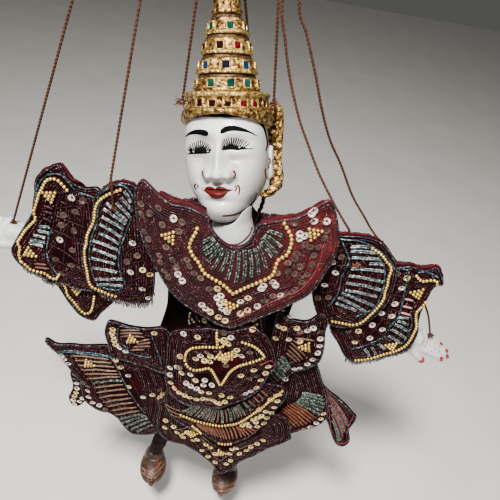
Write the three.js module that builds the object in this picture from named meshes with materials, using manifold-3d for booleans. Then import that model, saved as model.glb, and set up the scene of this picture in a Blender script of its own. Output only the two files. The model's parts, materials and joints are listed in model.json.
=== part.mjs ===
// String marionette: gilded crown, carved wooden body and limbs, layered costume panels, hung on strings from a control bar.
// Millimetres, +Z up, the puppet faces -Y. Shapes are laid out with Z = 0 at the soles, then the whole figure is moved
// so that the origin is the centre of the flat top of the control's grip.
import * as THREE from 'three';
import { mergeVertices } from 'three/addons/utils/BufferGeometryUtils.js';
import Module from 'manifold-3d';

const wasm = await Module();
wasm.setup();

// ---- driving dimensions (mm) ----
const BAR_X = -25;        // centre of the control bar above the figure
const BAR_Y = 0;
const BAR_LEN = 128;
const BAR_W = 16;         // front to back
const BAR_Z0 = 594.8;     // underside of the bar
const BAR_T = 11;         // bar thickness
const GRIP_H = 92;        // height of the turned grip
const HANG_Z = 594;       // line on which every string is tied
const CORD_R = 0.75;      // string radius
const PANEL_T = 2.5;      // thickness of a quilted costume panel
const GRIP_TOP = BAR_Z0 + BAR_T + 0.3 + GRIP_H;
const HEAD_POS = new THREE.Vector3(-18, 8, 395);
const HEAD_ROT = new THREE.Euler(-22.2 * Math.PI / 180, -11.3 * Math.PI / 180, -4.3 * Math.PI / 180, 'ZYX');
const SH_R = [-46, -2, 352], EL_R = [-100, -2, 322], WR_R = [-155, -2, 306];
const SH_L = [46, -2, 352], EL_L = [98, -2, 316], WR_L = [140, -2, 273];
const HAND_R = [-0.945, 0, 0.327], HAND_L = [0.94, 0, -0.34];   // the way the hands point
const HIP_R = [-17, 0, 200], KNEE_R = [-36.5, 0, 114], ANK_R = [-56, 0, 28];
const HIP_L = [17, 0, 200], KNEE_L = [22, 0, 114], ANK_L = [27, 0, 28];
const ARM_R = 8.5, FORE_R = 7, THIGH_R = 12, SHIN_R = 8.5;
const PIN_R = 1.8, PIN_HOLE_R = 1.9;

const root = new THREE.Group();
const fig = new THREE.Group();
fig.position.set(-BAR_X, -BAR_Y, -GRIP_TOP);
root.add(fig);

const mat = (hex, rough, metal = 0) => new THREE.MeshStandardMaterial({ color: hex, roughness: rough, metalness: metal });
const WHITE = () => mat(0xeeebe6, 0.35);
const GOLD = () => mat(0xb98a35, 0.42, 0.8);
const VELVET = () => mat(0x4a0f18, 0.85);
const DARKWOOD = () => mat(0x4a2b1c, 0.6);
const CORD = () => mat(0x5d3524, 0.8);
const V = (a) => new THREE.Vector3(...a);

// closed, outward-facing mesh from any geometry: vertices merged, empty triangles dropped, turned the right way out
function closed(geo) {
  const g = geo.clone();
  g.deleteAttribute('normal'); g.deleteAttribute('uv');
  const m = mergeVertices(g, 1e-4);
  const idx = m.index.array, p = m.attributes.position;
  const keep = [];
  for (let i = 0; i < idx.length; i += 3) {
    const [a, b, c] = [idx[i], idx[i + 1], idx[i + 2]];
    if (a !== b && b !== c && a !== c) keep.push(a, b, c);
  }
  let vol = 0;
  const A = new THREE.Vector3(), B = new THREE.Vector3(), C = new THREE.Vector3();
  for (let i = 0; i < keep.length; i += 3) {
    A.fromBufferAttribute(p, keep[i]); B.fromBufferAttribute(p, keep[i + 1]); C.fromBufferAttribute(p, keep[i + 2]);
    vol += A.dot(B.cross(C));
  }
  if (vol < 0) for (let i = 0; i < keep.length; i += 3) { const t = keep[i]; keep[i] = keep[i + 1]; keep[i + 1] = t; }
  const out = new THREE.BufferGeometry();
  out.setAttribute('position', new THREE.BufferAttribute(new Float32Array(p.array), 3));
  out.setIndex(keep);
  return out;
}
function solid(geo) {
  const g = closed(geo);
  return new wasm.Manifold(new wasm.Mesh({ numProp: 3, vertProperties: new Float32Array(g.attributes.position.array), triVerts: new Uint32Array(g.index.array) }));
}
function geometry(man) {
  const m = man.getMesh();
  const g = new THREE.BufferGeometry();
  g.setAttribute('position', new THREE.BufferAttribute(new Float32Array(m.vertProperties), 3));
  g.setIndex(Array.from(m.triVerts));
  return g;
}
function add(name, geo, material, parent = fig) {
  const g = closed(geo);
  g.computeVertexNormals();
  const mesh = new THREE.Mesh(g, material);
  mesh.name = name;
  parent.add(mesh);
  return mesh;
}
// turned shape on the Z axis from [radius, z] pairs, starting and ending on the axis
function turned(profile, seg = 20, ring = false) {
  const pts = profile.map(([r, z]) => new THREE.Vector2(r, z));
  if (ring) pts.push(pts[0].clone());
  const g = new THREE.LatheGeometry(pts, seg);
  g.rotateX(Math.PI / 2);
  return g;
}
function along(geo, from, dir) {
  const q = new THREE.Quaternion().setFromUnitVectors(new THREE.Vector3(0, 0, 1), dir.clone().normalize());
  geo.applyQuaternion(q);
  geo.translate(...from);
  return geo;
}
// round string along a curve
function cord(points, r = CORD_R, steps = 24) {
  const path = new THREE.CatmullRomCurve3(points.map(V), false, 'centripetal');
  const s = new THREE.Shape();
  s.absarc(0, 0, r, 0, Math.PI * 2, false);
  return new THREE.ExtrudeGeometry(s, { steps, curveSegments: 4, bevelEnabled: false, extrudePath: path });
}
// flat plate in a vertical plane facing the front: outline in X and Z, centred on y
function flat(outline, y, t = PANEL_T) {
  const s = new THREE.Shape(outline.map(([x, z]) => new THREE.Vector2(x, z)));
  const g = new THREE.ExtrudeGeometry(s, { depth: t, bevelEnabled: false });
  g.rotateX(Math.PI / 2);
  g.translate(0, y + t / 2, 0);
  return g;
}
// bowed plate: y = y0 + k (x - xc)^2 + lean (z - zc)
function bowed(outline, y0, k, xc, lean = 0, zc = 0, t = PANEL_T, n = 10) {
  const xs = outline.map((p) => p[0]), zs = outline.map((p) => p[1]);
  const x0 = Math.min(...xs) - 4, x1 = Math.max(...xs) + 4, z0 = Math.min(...zs) - 4, z1 = Math.max(...zs) + 4;
  const f = (x) => y0 + k * (x - xc) ** 2;
  const front = [], back = [];
  for (let i = 0; i <= n; i++) {
    const x = x0 + (x1 - x0) * i / n;
    front.push(new THREE.Vector2(x, f(x) - t / 2));
    back.unshift(new THREE.Vector2(x, f(x) + t / 2));
  }
  const band = new THREE.ExtrudeGeometry(new THREE.Shape([...front, ...back]), { depth: z1 - z0, bevelEnabled: false });
  band.translate(0, 0, z0);
  const cut = flat(outline, (f(x0) + y0) / 2, 160);
  const g = geometry(solid(band).intersect(solid(cut)));
  const p = g.attributes.position;
  for (let i = 0; i < p.count; i++) p.setY(i, p.getY(i) + lean * (p.getZ(i) - zc));
  return g;
}

// ---- control: crossbar and turned grip ----
{
  const h = BAR_LEN / 2, w = BAR_W / 2;
  const s = new THREE.Shape();
  s.moveTo(-h + w, -w); s.lineTo(h - w, -w); s.absarc(h - w, 0, w, -Math.PI / 2, Math.PI / 2, false);
  s.lineTo(-h + w, w); s.absarc(-h + w, 0, w, Math.PI / 2, Math.PI * 1.5, false);
  const g = new THREE.ExtrudeGeometry(s, { depth: BAR_T, bevelEnabled: false, curveSegments: 8 });
  g.translate(BAR_X, BAR_Y, BAR_Z0);
  add('control_bar', g, DARKWOOD());
  const z = BAR_Z0 + BAR_T + 0.3;
  const grip = turned([[0, 0], [7.5, 0], [7.5, 4], [5.5, 8], [6, 16], [9, 34], [10, 50], [8.6, 66], [6, 78], [8, 84], [10, 88], [10, GRIP_H], [0, GRIP_H]], 20);
  grip.translate(BAR_X, BAR_Y, z);
  add('control_grip', grip, DARKWOOD());
}

// ---- body: chest, pelvis, bodice ----
{
  const chest = turned([[0, 236], [27, 236], [28, 240], [26.5, 262], [30, 296], [35, 326], [39, 340], [34, 346], [16, 349], [0, 349]], 22);
  chest.scale(1, 0.66, 1);
  add('chest_block', chest, mat(0x8a6a4a, 0.7));
  const pelvis = turned([[0, 203], [24, 203], [30, 209], [31, 224], [27, 234], [0, 235.4]], 20);
  pelvis.scale(1, 0.66, 1);
  add('pelvis_block', pelvis, mat(0x8a6a4a, 0.7));
  const bodice = turned([[33, 238], [31, 262], [35, 296], [40, 322], [38.2, 322], [33, 296], [29, 262], [31, 238]], 24, true);
  bodice.scale(1, 0.7, 1);
  add('bodice', bodice, VELVET());
}

// ---- head group: skull and face, crown, ear flanges ----
const head = new THREE.Group();
head.position.copy(HEAD_POS);
head.rotation.copy(HEAD_ROT);
fig.add(head);
const headMatrix = new THREE.Matrix4().compose(HEAD_POS, new THREE.Quaternion().setFromEuler(HEAD_ROT), new THREE.Vector3(1, 1, 1));
const H = (x, y, z) => new THREE.Vector3(x, y, z).applyMatrix4(headMatrix).toArray();
// rings of the head: height, half width, front, back, depth of the widest place
const HEAD_RINGS = [
  [-38, 7.5, -21.5, -6, -10], [-36, 11.5, -23.5, -1, -5], [-33, 14.5, -25.2, 5, 1], [-29, 18, -26.3, 10, 5.5], [-24.5, 21, -27, 14.5, 8.5],
  [-19, 24.2, -27.2, 18.5, 7.5], [-12, 26.4, -26.8, 22, 4.6], [-4, 27.4, -26, 24.5, 1.5], [4, 27.8, -25.4, 26, -0.7], [12, 27.6, -25.4, 26.5, -1], [20, 26.8, -25.6, 26, -0.8],
  [28.4, 25.2, -24, 24.5, 0.5]];
const NOSE = [[-15, 0], [-12.6, 1.5], [-10.6, 7.4], [-8, 8], [-4, 6.6], [0, 5], [7, 2.8], [14, 0]];
const lerpTable = (t, z) => {
  if (z <= t[0][0] || z >= t[t.length - 1][0]) return 0;
  let i = 0; while (z > t[i + 1][0]) i++;
  return t[i][1] + (t[i + 1][1] - t[i][1]) * (z - t[i][0]) / (t[i + 1][0] - t[i][0]);
};
function skull(grow = 0) {
  const n = 28, verts = [], faces = [];
  const rings = HEAD_RINGS.map((r) => [...r]);
  for (const [z, w, f, b, cy] of rings) {
    for (let i = 0; i < n; i++) {
      const a = 2 * Math.PI * i / n, c = Math.cos(a), s = Math.sin(a);
      const e = 2 / 2.3;
      const x = (w + grow) * Math.sign(c) * Math.abs(c) ** e;
      let y = cy + ((s < 0 ? cy - f : b - cy) + grow) * Math.sign(s) * Math.abs(s) ** e;
      if (s < 0 && !grow) y -= lerpTable(NOSE, z) * Math.exp(-((x / 5.4) ** 2));
      verts.push(x, y, z + (grow ? (z > 0 ? grow : -grow) : 0));
    }
  }
  const R = rings.length;
  for (let r = 0; r < R - 1; r++) for (let i = 0; i < n; i++) {
    const a = r * n + i, b = r * n + (i + 1) % n, c = a + n, d = b + n;
    faces.push(a, b, d, a, d, c);
  }
  const lo = verts.length / 3;
  verts.push(0, (rings[0][2] + rings[0][3]) / 2, rings[0][0] - 0.9 - grow);
  verts.push(0, 0, rings[R - 1][0] + grow);
  for (let i = 0; i < n; i++) {
    faces.push(lo, (i + 1) % n, i);
    faces.push(lo + 1, (R - 1) * n + i, (R - 1) * n + (i + 1) % n);
  }
  const g = new THREE.BufferGeometry();
  g.setAttribute('position', new THREE.BufferAttribute(new Float32Array(verts), 3));
  g.setIndex(faces);
  return g;
}
{
  let h = solid(skull());
  for (const s of [-1, 1]) {
    const ear = new THREE.SphereGeometry(1, 10, 8);
    ear.scale(3.4, 5, 12.2);
    ear.rotateX(0.1);
    ear.translate(s * 27.6, 11.5, -0.5);
    h = h.add(solid(ear));
  }
  add('head', geometry(h), WHITE(), head);
  add('crown_band', turned([[0, 28.8], [27.6, 28.8], [29.2, 30], [29.2, 33], [27, 34.2], [27.6, 42.6], [24, 43.6], [0, 43.6]], 28), GOLD(), head);
  add('crown_tier_1', turned([[0, 44], [22.4, 44], [22.6, 46.4], [21.4, 47.4], [20.6, 52.6], [19.2, 54], [0, 54]], 24), GOLD(), head);
  add('crown_tier_2', turned([[0, 54.4], [20.2, 54.4], [20.4, 56.8], [18.8, 57.8], [17.8, 64], [16.4, 65.6], [0, 65.6]], 24), GOLD(), head);
  add('crown_tier_3', turned([[0, 66], [17, 66], [17.2, 68.4], [15.8, 69.4], [15, 75.8], [13.6, 77.4], [0, 77.4]], 20), GOLD(), head);
  add('crown_tier_4', turned([[0, 77.8], [14.2, 77.8], [14.3, 80.4], [12.4, 81.2], [11.4, 87.6], [10, 89.4], [0, 89.4]], 20), GOLD(), head);
  add('crown_finial', turned([[0, 89.8], [9.8, 89.8], [10.2, 92], [9, 94], [8.6, 99], [7.6, 102], [5.6, 104], [6, 107], [4, 111], [2.2, 116], [0, 122]], 16), GOLD(), head);
  for (const s of [-1, 1]) { // carved wings of the crown that come down behind the ears
    const o = [[25, 44], [30, 44.4], [33, 38], [33.8, 24], [33.4, 8], [32.4, -8], [32.8, -18], [30, -22.4], [26.6, -20.6], [26, -10], [24.8, 4], [23, 20], [22.6, 32]];
    add(s < 0 ? 'ear_flange_r' : 'ear_flange_l', flat(o.map(([x, z]) => [s * x, z]), 20, 3), GOLD(), head);
  }
  // neck: white wedge standing in the collar, cut to the underside of the head
  const neck = turned([[0, 349.4], [15.5, 349.4], [15, 356], [13, 366], [12.4, 400], [0, 400]], 20);
  neck.translate(-6, -13, 0);
  const m = neck.attributes.position;
  for (let i = 0; i < m.count; i++) { const dz = m.getZ(i) - 349.4; m.setX(i, m.getX(i) - 0.14 * dz); m.setY(i, m.getY(i) + 0.1 * dz); }
  const keepOut = solid(skull(0.6)).transform(headMatrix.elements.slice());
  let body = solid(neck).subtract(keepOut);
  for (const deg of [3, 6, 8.5]) { // room for the chin when the head nods
    const nod = new THREE.Matrix4().makeTranslation(-13, -6, 376).multiply(new THREE.Matrix4().makeRotationX(deg * Math.PI / 180)).multiply(new THREE.Matrix4().makeTranslation(13, 6, -376)).multiply(headMatrix);
    body = body.subtract(solid(skull(0.5)).transform(nod.elements.slice()));
  }
  const parts = body.decompose();
  parts.sort((a, b) => a.boundingBox().min[2] - b.boundingBox().min[2]);
  add('neck', geometry(parts[0]), WHITE());
}

// ---- limbs ----
// basis with Z from b back to a, and X along the hinge
function frameOf(a, b, hinge) {
  const z = V(a).sub(V(b)).normalize();
  const x = V(hinge).sub(z.clone().multiplyScalar(V(hinge).dot(z))).normalize();
  const y = z.clone().cross(x);
  return new THREE.Matrix4().makeBasis(x, y, z).setPosition(V(b));
}
function box(x0, x1, y0, y1, z0, z1) {
  const g = new THREE.BoxGeometry(x1 - x0, y1 - y0, z1 - z0);
  g.translate((x0 + x1) / 2, (y0 + y1) / 2, (z0 + z1) / 2);
  return g;
}
function disc(r, x0, x1, seg = 16) {
  const g = new THREE.CylinderGeometry(r, r, x1 - x0, seg);
  g.rotateZ(Math.PI / 2);
  g.translate((x0 + x1) / 2, 0, 0);
  return g;
}
// upper piece of a limb, with a fork at b
function forked(a, b, hinge, r0, r1) {
  const L = V(a).distanceTo(V(b));
  let m = solid(turned([[0, 8.5], [r1 * 0.8, 8.5], [r1, 11], [(r0 + r1) / 2 + 0.6, L * 0.55], [r0, L - r0 * 0.7], [r0 * 0.75, L - r0 * 0.25], [0, L]], 14));
  m = m.add(solid(disc(5.2, -5.6, 5.6))).add(solid(box(-5.6, 5.6, -5, 5, 0, 10)));
  m = m.subtract(solid(box(-2.8, 2.8, -20, 20, -20, 8))).subtract(solid(disc(PIN_HOLE_R, -20, 20, 12)));
  const g = geometry(m); g.applyMatrix4(frameOf(a, b, hinge)); return g;
}
// lower piece, with a tongue at a
function tongued(a, b, hinge, r0, r1) {
  const L = V(a).distanceTo(V(b));
  let m = solid(turned([[0, -L], [r1 * 0.8, -L], [r1, -L + 2], [(r0 + r1) / 2 + 0.5, -L * 0.45], [r0, -10.5], [r0 * 0.8, -6.6], [0, -6.6]], 14));
  m = m.add(solid(disc(4.9, -2.5, 2.5))).add(solid(box(-2.5, 2.5, -4.6, 4.6, -8, 0)));
  m = m.subtract(solid(disc(PIN_HOLE_R, -20, 20, 12)));
  const g = geometry(m);
  const f = frameOf(a, b, hinge).setPosition(V(a));
  g.applyMatrix4(f); return g;
}
function pin(a, b, hinge) { const g = disc(PIN_R, -6.2, 6.2, 12); g.applyMatrix4(frameOf(a, b, hinge)); return g; }
const HX = [1, 0, 0], HY = [0, 1, 0];
const SKIN_WOOD = () => mat(0x6b4630, 0.65);
for (const [k, sh, el, wr] of [['r', SH_R, EL_R, WR_R], ['l', SH_L, EL_L, WR_L]]) {
  add(`upper_arm_${k}`, forked(sh, el, HY, ARM_R, 7.5), SKIN_WOOD());
  add(`elbow_pin_${k}`, pin(sh, el, HY), DARKWOOD());
  add(`forearm_${k}`, tongued(el, V(wr).lerp(V(el), 0.07).toArray(), HY, 7.5, FORE_R - 1), WHITE());
}
for (const [k, hip, kn, an] of [['r', HIP_R, KNEE_R, ANK_R], ['l', HIP_L, KNEE_L, ANK_L]]) {
  add(`thigh_${k}`, forked(hip, kn, HX, THIGH_R, 9.5), mat(0x2a1514, 0.9));
  add(`knee_pin_${k}`, pin(hip, kn, HX), DARKWOOD());
  add(`shin_${k}`, tongued(kn, V(an).lerp(V(kn), 0.022).toArray(), HX, 9.5, SHIN_R - 1.5), mat(0x2a1514, 0.9));
}

// ---- hands: palm, four fingers and a thumb, carved in one piece ----
function ellipsoid(rx, ry, rz, c, seg = 12) {
  const g = new THREE.SphereGeometry(1, seg, Math.round(seg * 0.75));
  g.scale(rx, ry, rz); g.translate(...c); return g;
}
function finger(from, to, r0, r1) {
  const d = V(to).sub(V(from)), L = d.length();
  const g = turned([[0, 0], [r0, 0.4], [(r0 + r1) / 2, L * 0.5], [r1, L - r1 * 0.7], [r1 * 0.6, L - 0.2], [0, L]], 7);
  return along(g, from, d);
}
function handShape() { // local: fingers along +X, thumb side -Y, back of the hand +Z
  let m = solid(ellipsoid(14, 9.4, 3.9, [14, 0, 0]));
  m = m.add(solid(turnedX([[0, -0.2], [4, 0], [4.8, 2], [5.4, 7], [0, 10]])));
  const tips = [[45, -6.4, -1.6], [50, -2.6, -1], [48, 1, -1.2], [42, 4.6, -2]];
  const base = [[21, -6, 0], [22, -2.2, 0], [21.4, 1.8, 0], [19, 5.6, 0]];
  for (let i = 0; i < 4; i++) m = m.add(solid(finger(base[i], tips[i], 2.5, 1.7)));
  m = m.add(solid(finger([8, -6, -0.4], [26, -14, -2.6], 3.2, 2.2)));
  return geometry(m);
}
function turnedX(profile) { const g = turned(profile, 12); g.rotateY(Math.PI / 2); return g; }
const handFrame = {};
for (const [k, wr, dir] of [['r', WR_R, HAND_R], ['l', WR_L, HAND_L]]) {
  const x = V(dir).normalize();
  const up = new THREE.Vector3(0, -0.5, 0.86);
  const y = up.clone().cross(x).normalize();           // across the hand
  const z = x.clone().cross(y).normalize();
  const g = handShape();
  const flip = y.y < 0 ? -1 : 1;
  const p = g.attributes.position;
  for (let i = 0; i < p.count; i++) p.setY(i, flip * p.getY(i));
  const f = new THREE.Matrix4().makeBasis(x, y, z).setPosition(V(wr).addScaledVector(x, 1.3));
  g.applyMatrix4(f);
  handFrame[k] = (lx, ly, lz) => new THREE.Vector3(lx, flip * ly, lz).applyMatrix4(f).toArray();
  add(`hand_${k}`, g, WHITE());
}

// ---- shoes: carved, broad, with an upturned toe ----
for (const [k, an] of [['r', ANK_R], ['l', ANK_L]]) {
  let m = solid(ellipsoid(14.6, 21, 9.6, [0, -9, 5.4], 16)).subtract(solid(box(-20, 20, -50, 50, -20, 0)));
  m = m.add(solid(ellipsoid(11, 11, 13, [0, 2, 9.5], 12)).subtract(solid(box(-20, 20, -50, 50, -20, 0))));
  m = m.add(solid(finger([0, -24, 4.5], [0, -34, 11], 5.6, 2.6)));
  m = m.subtract(solid(box(-20, 20, -50, 50, 20.2, 60)));
  const g = geometry(m);
  g.rotateZ(k === 'r' ? 0.12 : -0.12);
  g.translate(an[0], an[1], an[2] - 20.9);
  add(`shoe_${k}`, g, mat(0x6a3a24, 0.5));
}

// ---- costume panels: outlines in X and Z as they hang ----
const OUT = {
  collar: [[-66, 393], [-61, 391], [-55, 387], [-46, 383], [-35, 383], [-23, 380], [-20, 373], [-12, 365], [-3, 362], [4, 367], [8, 380], [14, 383], [21, 385], [30, 388], [38, 393], [45, 399], [49, 401], [54, 395], [60, 381], [63, 368], [62, 356], [58, 344], [54, 332], [47, 324], [36, 316], [24, 308], [12, 300], [2, 295], [-7, 296], [-17, 300], [-28, 305], [-39, 312], [-49, 323], [-59, 339], [-66, 354], [-70, 368], [-71, 381], [-69, 389]],
  apron_star: [[-40, 275], [-19, 288], [1, 291], [17, 297], [29, 291], [36, 279], [42, 258], [38, 247], [35, 230], [25, 214], [13, 204], [5, 198], [-7, 195], [-16, 193], [-27, 195], [-38, 202], [-42, 221], [-42, 245]],
  apron_fan: [[-41, 200], [-30, 226], [33, 232], [54, 228], [58, 217], [56, 206], [50, 188], [44, 168], [34, 150], [20, 139], [4, 141], [-7, 148], [-20, 154], [-35, 164], [-42, 182]],
  apron_point: [[-47, 164], [-38, 182], [54, 186], [74, 152], [72, 144], [63, 136], [52, 125], [37, 106], [19, 78], [6, 94], [-8, 110], [-20, 117], [-32, 116], [-42, 121], [-48, 138]],
  wing_upper_r: [[-91, 263], [-87, 265], [-76, 262], [-64, 262], [-45, 264], [-40, 239], [-42, 212], [-60, 214], [-74, 218], [-84, 221], [-90, 227], [-92, 237], [-94, 250]],
  wing_long_r: [[-145, 221], [-143, 227], [-135, 223], [-119, 225], [-95, 230], [-76, 229], [-56, 232], [-42, 200], [-38, 160], [-40, 135], [-45, 118], [-55, 108], [-69, 105], [-77, 110], [-87, 126], [-94, 133], [-104, 136], [-116, 148], [-119, 163], [-120, 178], [-128, 193], [-136, 210]],
  wing_upper_l: [[34, 300], [44, 299], [57, 300], [65, 309], [70, 307], [73, 300], [73, 290], [76, 274], [76, 257], [69, 247], [58, 238], [54, 226], [44, 212], [38, 240]],
  wing_long_l: [[44, 262], [68, 258], [77, 247], [86, 227], [95, 205], [101, 183], [96, 168], [85, 157], [70, 147], [55, 148], [46, 192]],
  tail_l: [[80, 228], [92, 215], [105, 204], [122, 188], [128, 180], [127, 160], [132, 143], [129, 132], [121, 134], [112, 150], [102, 172], [87, 192]],
  sleeve_front_r: [[-99, 370], [-93, 378], [-84, 384], [-77, 385], [-68, 381], [-61, 374], [-58, 330], [-59, 286], [-73, 278], [-86, 279], [-96, 282], [-105, 287], [-110, 303], [-111, 318], [-108, 332], [-104, 345], [-101, 358]],
  cuff_front_r: [[-121, 388], [-116, 378], [-107, 373], [-97, 374], [-93, 360], [-92, 300], [-95, 284], [-105, 280], [-120, 280], [-131, 283], [-138, 281], [-147, 289], [-157, 294], [-163, 302], [-164, 310], [-158, 322], [-150, 336], [-143, 349], [-141, 360], [-138, 374], [-130, 383]],
  flap_r: [[-133, 288], [-92, 292], [-88, 274], [-101, 253], [-108, 243], [-120, 248], [-130, 265]],
  sleeve_front_l: [[54, 370], [64, 372], [73, 374], [83, 374], [93, 371], [102, 362], [108, 353], [111, 342], [112, 329], [112, 318], [108, 306], [101, 295], [89, 288], [77, 289], [66, 296], [56, 320], [54, 347]],
  cuff_front_l: [[97, 351], [109, 351], [118, 354], [129, 352], [136, 356], [146, 342], [141, 337], [140, 318], [142, 303], [146, 288], [143, 269], [130, 259], [116, 250], [108, 246], [98, 252], [89, 266], [78, 284], [82, 312]],
};
add('collar', bowed(OUT.collar, -42, 0.0022, -3, 0.10, 345, 2.8, 12), VELVET());
add('apron_star', bowed(OUT.apron_star, -47, 0.002, 3), VELVET());
add('apron_fan', bowed(OUT.apron_fan, -43, 0.0018, 8), VELVET());
add('apron_point', bowed(OUT.apron_point, -39, 0.0012, 10), VELVET());
add('wing_upper_r', flat(OUT.wing_upper_r, -31), VELVET());
add('wing_long_r', flat(OUT.wing_long_r, -27.5), VELVET());
add('wing_upper_l', flat(OUT.wing_upper_l, -33), VELVET());
add('wing_long_l', flat(OUT.wing_long_l, -28.5), VELVET());
add('tail_l', flat(OUT.tail_l, -24), VELVET());
const mirror = (o) => o.map(([x, z]) => [-x, z]);
add('tail_r', flat(mirror(OUT.tail_l).map(([x, z]) => [x - 2, z - 2]), -22.5), VELVET());
add('sleeve_front_r', flat(OUT.sleeve_front_r, -22.5), VELVET());
add('sleeve_front_l', flat(OUT.sleeve_front_l, -22.5), VELVET());
add('cuff_front_r', flat(OUT.cuff_front_r, -18.5), VELVET());
add('cuff_front_l', flat(OUT.cuff_front_l, -18.5), VELVET());
add('flap_r', flat(OUT.flap_r, -14.5), VELVET());
// plain backs of the sleeves and cuffs, lower than the fronts
add('sleeve_back_r', flat([[-60, 344], [-82, 344], [-106, 334], [-111, 318], [-110, 303], [-105, 289], [-86, 281], [-60, 284]], 14), VELVET());
add('sleeve_back_l', flat([[56, 342], [84, 341], [106, 326], [112, 314], [108, 304], [101, 295], [89, 290], [66, 296], [56, 320]], 14), VELVET());
add('cuff_back_r', flat([[-95, 344], [-122, 344], [-138, 328], [-152, 314], [-161, 303], [-150, 292], [-131, 284], [-97, 284]], 10), VELVET());
add('cuff_back_l', flat([[96, 328], [128, 328], [136, 314], [142, 290], [140, 270], [128, 260], [108, 250], [96, 256], [86, 284]], 10), VELVET());
add('collar_back', bowed([[-60, 334], [-42, 339], [-27, 349], [-2, 349], [12, 337], [30, 332], [54, 334], [58, 320], [42, 306], [0, 292], [-46, 306], [-62, 320]], 36.5, -0.002, -3, 0, 0, 2.8, 10), VELVET());
add('back_panel', bowed([[-48, 300], [46, 300], [54, 230], [66, 150], [36, 112], [0, 92], [-38, 112], [-68, 150], [-56, 230]], 32, -0.0024, 0, 0, 0, 2.5, 10), VELVET());

// ---- strings ----
const ON_BAR = (x) => [x, BAR_Y, HANG_Z];
const hr = H(-30, 0, 36), hl = H(30, 0, 36);
add('string_hand_r', cord([ON_BAR(-74), handFrame.r(17, 5, 4.8)], CORD_R, 2), CORD());
add('string_elbow_r', cord([ON_BAR(-58), [-86, -23, 397], [-86, -27.4, 387], [-86, -26, 364]], CORD_R, 12), CORD());
add('string_head_r', cord([ON_BAR(-38), [hr[0] - 0.6, hr[1], hr[2] + 0.6]], CORD_R, 2), CORD());
add('string_back', cord([ON_BAR(-26), [-16, 47, 478], [-8, 60, 425], [-6, 54, 380], [-4, 43, 330], [-4, 39.6, 303]], CORD_R, 20), CORD());
add('string_head_l', cord([ON_BAR(-14), [hl[0] + 0.6, hl[1], hl[2] + 0.8]], CORD_R, 2), CORD());
add('string_elbow_l', cord([ON_BAR(4), [3.6, 3, 487], [10.4, 2, 467], [20.7, 0, 442.5], [33, -3, 423], [44, -9, 404], [56.5, -18, 388], [65.5, -19.6, 378], [69, -17.6, 368]], CORD_R, 26), CORD());
add('string_hand_l', cord([ON_BAR(18), [16, 4, 485], [25.5, 5, 465.4], [33.3, 8, 447.7], [42, 12, 427], [55.6, 15, 407.7], [68.2, 18, 387], [84, 21, 365], [99, 22, 348.4], [124, 20, 325], [146, 12, 305], [157, 4, 293], handFrame.l(25, 5, 4.8)], CORD_R, 30), CORD());

export default root;
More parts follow.
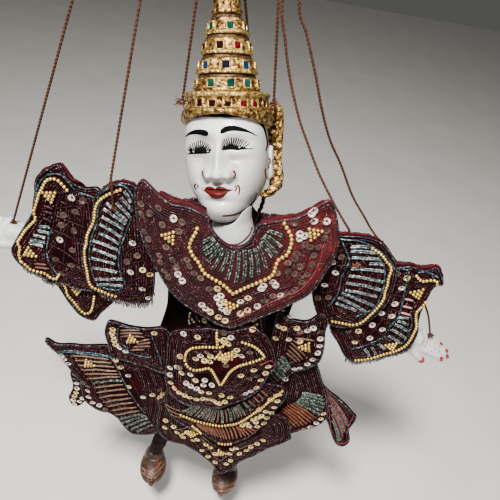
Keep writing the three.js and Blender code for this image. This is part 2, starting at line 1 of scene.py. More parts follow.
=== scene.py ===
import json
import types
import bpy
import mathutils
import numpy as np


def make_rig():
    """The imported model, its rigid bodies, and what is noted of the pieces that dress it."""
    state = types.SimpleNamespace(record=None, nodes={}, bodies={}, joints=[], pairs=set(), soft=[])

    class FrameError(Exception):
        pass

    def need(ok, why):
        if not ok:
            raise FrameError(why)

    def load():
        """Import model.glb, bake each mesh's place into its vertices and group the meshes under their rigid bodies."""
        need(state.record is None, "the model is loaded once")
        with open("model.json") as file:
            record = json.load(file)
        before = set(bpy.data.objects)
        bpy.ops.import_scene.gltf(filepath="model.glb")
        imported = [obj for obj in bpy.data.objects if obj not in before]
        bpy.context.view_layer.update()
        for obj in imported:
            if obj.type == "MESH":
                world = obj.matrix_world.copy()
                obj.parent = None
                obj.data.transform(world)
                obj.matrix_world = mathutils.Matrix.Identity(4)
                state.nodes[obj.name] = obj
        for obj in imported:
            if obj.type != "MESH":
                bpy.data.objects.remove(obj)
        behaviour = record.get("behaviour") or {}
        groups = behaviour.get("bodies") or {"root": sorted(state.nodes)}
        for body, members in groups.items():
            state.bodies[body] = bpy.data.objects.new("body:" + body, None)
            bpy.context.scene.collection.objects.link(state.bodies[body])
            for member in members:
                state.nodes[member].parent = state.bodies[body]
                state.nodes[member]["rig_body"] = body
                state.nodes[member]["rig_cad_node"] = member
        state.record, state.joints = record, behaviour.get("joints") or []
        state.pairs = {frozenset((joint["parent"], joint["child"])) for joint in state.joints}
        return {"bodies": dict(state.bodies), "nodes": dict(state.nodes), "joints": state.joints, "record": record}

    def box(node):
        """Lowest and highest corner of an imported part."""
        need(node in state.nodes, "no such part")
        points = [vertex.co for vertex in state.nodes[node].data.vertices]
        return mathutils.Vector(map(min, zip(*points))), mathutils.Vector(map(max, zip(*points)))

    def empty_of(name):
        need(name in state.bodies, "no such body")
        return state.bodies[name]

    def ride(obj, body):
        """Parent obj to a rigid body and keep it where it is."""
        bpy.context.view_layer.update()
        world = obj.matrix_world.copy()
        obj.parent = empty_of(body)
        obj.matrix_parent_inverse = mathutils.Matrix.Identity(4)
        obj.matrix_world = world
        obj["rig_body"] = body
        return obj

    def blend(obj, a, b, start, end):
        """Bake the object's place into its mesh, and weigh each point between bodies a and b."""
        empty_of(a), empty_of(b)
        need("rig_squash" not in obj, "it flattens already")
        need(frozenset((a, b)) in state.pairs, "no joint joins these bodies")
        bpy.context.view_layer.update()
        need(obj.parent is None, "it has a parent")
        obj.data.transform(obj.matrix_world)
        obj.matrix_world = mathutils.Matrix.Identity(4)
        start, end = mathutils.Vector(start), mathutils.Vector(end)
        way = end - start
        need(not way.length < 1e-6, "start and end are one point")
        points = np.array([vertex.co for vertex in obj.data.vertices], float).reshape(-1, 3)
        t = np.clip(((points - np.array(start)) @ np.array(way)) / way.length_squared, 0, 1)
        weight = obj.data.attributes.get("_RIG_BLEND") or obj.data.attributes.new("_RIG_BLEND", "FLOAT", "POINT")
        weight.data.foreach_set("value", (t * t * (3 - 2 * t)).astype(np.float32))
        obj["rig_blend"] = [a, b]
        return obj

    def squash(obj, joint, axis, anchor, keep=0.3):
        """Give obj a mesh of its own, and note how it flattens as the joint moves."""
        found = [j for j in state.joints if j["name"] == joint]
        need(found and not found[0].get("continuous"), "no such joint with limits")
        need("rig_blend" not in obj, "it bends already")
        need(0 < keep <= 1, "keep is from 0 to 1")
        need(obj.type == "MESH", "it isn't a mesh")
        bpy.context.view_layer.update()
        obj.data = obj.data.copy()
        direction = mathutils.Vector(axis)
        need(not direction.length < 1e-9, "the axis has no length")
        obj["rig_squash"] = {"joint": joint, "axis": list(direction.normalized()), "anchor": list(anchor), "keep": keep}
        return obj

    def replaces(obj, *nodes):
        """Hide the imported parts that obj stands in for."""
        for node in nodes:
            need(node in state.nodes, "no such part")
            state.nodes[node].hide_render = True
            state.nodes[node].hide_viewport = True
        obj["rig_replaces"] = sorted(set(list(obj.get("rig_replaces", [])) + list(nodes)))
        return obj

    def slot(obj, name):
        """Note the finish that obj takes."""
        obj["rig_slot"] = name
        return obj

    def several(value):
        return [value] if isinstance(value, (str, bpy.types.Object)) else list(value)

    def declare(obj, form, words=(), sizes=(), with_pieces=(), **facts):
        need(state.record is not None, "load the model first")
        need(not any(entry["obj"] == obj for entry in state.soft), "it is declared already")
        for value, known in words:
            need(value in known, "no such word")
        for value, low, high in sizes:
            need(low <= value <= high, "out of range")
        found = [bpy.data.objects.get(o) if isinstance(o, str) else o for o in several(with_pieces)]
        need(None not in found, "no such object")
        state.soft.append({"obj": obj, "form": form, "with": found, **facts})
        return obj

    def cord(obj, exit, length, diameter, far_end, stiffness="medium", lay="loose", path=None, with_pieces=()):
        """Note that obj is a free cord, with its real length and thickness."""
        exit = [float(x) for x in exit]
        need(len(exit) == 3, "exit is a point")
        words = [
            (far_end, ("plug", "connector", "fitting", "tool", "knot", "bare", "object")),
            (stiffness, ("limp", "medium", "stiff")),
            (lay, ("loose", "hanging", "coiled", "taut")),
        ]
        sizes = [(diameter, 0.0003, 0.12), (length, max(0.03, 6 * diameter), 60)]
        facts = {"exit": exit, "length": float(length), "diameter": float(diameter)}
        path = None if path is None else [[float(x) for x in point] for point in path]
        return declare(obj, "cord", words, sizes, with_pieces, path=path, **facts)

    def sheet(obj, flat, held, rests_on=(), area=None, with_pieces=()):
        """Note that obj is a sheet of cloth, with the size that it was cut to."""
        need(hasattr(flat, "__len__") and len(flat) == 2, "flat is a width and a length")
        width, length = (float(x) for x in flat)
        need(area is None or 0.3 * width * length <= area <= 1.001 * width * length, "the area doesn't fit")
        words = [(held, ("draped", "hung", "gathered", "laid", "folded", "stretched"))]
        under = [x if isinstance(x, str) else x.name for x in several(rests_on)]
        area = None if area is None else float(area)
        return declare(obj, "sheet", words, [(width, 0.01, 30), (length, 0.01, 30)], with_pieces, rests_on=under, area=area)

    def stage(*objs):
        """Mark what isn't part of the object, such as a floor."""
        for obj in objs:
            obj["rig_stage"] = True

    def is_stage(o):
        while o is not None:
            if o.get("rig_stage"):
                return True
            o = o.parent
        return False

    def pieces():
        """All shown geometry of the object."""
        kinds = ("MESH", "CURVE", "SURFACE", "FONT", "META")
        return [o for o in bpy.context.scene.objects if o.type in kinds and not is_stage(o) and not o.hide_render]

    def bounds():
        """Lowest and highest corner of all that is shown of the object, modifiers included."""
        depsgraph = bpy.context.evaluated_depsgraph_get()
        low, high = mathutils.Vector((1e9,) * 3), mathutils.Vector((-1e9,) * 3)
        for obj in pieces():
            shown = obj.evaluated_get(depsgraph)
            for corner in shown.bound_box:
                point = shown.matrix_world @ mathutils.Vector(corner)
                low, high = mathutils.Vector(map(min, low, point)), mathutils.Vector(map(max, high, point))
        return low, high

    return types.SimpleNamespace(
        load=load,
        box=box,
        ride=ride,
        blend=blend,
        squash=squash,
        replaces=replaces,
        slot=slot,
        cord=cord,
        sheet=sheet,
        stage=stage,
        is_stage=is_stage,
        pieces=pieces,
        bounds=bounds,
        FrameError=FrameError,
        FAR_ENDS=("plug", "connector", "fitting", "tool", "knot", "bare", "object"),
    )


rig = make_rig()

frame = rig.load()
import bpy, bmesh, math, json, random
import numpy as np
from mathutils import Vector, Matrix, Euler, Quaternion
from mathutils.geometry import delaunay_2d_cdt
from mathutils.bvhtree import BVHTree

cad_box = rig.bounds()
OFF = Vector((25.0, 0.0, -698.1))      # from the layout's zero at the soles to the row frame, in mm


def T(x, y, z):
    return Vector(((x + OFF.x) / 1000.0, (y + OFF.y) / 1000.0, (z + OFF.z) / 1000.0))


# ---------------------------------------------------------------- camera
cam_data = bpy.data.cameras.new("camera")
cam = bpy.data.objects.new("camera", cam_data)
bpy.context.scene.collection.objects.link(cam)
cam_data.sensor_width = 36.0
cam_data.lens = 36.0
cam_data.clip_start = 0.01
rot = Matrix(((0.9866, -0.1610, -0.0275), (0.0778, 0.6113, -0.7875), (0.1436, 0.7748, 0.6157)))
cam.matrix_world = Matrix.Translation(T(-2.4, -292.9, 558.0)) @ rot.to_4x4()
bpy.context.scene.camera = cam


# ---------------------------------------------------------------- materials
def principled(name):
    m = bpy.data.materials.new(name)
    m.use_nodes = True
    nt = m.node_tree
    b = nt.nodes["Principled BSDF"]
    tc = nt.nodes.new("ShaderNodeTexCoord")
    return m, nt, b, tc


def noise_mix(nt, tc, colours, scale, detail=4.0, rough=0.55, coord="Object", stretch=None):
    """Colour from a ramp over noise: colours are (position, rgb)."""
    src = tc.outputs[coord]
    if stretch:
        mp = nt.nodes.new("ShaderNodeMapping")
        mp.inputs["Scale"].default_value = stretch
        nt.links.new(src, mp.inputs["Vector"])
        src = mp.outputs["Vector"]
    n = nt.nodes.new("ShaderNodeTexNoise")
    n.inputs["Scale"].default_value = scale
    n.inputs["Detail"].default_value = detail
    n.inputs["Roughness"].default_value = rough
    nt.links.new(src, n.inputs["Vector"])
    r = nt.nodes.new("ShaderNodeValToRGB")
    el = r.color_ramp.elements
    while len(el) < len(colours):
        el.new(0.5)
    for e, (p, c) in zip(el, colours):
        e.position = p
        e.color = (*c, 1)
    nt.links.new(n.outputs["Fac"], r.inputs["Fac"])
    return r.outputs["Color"], n


def bump(nt, b, height, strength, distance):
    bp = nt.nodes.new("ShaderNodeBump")
    bp.inputs["Strength"].default_value = strength
    bp.inputs["Distance"].default_value = distance
    nt.links.new(height, bp.inputs["Height"])
    nt.links.new(bp.outputs["Normal"], b.inputs["Normal"])
    return bp


def rough_from(nt, b, fac, lo, hi):
    r = nt.nodes.new("ShaderNodeMapRange")
    r.inputs["To Min"].default_value = lo
    r.inputs["To Max"].default_value = hi
    nt.links.new(fac, r.inputs["Value"])
    nt.links.new(r.outputs["Result"], b.inputs["Roughness"])


def make(name, colours, scale, rough=(0.4, 0.6), metal=0.0, bump_scale=None, bump_strength=0.3, bump_dist=0.0003,
         sheen=0.0, sheen_tint=None, coat=0.0, spec=0.5, stretch=None, detail=4.0, ior=None):
    m, nt, b, tc = principled(name)
    col, n = noise_mix(nt, tc, colours, scale, detail=detail, stretch=stretch)
    nt.links.new(col, b.inputs["Base Color"])
    rough_from(nt, b, n.outputs["Fac"], *rough)
    b.inputs["Metallic"].default_value = metal
    b.inputs["Sheen Weight"].default_value = sheen
    if sheen:
        b.inputs["Sheen Roughness"].default_value = 0.45
        b.inputs["Sheen Tint"].default_value = (*sheen_tint, 1)
    b.inputs["Coat Weight"].default_value = coat
    if coat:
        b.inputs["Coat Roughness"].default_value = 0.12
    b.inputs["Specular IOR Level"].default_value = spec
    if bump_scale:
        n2 = nt.nodes.new("ShaderNodeTexNoise")
        n2.inputs["Scale"].default_value = bump_scale
        n2.inputs["Detail"].default_value = 5
        nt.links.new(tc.outputs["Object"], n2.inputs["Vector"])
        bump(nt, b, n2.outputs["Fac"], bump_strength, bump_dist)
    return m


VELVET = make("velvet", [(0.25, (0.0020, 0.0004, 0.0006)), (0.5, (0.0090, 0.0008, 0.0014)), (0.8, (0.036, 0.0026, 0.0042))], 75, (0.75, 0.95),
              bump_scale=2600, bump_strength=0.6, bump_dist=0.0005, sheen=0.012, sheen_tint=(0.5, 0.06, 0.08), spec=0.03)
VELVET_DARK = make("velvet_dark", [(0.25, (0.003, 0.0012, 0.002)), (0.55, (0.010, 0.003, 0.005)), (0.85, (0.028, 0.006, 0.009))], 60, (0.75, 0.95),
                   bump_scale=2600, bump_strength=0.5, bump_dist=0.0004, sheen=0.05, sheen_tint=(0.35, 0.12, 0.2), spec=0.12)
VELVET_RED = make("velvet_red", [(0.25, (0.014, 0.0018, 0.0030)), (0.5, (0.042, 0.0036, 0.0058)), (0.8, (0.085, 0.0080, 0.011))], 110, (0.75, 0.95), bump_scale=1800, bump_strength=0.5, spec=0.1)


def collar_velvet():
    """Velvet that goes from maroon on the puppet's right to a clearer red on its left."""
    m, nt, b, tc = principled("velvet_collar")
    sep = nt.nodes.new("ShaderNodeSeparateXYZ")
    nt.links.new(tc.outputs["Object"], sep.inputs["Vector"])
    mr = nt.nodes.new("ShaderNodeMapRange")
    mr.inputs["From Min"].default_value = 0.035
    mr.inputs["From Max"].default_value = 0.105
    nt.links.new(sep.outputs["X"], mr.inputs["Value"])
    n = nt.nodes.new("ShaderNodeTexNoise")
    n.inputs["Scale"].default_value = 70
    n.inputs["Detail"].default_value = 5
    nt.links.new(tc.outputs["Object"], n.inputs["Vector"])
    dark, red = nt.nodes.new("ShaderNodeValToRGB"), nt.nodes.new("ShaderNodeValToRGB")
    for r, cols in ((dark, ((0.004, 0.0010, 0.0016), (0.045, 0.0045, 0.0070))), (red, ((0.030, 0.003, 0.004), (0.23, 0.020, 0.024)))):
        r.color_ramp.elements[0].position, r.color_ramp.elements[1].position = 0.3, 0.72
        r.color_ramp.elements[0].color, r.color_ramp.elements[1].color = (*cols[0], 1), (*cols[1], 1)
        nt.links.new(n.outputs["Fac"], r.inputs["Fac"])
    mx = nt.nodes.new("ShaderNodeMix")
    mx.data_type = "RGBA"
    nt.links.new(mr.outputs["Result"], mx.inputs[0])
    nt.links.new(dark.outputs["Color"], mx.inputs[6])
    nt.links.new(red.outputs["Color"], mx.inputs[7])
    nt.links.new(mx.outputs[2], b.inputs["Base Color"])
    rough_from(nt, b, n.outputs["Fac"], 0.7, 0.95)
    b.inputs["Sheen Weight"].default_value = 0.08
    b.inputs["Sheen Roughness"].default_value = 0.4
    b.inputs["Sheen Tint"].default_value = (0.7, 0.18, 0.2, 1)
    b.inputs["Specular IOR Level"].default_value = 0.15
    n2 = nt.nodes.new("ShaderNodeTexNoise")
    n2.inputs["Scale"].default_value = 2600
    nt.links.new(tc.outputs["Object"], n2.inputs["Vector"])
    bump(nt, b, n2.outputs["Fac"], 0.5, 0.0004)
    return m


VELVET_COLLAR = collar_velvet()
LINING = make("lining", [(0.3, (0.010, 0.0035, 0.0035)), (0.7, (0.030, 0.009, 0.008))], 90, (0.8, 0.95), bump_scale=1800, bump_strength=0.4, spec=0.1)
GILT = make("gilding", [(0.32, (0.012, 0.005, 0.002)), (0.43, (0.085, 0.038, 0.009)), (0.52, (0.30, 0.165, 0.038)), (0.62, (0.60, 0.40, 0.12)), (0.78, (0.97, 0.82, 0.46))], 380, (0.26, 0.44),
            metal=0.85, bump_scale=620, bump_strength=1.0, bump_dist=0.0011, detail=8)
GILT_BRIGHT = make("gilding_bright", [(0.30, (0.060, 0.030, 0.008)), (0.45, (0.30, 0.18, 0.045)), (0.60, (0.62, 0.44, 0.15)), (0.80, (0.94, 0.80, 0.44))], 420, (0.24, 0.40), metal=0.75, bump_scale=760, bump_strength=1.0, bump_dist=0.0009, detail=7)
# dark gilding for the groove at the top of each crown drum: painted shadow under the next tier's lip
GILT_PAINTED_SHADOW = make("gilding_groove", [(0.3, (0.020, 0.009, 0.004)), (0.6, (0.085, 0.040, 0.014)), (0.8, (0.22, 0.12, 0.04))], 300, (0.45, 0.6), metal=0.6, bump_scale=700, bump_strength=0.6, bump_dist=0.0004)
GILT_AGED = make("gilding_aged", [(0.30, (0.035, 0.014, 0.007)), (0.46, (0.13, 0.055, 0.022)), (0.58, (0.34, 0.18, 0.055)), (0.72, (0.62, 0.42, 0.15)), (0.88, (0.92, 0.78, 0.42))], 230, (0.32, 0.5), metal=0.75, bump_scale=600, bump_strength=0.9, bump_dist=0.0006, detail=7)
GOLD_BEAD = make("gold_bead", [(0.3, (0.42, 0.24, 0.04)), (0.7, (0.90, 0.66, 0.22))], 500, (0.16, 0.28), metal=0.7)
SEED = make("seed_bead_dark", [(0.3, (0.006, 0.0018, 0.0024)), (0.7, (0.034, 0.008, 0.010))], 500, (0.25, 0.4), spec=0.3)
SEED_LIGHT = make("seed_bead_light", [(0.3, (0.045, 0.020, 0.020)), (0.7, (0.15, 0.085, 0.075))], 500, (0.15, 0.3), metal=0.3, spec=0.6)
CORD_WINE = make("cord_wine", [(0.40, (0.012, 0.0018, 0.0028)), (0.58, (0.045, 0.0042, 0.0065)), (0.70, (0.13, 0.030, 0.032))], 800, (0.5, 0.7), bump_scale=3000, bump_strength=0.5, spec=0.1)
CORD_EDGE = make("cord_edge", [(0.42, (0.006, 0.004, 0.006)), (0.56, (0.030, 0.024, 0.032)), (0.68, (0.24, 0.24, 0.28))], 800, (0.35, 0.5), metal=0.2, bump_scale=3000, bump_strength=0.5, spec=0.2)
SEQ_GOLD = make("sequin_gold", [(0.35, (0.66, 0.42, 0.13)), (0.65, (1.0, 0.80, 0.40))], 140, (0.20, 0.34), metal=0.5, coat=0.2)
SEQ_SILVER = make("sequin_silver", [(0.35, (0.56, 0.43, 0.37)), (0.65, (1.0, 0.88, 0.78))], 140, (0.20, 0.34), metal=0.45, coat=0.2)
SEQ_PINK = make("sequin_smoke", [(0.35, (0.050, 0.026, 0.022)), (0.65, (0.19, 0.115, 0.09))], 140, (0.25, 0.4), metal=0.6, coat=0.1)
LACQUER = make("white_lacquer", [(0.3, (0.44, 0.445, 0.44)), (0.7, (0.54, 0.545, 0.54))], 26, (0.3, 0.42), bump_scale=240, bump_strength=0.10, bump_dist=0.0003, coat=0.10)


def lacquer_with_painted_shade():
    """White lacquer mixed towards a brown grey as painted shade, as far as the mesh's own per-point value says."""
    m, nt, b, tc = principled("white_lacquer_face")
    col, n = noise_mix(nt, tc, [(0.3, (0.48, 0.485, 0.48)), (0.7, (0.58, 0.585, 0.58))], 26)
    att = nt.nodes.new("ShaderNodeAttribute")
    att.attribute_name = "age"
    mx = nt.nodes.new("ShaderNodeMix")
    mx.data_type = "RGBA"
    nt.links.new(att.outputs["Fac"], mx.inputs[0])
    nt.links.new(col, mx.inputs[6])
    # the brown that the per-point value mixes in is painted shade
    mx.inputs[7].default_value = (0.115, 0.085, 0.055, 1)
    nt.links.new(mx.outputs[2], b.inputs["Base Color"])
    rough_from(nt, b, n.outputs["Fac"], 0.3, 0.42)
    b.inputs["Coat Weight"].default_value = 0.10
    b.inputs["Coat Roughness"].default_value = 0.12
    n2 = nt.nodes.new("ShaderNodeTexNoise")
    n2.inputs["Scale"].default_value = 240
    n2.inputs["Detail"].default_value = 5
    nt.links.new(tc.outputs["Object"], n2.inputs["Vector"])
    bump(nt, b, n2.outputs["Fac"], 0.10, 0.0003)
    return m


FACE_LACQUER = lacquer_with_painted_shade()
INK = make("black_paint", [(0.3, (0.0008, 0.0008, 0.0009)), (0.7, (0.003, 0.0028, 0.003))], 400, (0.75, 0.9), spec=0.03)
RED_PAINT = make("red_paint", [(0.3, (0.060, 0.002, 0.003)), (0.7, (0.105, 0.005, 0.006))], 300, (0.4, 0.55), spec=0.10)
LIP = make("lip_paint", [(0.3, (0.048, 0.003, 0.003)), (0.7, (0.085, 0.006, 0.006))], 220, (0.4, 0.55), spec=0.15)
NAIL = make("nail_red", [(0.3, (0.20, 0.012, 0.010)), (0.7, (0.34, 0.030, 0.022))], 400, (0.35, 0.5), spec=0.3)
DOT = make("dot_rose", [(0.3, (0.34, 0.10, 0.10)), (0.7, (0.50, 0.17, 0.16))], 400, (0.4, 0.55), spec=0.25)
TUFT = make("tuft_dark", [(0.3, (0.030, 0.008, 0.007)), (0.7, (0.10, 0.030, 0.022))], 500, (0.7, 0.9), bump_scale=3000, bump_strength=0.4)
TUFT_LIGHT = make("tuft_light", [(0.3, (0.10, 0.040, 0.025)), (0.7, (0.26, 0.12, 0.07))], 500, (0.7, 0.9), bump_scale=3000, bump_strength=0.4)
SHOE_LIGHT = make("shoe_wood_light", [(0.3, (0.050, 0.020, 0.011)), (0.5, (0.13, 0.058, 0.032)), (0.8, (0.30, 0.16, 0.10))], 160, (0.3, 0.5), bump_scale=500, bump_strength=0.5, coat=0.2, detail=7)
RED_DARK = make("dark_red_paint", [(0.3, (0.10, 0.008, 0.008)), (0.7, (0.20, 0.012, 0.012))], 220, (0.3, 0.45))
GREY_PAINT = make("grey_paint", [(0.3, (0.25, 0.26, 0.3)), (0.7, (0.4, 0.42, 0.46))], 300, (0.3, 0.4))
HAIR = make("hair_black", [(0.3, (0.010, 0.004, 0.003)), (0.7, (0.045, 0.018, 0.014))], 900, (0.6, 0.8), bump_scale=2000, bump_strength=0.4, spec=0.2)
WOOD_DARK = make("dark_wood", [(0.3, (0.045, 0.02, 0.01)), (0.5, (0.10, 0.048, 0.024)), (0.8, (0.17, 0.085, 0.045))], 26, (0.3, 0.5), bump_scale=400,
                 bump_strength=0.2, coat=0.15, stretch=(1, 6, 1), detail=8)
WOOD_BARE = make("bare_wood", [(0.3, (0.16, 0.09, 0.045)), (0.7, (0.34, 0.21, 0.12))], 30, (0.5, 0.7), bump_scale=500, bump_strength=0.3, stretch=(1, 1, 0.15), detail=8)
TROUSER = make("trouser_cloth", [(0.3, (0.006, 0.003, 0.003)), (0.7, (0.024, 0.010, 0.009))], 80, (0.8, 0.95), bump_scale=1600, bump_strength=0.5, spec=0.1)
SHOE = make("shoe_wood", [(0.3, (0.012, 0.006, 0.004)), (0.5, (0.040, 0.016, 0.009)), (0.8, (0.105, 0.045, 0.026))], 130, (0.35, 0.55), bump_scale=500, bump_strength=0.6, coat=0.15, detail=7)
STRING = make("string_fibre", [(0.3, (0.016, 0.0048, 0.0026)), (0.7, (0.080, 0.028, 0.012))], 900, (0.7, 0.9), bump_scale=4000, bump_strength=0.6, bump_dist=0.0003, spec=0.2)
CORD_MAUVE = make("cord_mauve", [(0.42, (0.008, 0.0024, 0.0040)), (0.58, (0.036, 0.011, 0.017)), (0.70, (0.19, 0.10, 0.125))], 800, (0.4, 0.6), metal=0.1, bump_scale=3000, bump_strength=0.5, spec=0.15)
CORD_RED = make("cord_red", [(0.35, (0.10, 0.006, 0.012)), (0.55, (0.24, 0.02, 0.03)), (0.7, (0.6, 0.22, 0.22))], 700, (0.4, 0.6), metal=0.2, bump_scale=3000, bump_strength=0.5)
# the brightest ramp stop of the teal cord and of the green and silver bullion below is painted glints
CORD_TEAL = make("cord_teal", [(0.38, (0.003, 0.010, 0.015)), (0.54, (0.016, 0.042, 0.060)), (0.66, (0.26, 0.40, 0.46))], 700, (0.3, 0.45), metal=0.5, bump_scale=3000, bump_strength=0.5)
BAR_GREEN = make("bullion_green", [(0.36, (0.008, 0.016, 0.013)), (0.52, (0.050, 0.078, 0.062)), (0.66, (0.50, 0.56, 0.50))], 650, (0.22, 0.38), metal=0.6, bump_scale=3000, bump_strength=0.5)
BAR_SILVER = make("bullion_silver", [(0.36, (0.016, 0.026, 0.028)), (0.52, (0.11, 0.15, 0.155)), (0.66, (0.75, 0.80, 0.80))], 650, (0.22, 0.38), metal=0.6, bump_scale=3000, bump_strength=0.5)
BAR_BROWN = make("floss_brown", [(0.3, (0.030, 0.012, 0.008)), (0.55, (0.095, 0.045, 0.028)), (0.72, (0.30, 0.18, 0.12))], 700, (0.4, 0.55), metal=0.15, bump_scale=3000, bump_strength=0.6)
BAR_TAN = make("floss_tan", [(0.3, (0.045, 0.022, 0.012)), (0.55, (0.15, 0.085, 0.048)), (0.72, (0.42, 0.30, 0.19))], 700, (0.4, 0.55), metal=0.15, bump_scale=3000, bump_strength=0.6)
# the brightest ramp stop of the orange floss is painted glints
BAR_ORANGE = make("floss_orange", [(0.3, (0.060, 0.011, 0.006)), (0.55, (0.17, 0.045, 0.016)), (0.74, (0.50, 0.24, 0.09))], 600, (0.4, 0.55), metal=0.15, bump_scale=3000, bump_strength=0.6)
BAR_PINK = make("floss_pink", [(0.3, (0.20, 0.07, 0.07)), (0.7, (0.55, 0.30, 0.28))], 900, (0.4, 0.55), metal=0.1, bump_scale=3000, bump_strength=0.6)
THREAD = make("black_thread", [(0.3, (0.012, 0.008, 0.008)), (0.7, (0.04, 0.02, 0.02))], 900, (0.7, 0.85), bump_scale=3000, bump_strength=0.5)
FRINGE = make("bead_fringe_dark", [(0.3, (0.010, 0.009, 0.008)), (0.6, (0.05, 0.04, 0.03)), (0.8, (0.20, 0.16, 0.10))], 500, (0.2, 0.4), metal=0.3, bump_scale=1500, bump_strength=0.3)
FLOOR = make("floor_pale", [(0.3, (0.72, 0.70, 0.66)), (0.7, (0.78, 0.76, 0.72))], 12, (0.7, 0.85), bump_scale=300, bump_strength=0.1)


def gem(name, colour):
    m, nt, b, tc = principled(name)
    col, n = noise_mix(nt, tc, [(0.35, tuple(c * 0.35 for c in colour)), (0.62, colour)], 420)
    nt.links.new(col, b.inputs["Base Color"])
    b.inputs["Roughness"].default_value = 0.22
    b.inputs["Coat Weight"].default_value = 0.0
    b.inputs["Specular IOR Level"].default_value = 0.06
    return m


GEMS = {"green": gem("gem_green", (0.003, 0.040, 0.027)), "red": gem("gem_red", (0.095, 0.003, 0.007)), "blue": gem("gem_blue", (0.004, 0.022, 0.095)),
        "clear": gem("gem_clear", (0.16, 0.17, 0.17)), "dark": gem("gem_dark", (0.016, 0.0008, 0.0014)),
        "darkblue": gem("gem_darkblue", (0.003, 0.003, 0.014)), "teal": gem("gem_teal", (0.004, 0.048, 0.043))}


# ---------------------------------------------------------------- mesh helpers
def obj_from(name, verts, faces, material, smooth=True):
    me = bpy.data.meshes.new(name)
    me.from_pydata([tuple(v) for v in verts], [], faces)
    me.validate()
    if smooth:
        me.polygons.foreach_set("use_smooth", [True] * len(me.polygons))
    ms = material if isinstance(material, (list, tuple)) else [material]
    for m in ms:
        me.materials.append(m)
    o = bpy.data.objects.new(name, me)
    bpy.context.scene.collection.objects.link(o)
    return o


class Soup:
    """Collects many small closed shapes into one mesh, with material numbers."""
    def __init__(self):
        self.v, self.f, self.m = [], [], []

    def add(self, verts, faces, mi=0):
        n = len(self.v)
        self.v += [tuple(p) for p in verts]
        self.f += [tuple(i + n for i in f) for f in faces]
        self.m += [mi] * len(faces)

    def build(self, name, materials, smooth=True):
        o = obj_from(name, self.v, self.f, materials, smooth)
        o.data.polygons.foreach_set("material_index", self.m)
        return o


def catmull(pts, step, closed=False):
    """Points along a smooth curve through pts (tuples of any length), about step apart."""
    P = [np.array(p, float) for p in pts]
    n = len(P)
    out = []
    segs = n if closed else n - 1
    for i in range(segs):
        p1, p2 = P[i], P[(i + 1) % n]
        p0 = P[(i - 1) % n] if (closed or i > 0) else 2 * p1 - p2
        p3 = P[(i + 2) % n] if (closed or i + 2 < n) else 2 * p2 - p1
        k = max(1, int(round(np.linalg.norm(p2 - p1) / step)))
        for j in range(k):
            t = j / k
            out.append(0.5 * ((2 * p1) + (-p0 + p2) * t + (2 * p0 - 5 * p1 + 4 * p2 - p3) * t * t + (-p0 + 3 * p1 - 3 * p2 + p3) * t ** 3))
    if not closed:
        out.append(P[-1])
    return out


def resample(path, step, closed=False):
    """Even spacing along a polyline."""
    P = [np.array(p, float) for p in path]
    if closed:
        P = P + [P[0]]
    d = [0.0]
    for a, b in zip(P[:-1], P[1:]):
        d.append(d[-1] + float(np.linalg.norm(b - a)))
    L = d[-1]
    n = max(2, int(round(L / step)))
    out = []
    j = 0
    for i in range(n if closed else n + 1):
        s = L * i / n
        while j < len(d) - 2 and d[j + 1] < s:
            j += 1
        t = 0 if d[j + 1] == d[j] else (s - d[j]) / (d[j + 1] - d[j])
        out.append(P[j] * (1 - t) + P[j + 1] * t)
    return out


def sweep(path, radius, sides=8, lobes=0, depth=0.0, pitch=None, taper=None, closed=False):
    """Tube along path (Vectors, metres), with optional twisted lobes. Returns verts, faces."""
    P = [Vector(p) for p in path]
    n = len(P)
    verts, faces = [], []
    t0 = (P[1] - P[0]).normalized()
    up = Vector((0, 0, 1)) if abs(t0.z) < 0.9 else Vector((1, 0, 0))
    nrm = t0.cross(up).normalized()
    prev = t0
    s = 0.0
    for i in range(n):
        if closed:
            t = (P[(i + 1) % n] - P[i - 1]).normalized()
        else:
            t = (P[min(i + 1, n - 1)] - P[max(i - 1, 0)]).normalized()
        ax = prev.cross(t)
        if ax.length > 1e-9:
            nrm = Quaternion(ax.normalized(), prev.angle(t)) @ nrm
        nrm = (nrm - t * nrm.dot(t)).normalized()
        bi = t.cross(nrm)
        prev = t
        if i:
            s += (P[i] - P[i - 1]).length
        r = radius * (taper(i / (n - 1)) if taper else 1.0)
        for k in range(sides):
            a = 2 * math.pi * k / sides
            rr = r
            if lobes:
                rr = r * (1 - depth * (0.5 - 0.5 * math.cos(lobes * (a - 2 * math.pi * s / pitch))))
            verts.append(P[i] + nrm * (rr * math.cos(a)) + bi * (rr * math.sin(a)))
    last = n if closed else n - 1
    for i in range(last):
        for k in range(sides):
            a, b = i * sides + k, i * sides + (k + 1) % sides
            c, d = ((i + 1) % n) * sides + k, ((i + 1) % n) * sides + (k + 1) % sides
            faces.append((a, b, d, c))
    if not closed:
        faces.append(tuple(range(sides))[::-1])
        faces.append(tuple(range((n - 1) * sides, n * sides)))
    return verts, faces


def ball(c, r, sub=1):
    bm = bmesh.new()
    bmesh.ops.create_icosphere(bm, subdivisions=sub, radius=1.0)
    v = [Vector(c) + p.co * r for p in bm.verts]
    f = [tuple(x.index for x in g.verts) for g in bm.faces]
    bm.free()
    return v, f


# ---------------------------------------------------------------- strings
def path_mm(points, step=0.8):
    dense = catmull(points, 3.0) if len(points) > 2 else [np.array(points[0], float), np.array(points[1], float)]
    return [T(*p) for p in resample(dense, step)]


HANG = 594.0
HEAD_POS = Vector((-18, 8, 395))
HEAD_ROT = (Matrix.Rotation(math.radians(-4.3), 3, "Z") @ Matrix.Rotation(math.radians(-11.3), 3, "Y") @ Matrix.Rotation(math.radians(-22.2), 3, "X"))


def H(x, y, z):
    p = HEAD_ROT @ Vector((x, y, z)) + HEAD_POS
    return (p.x, p.y, p.z)


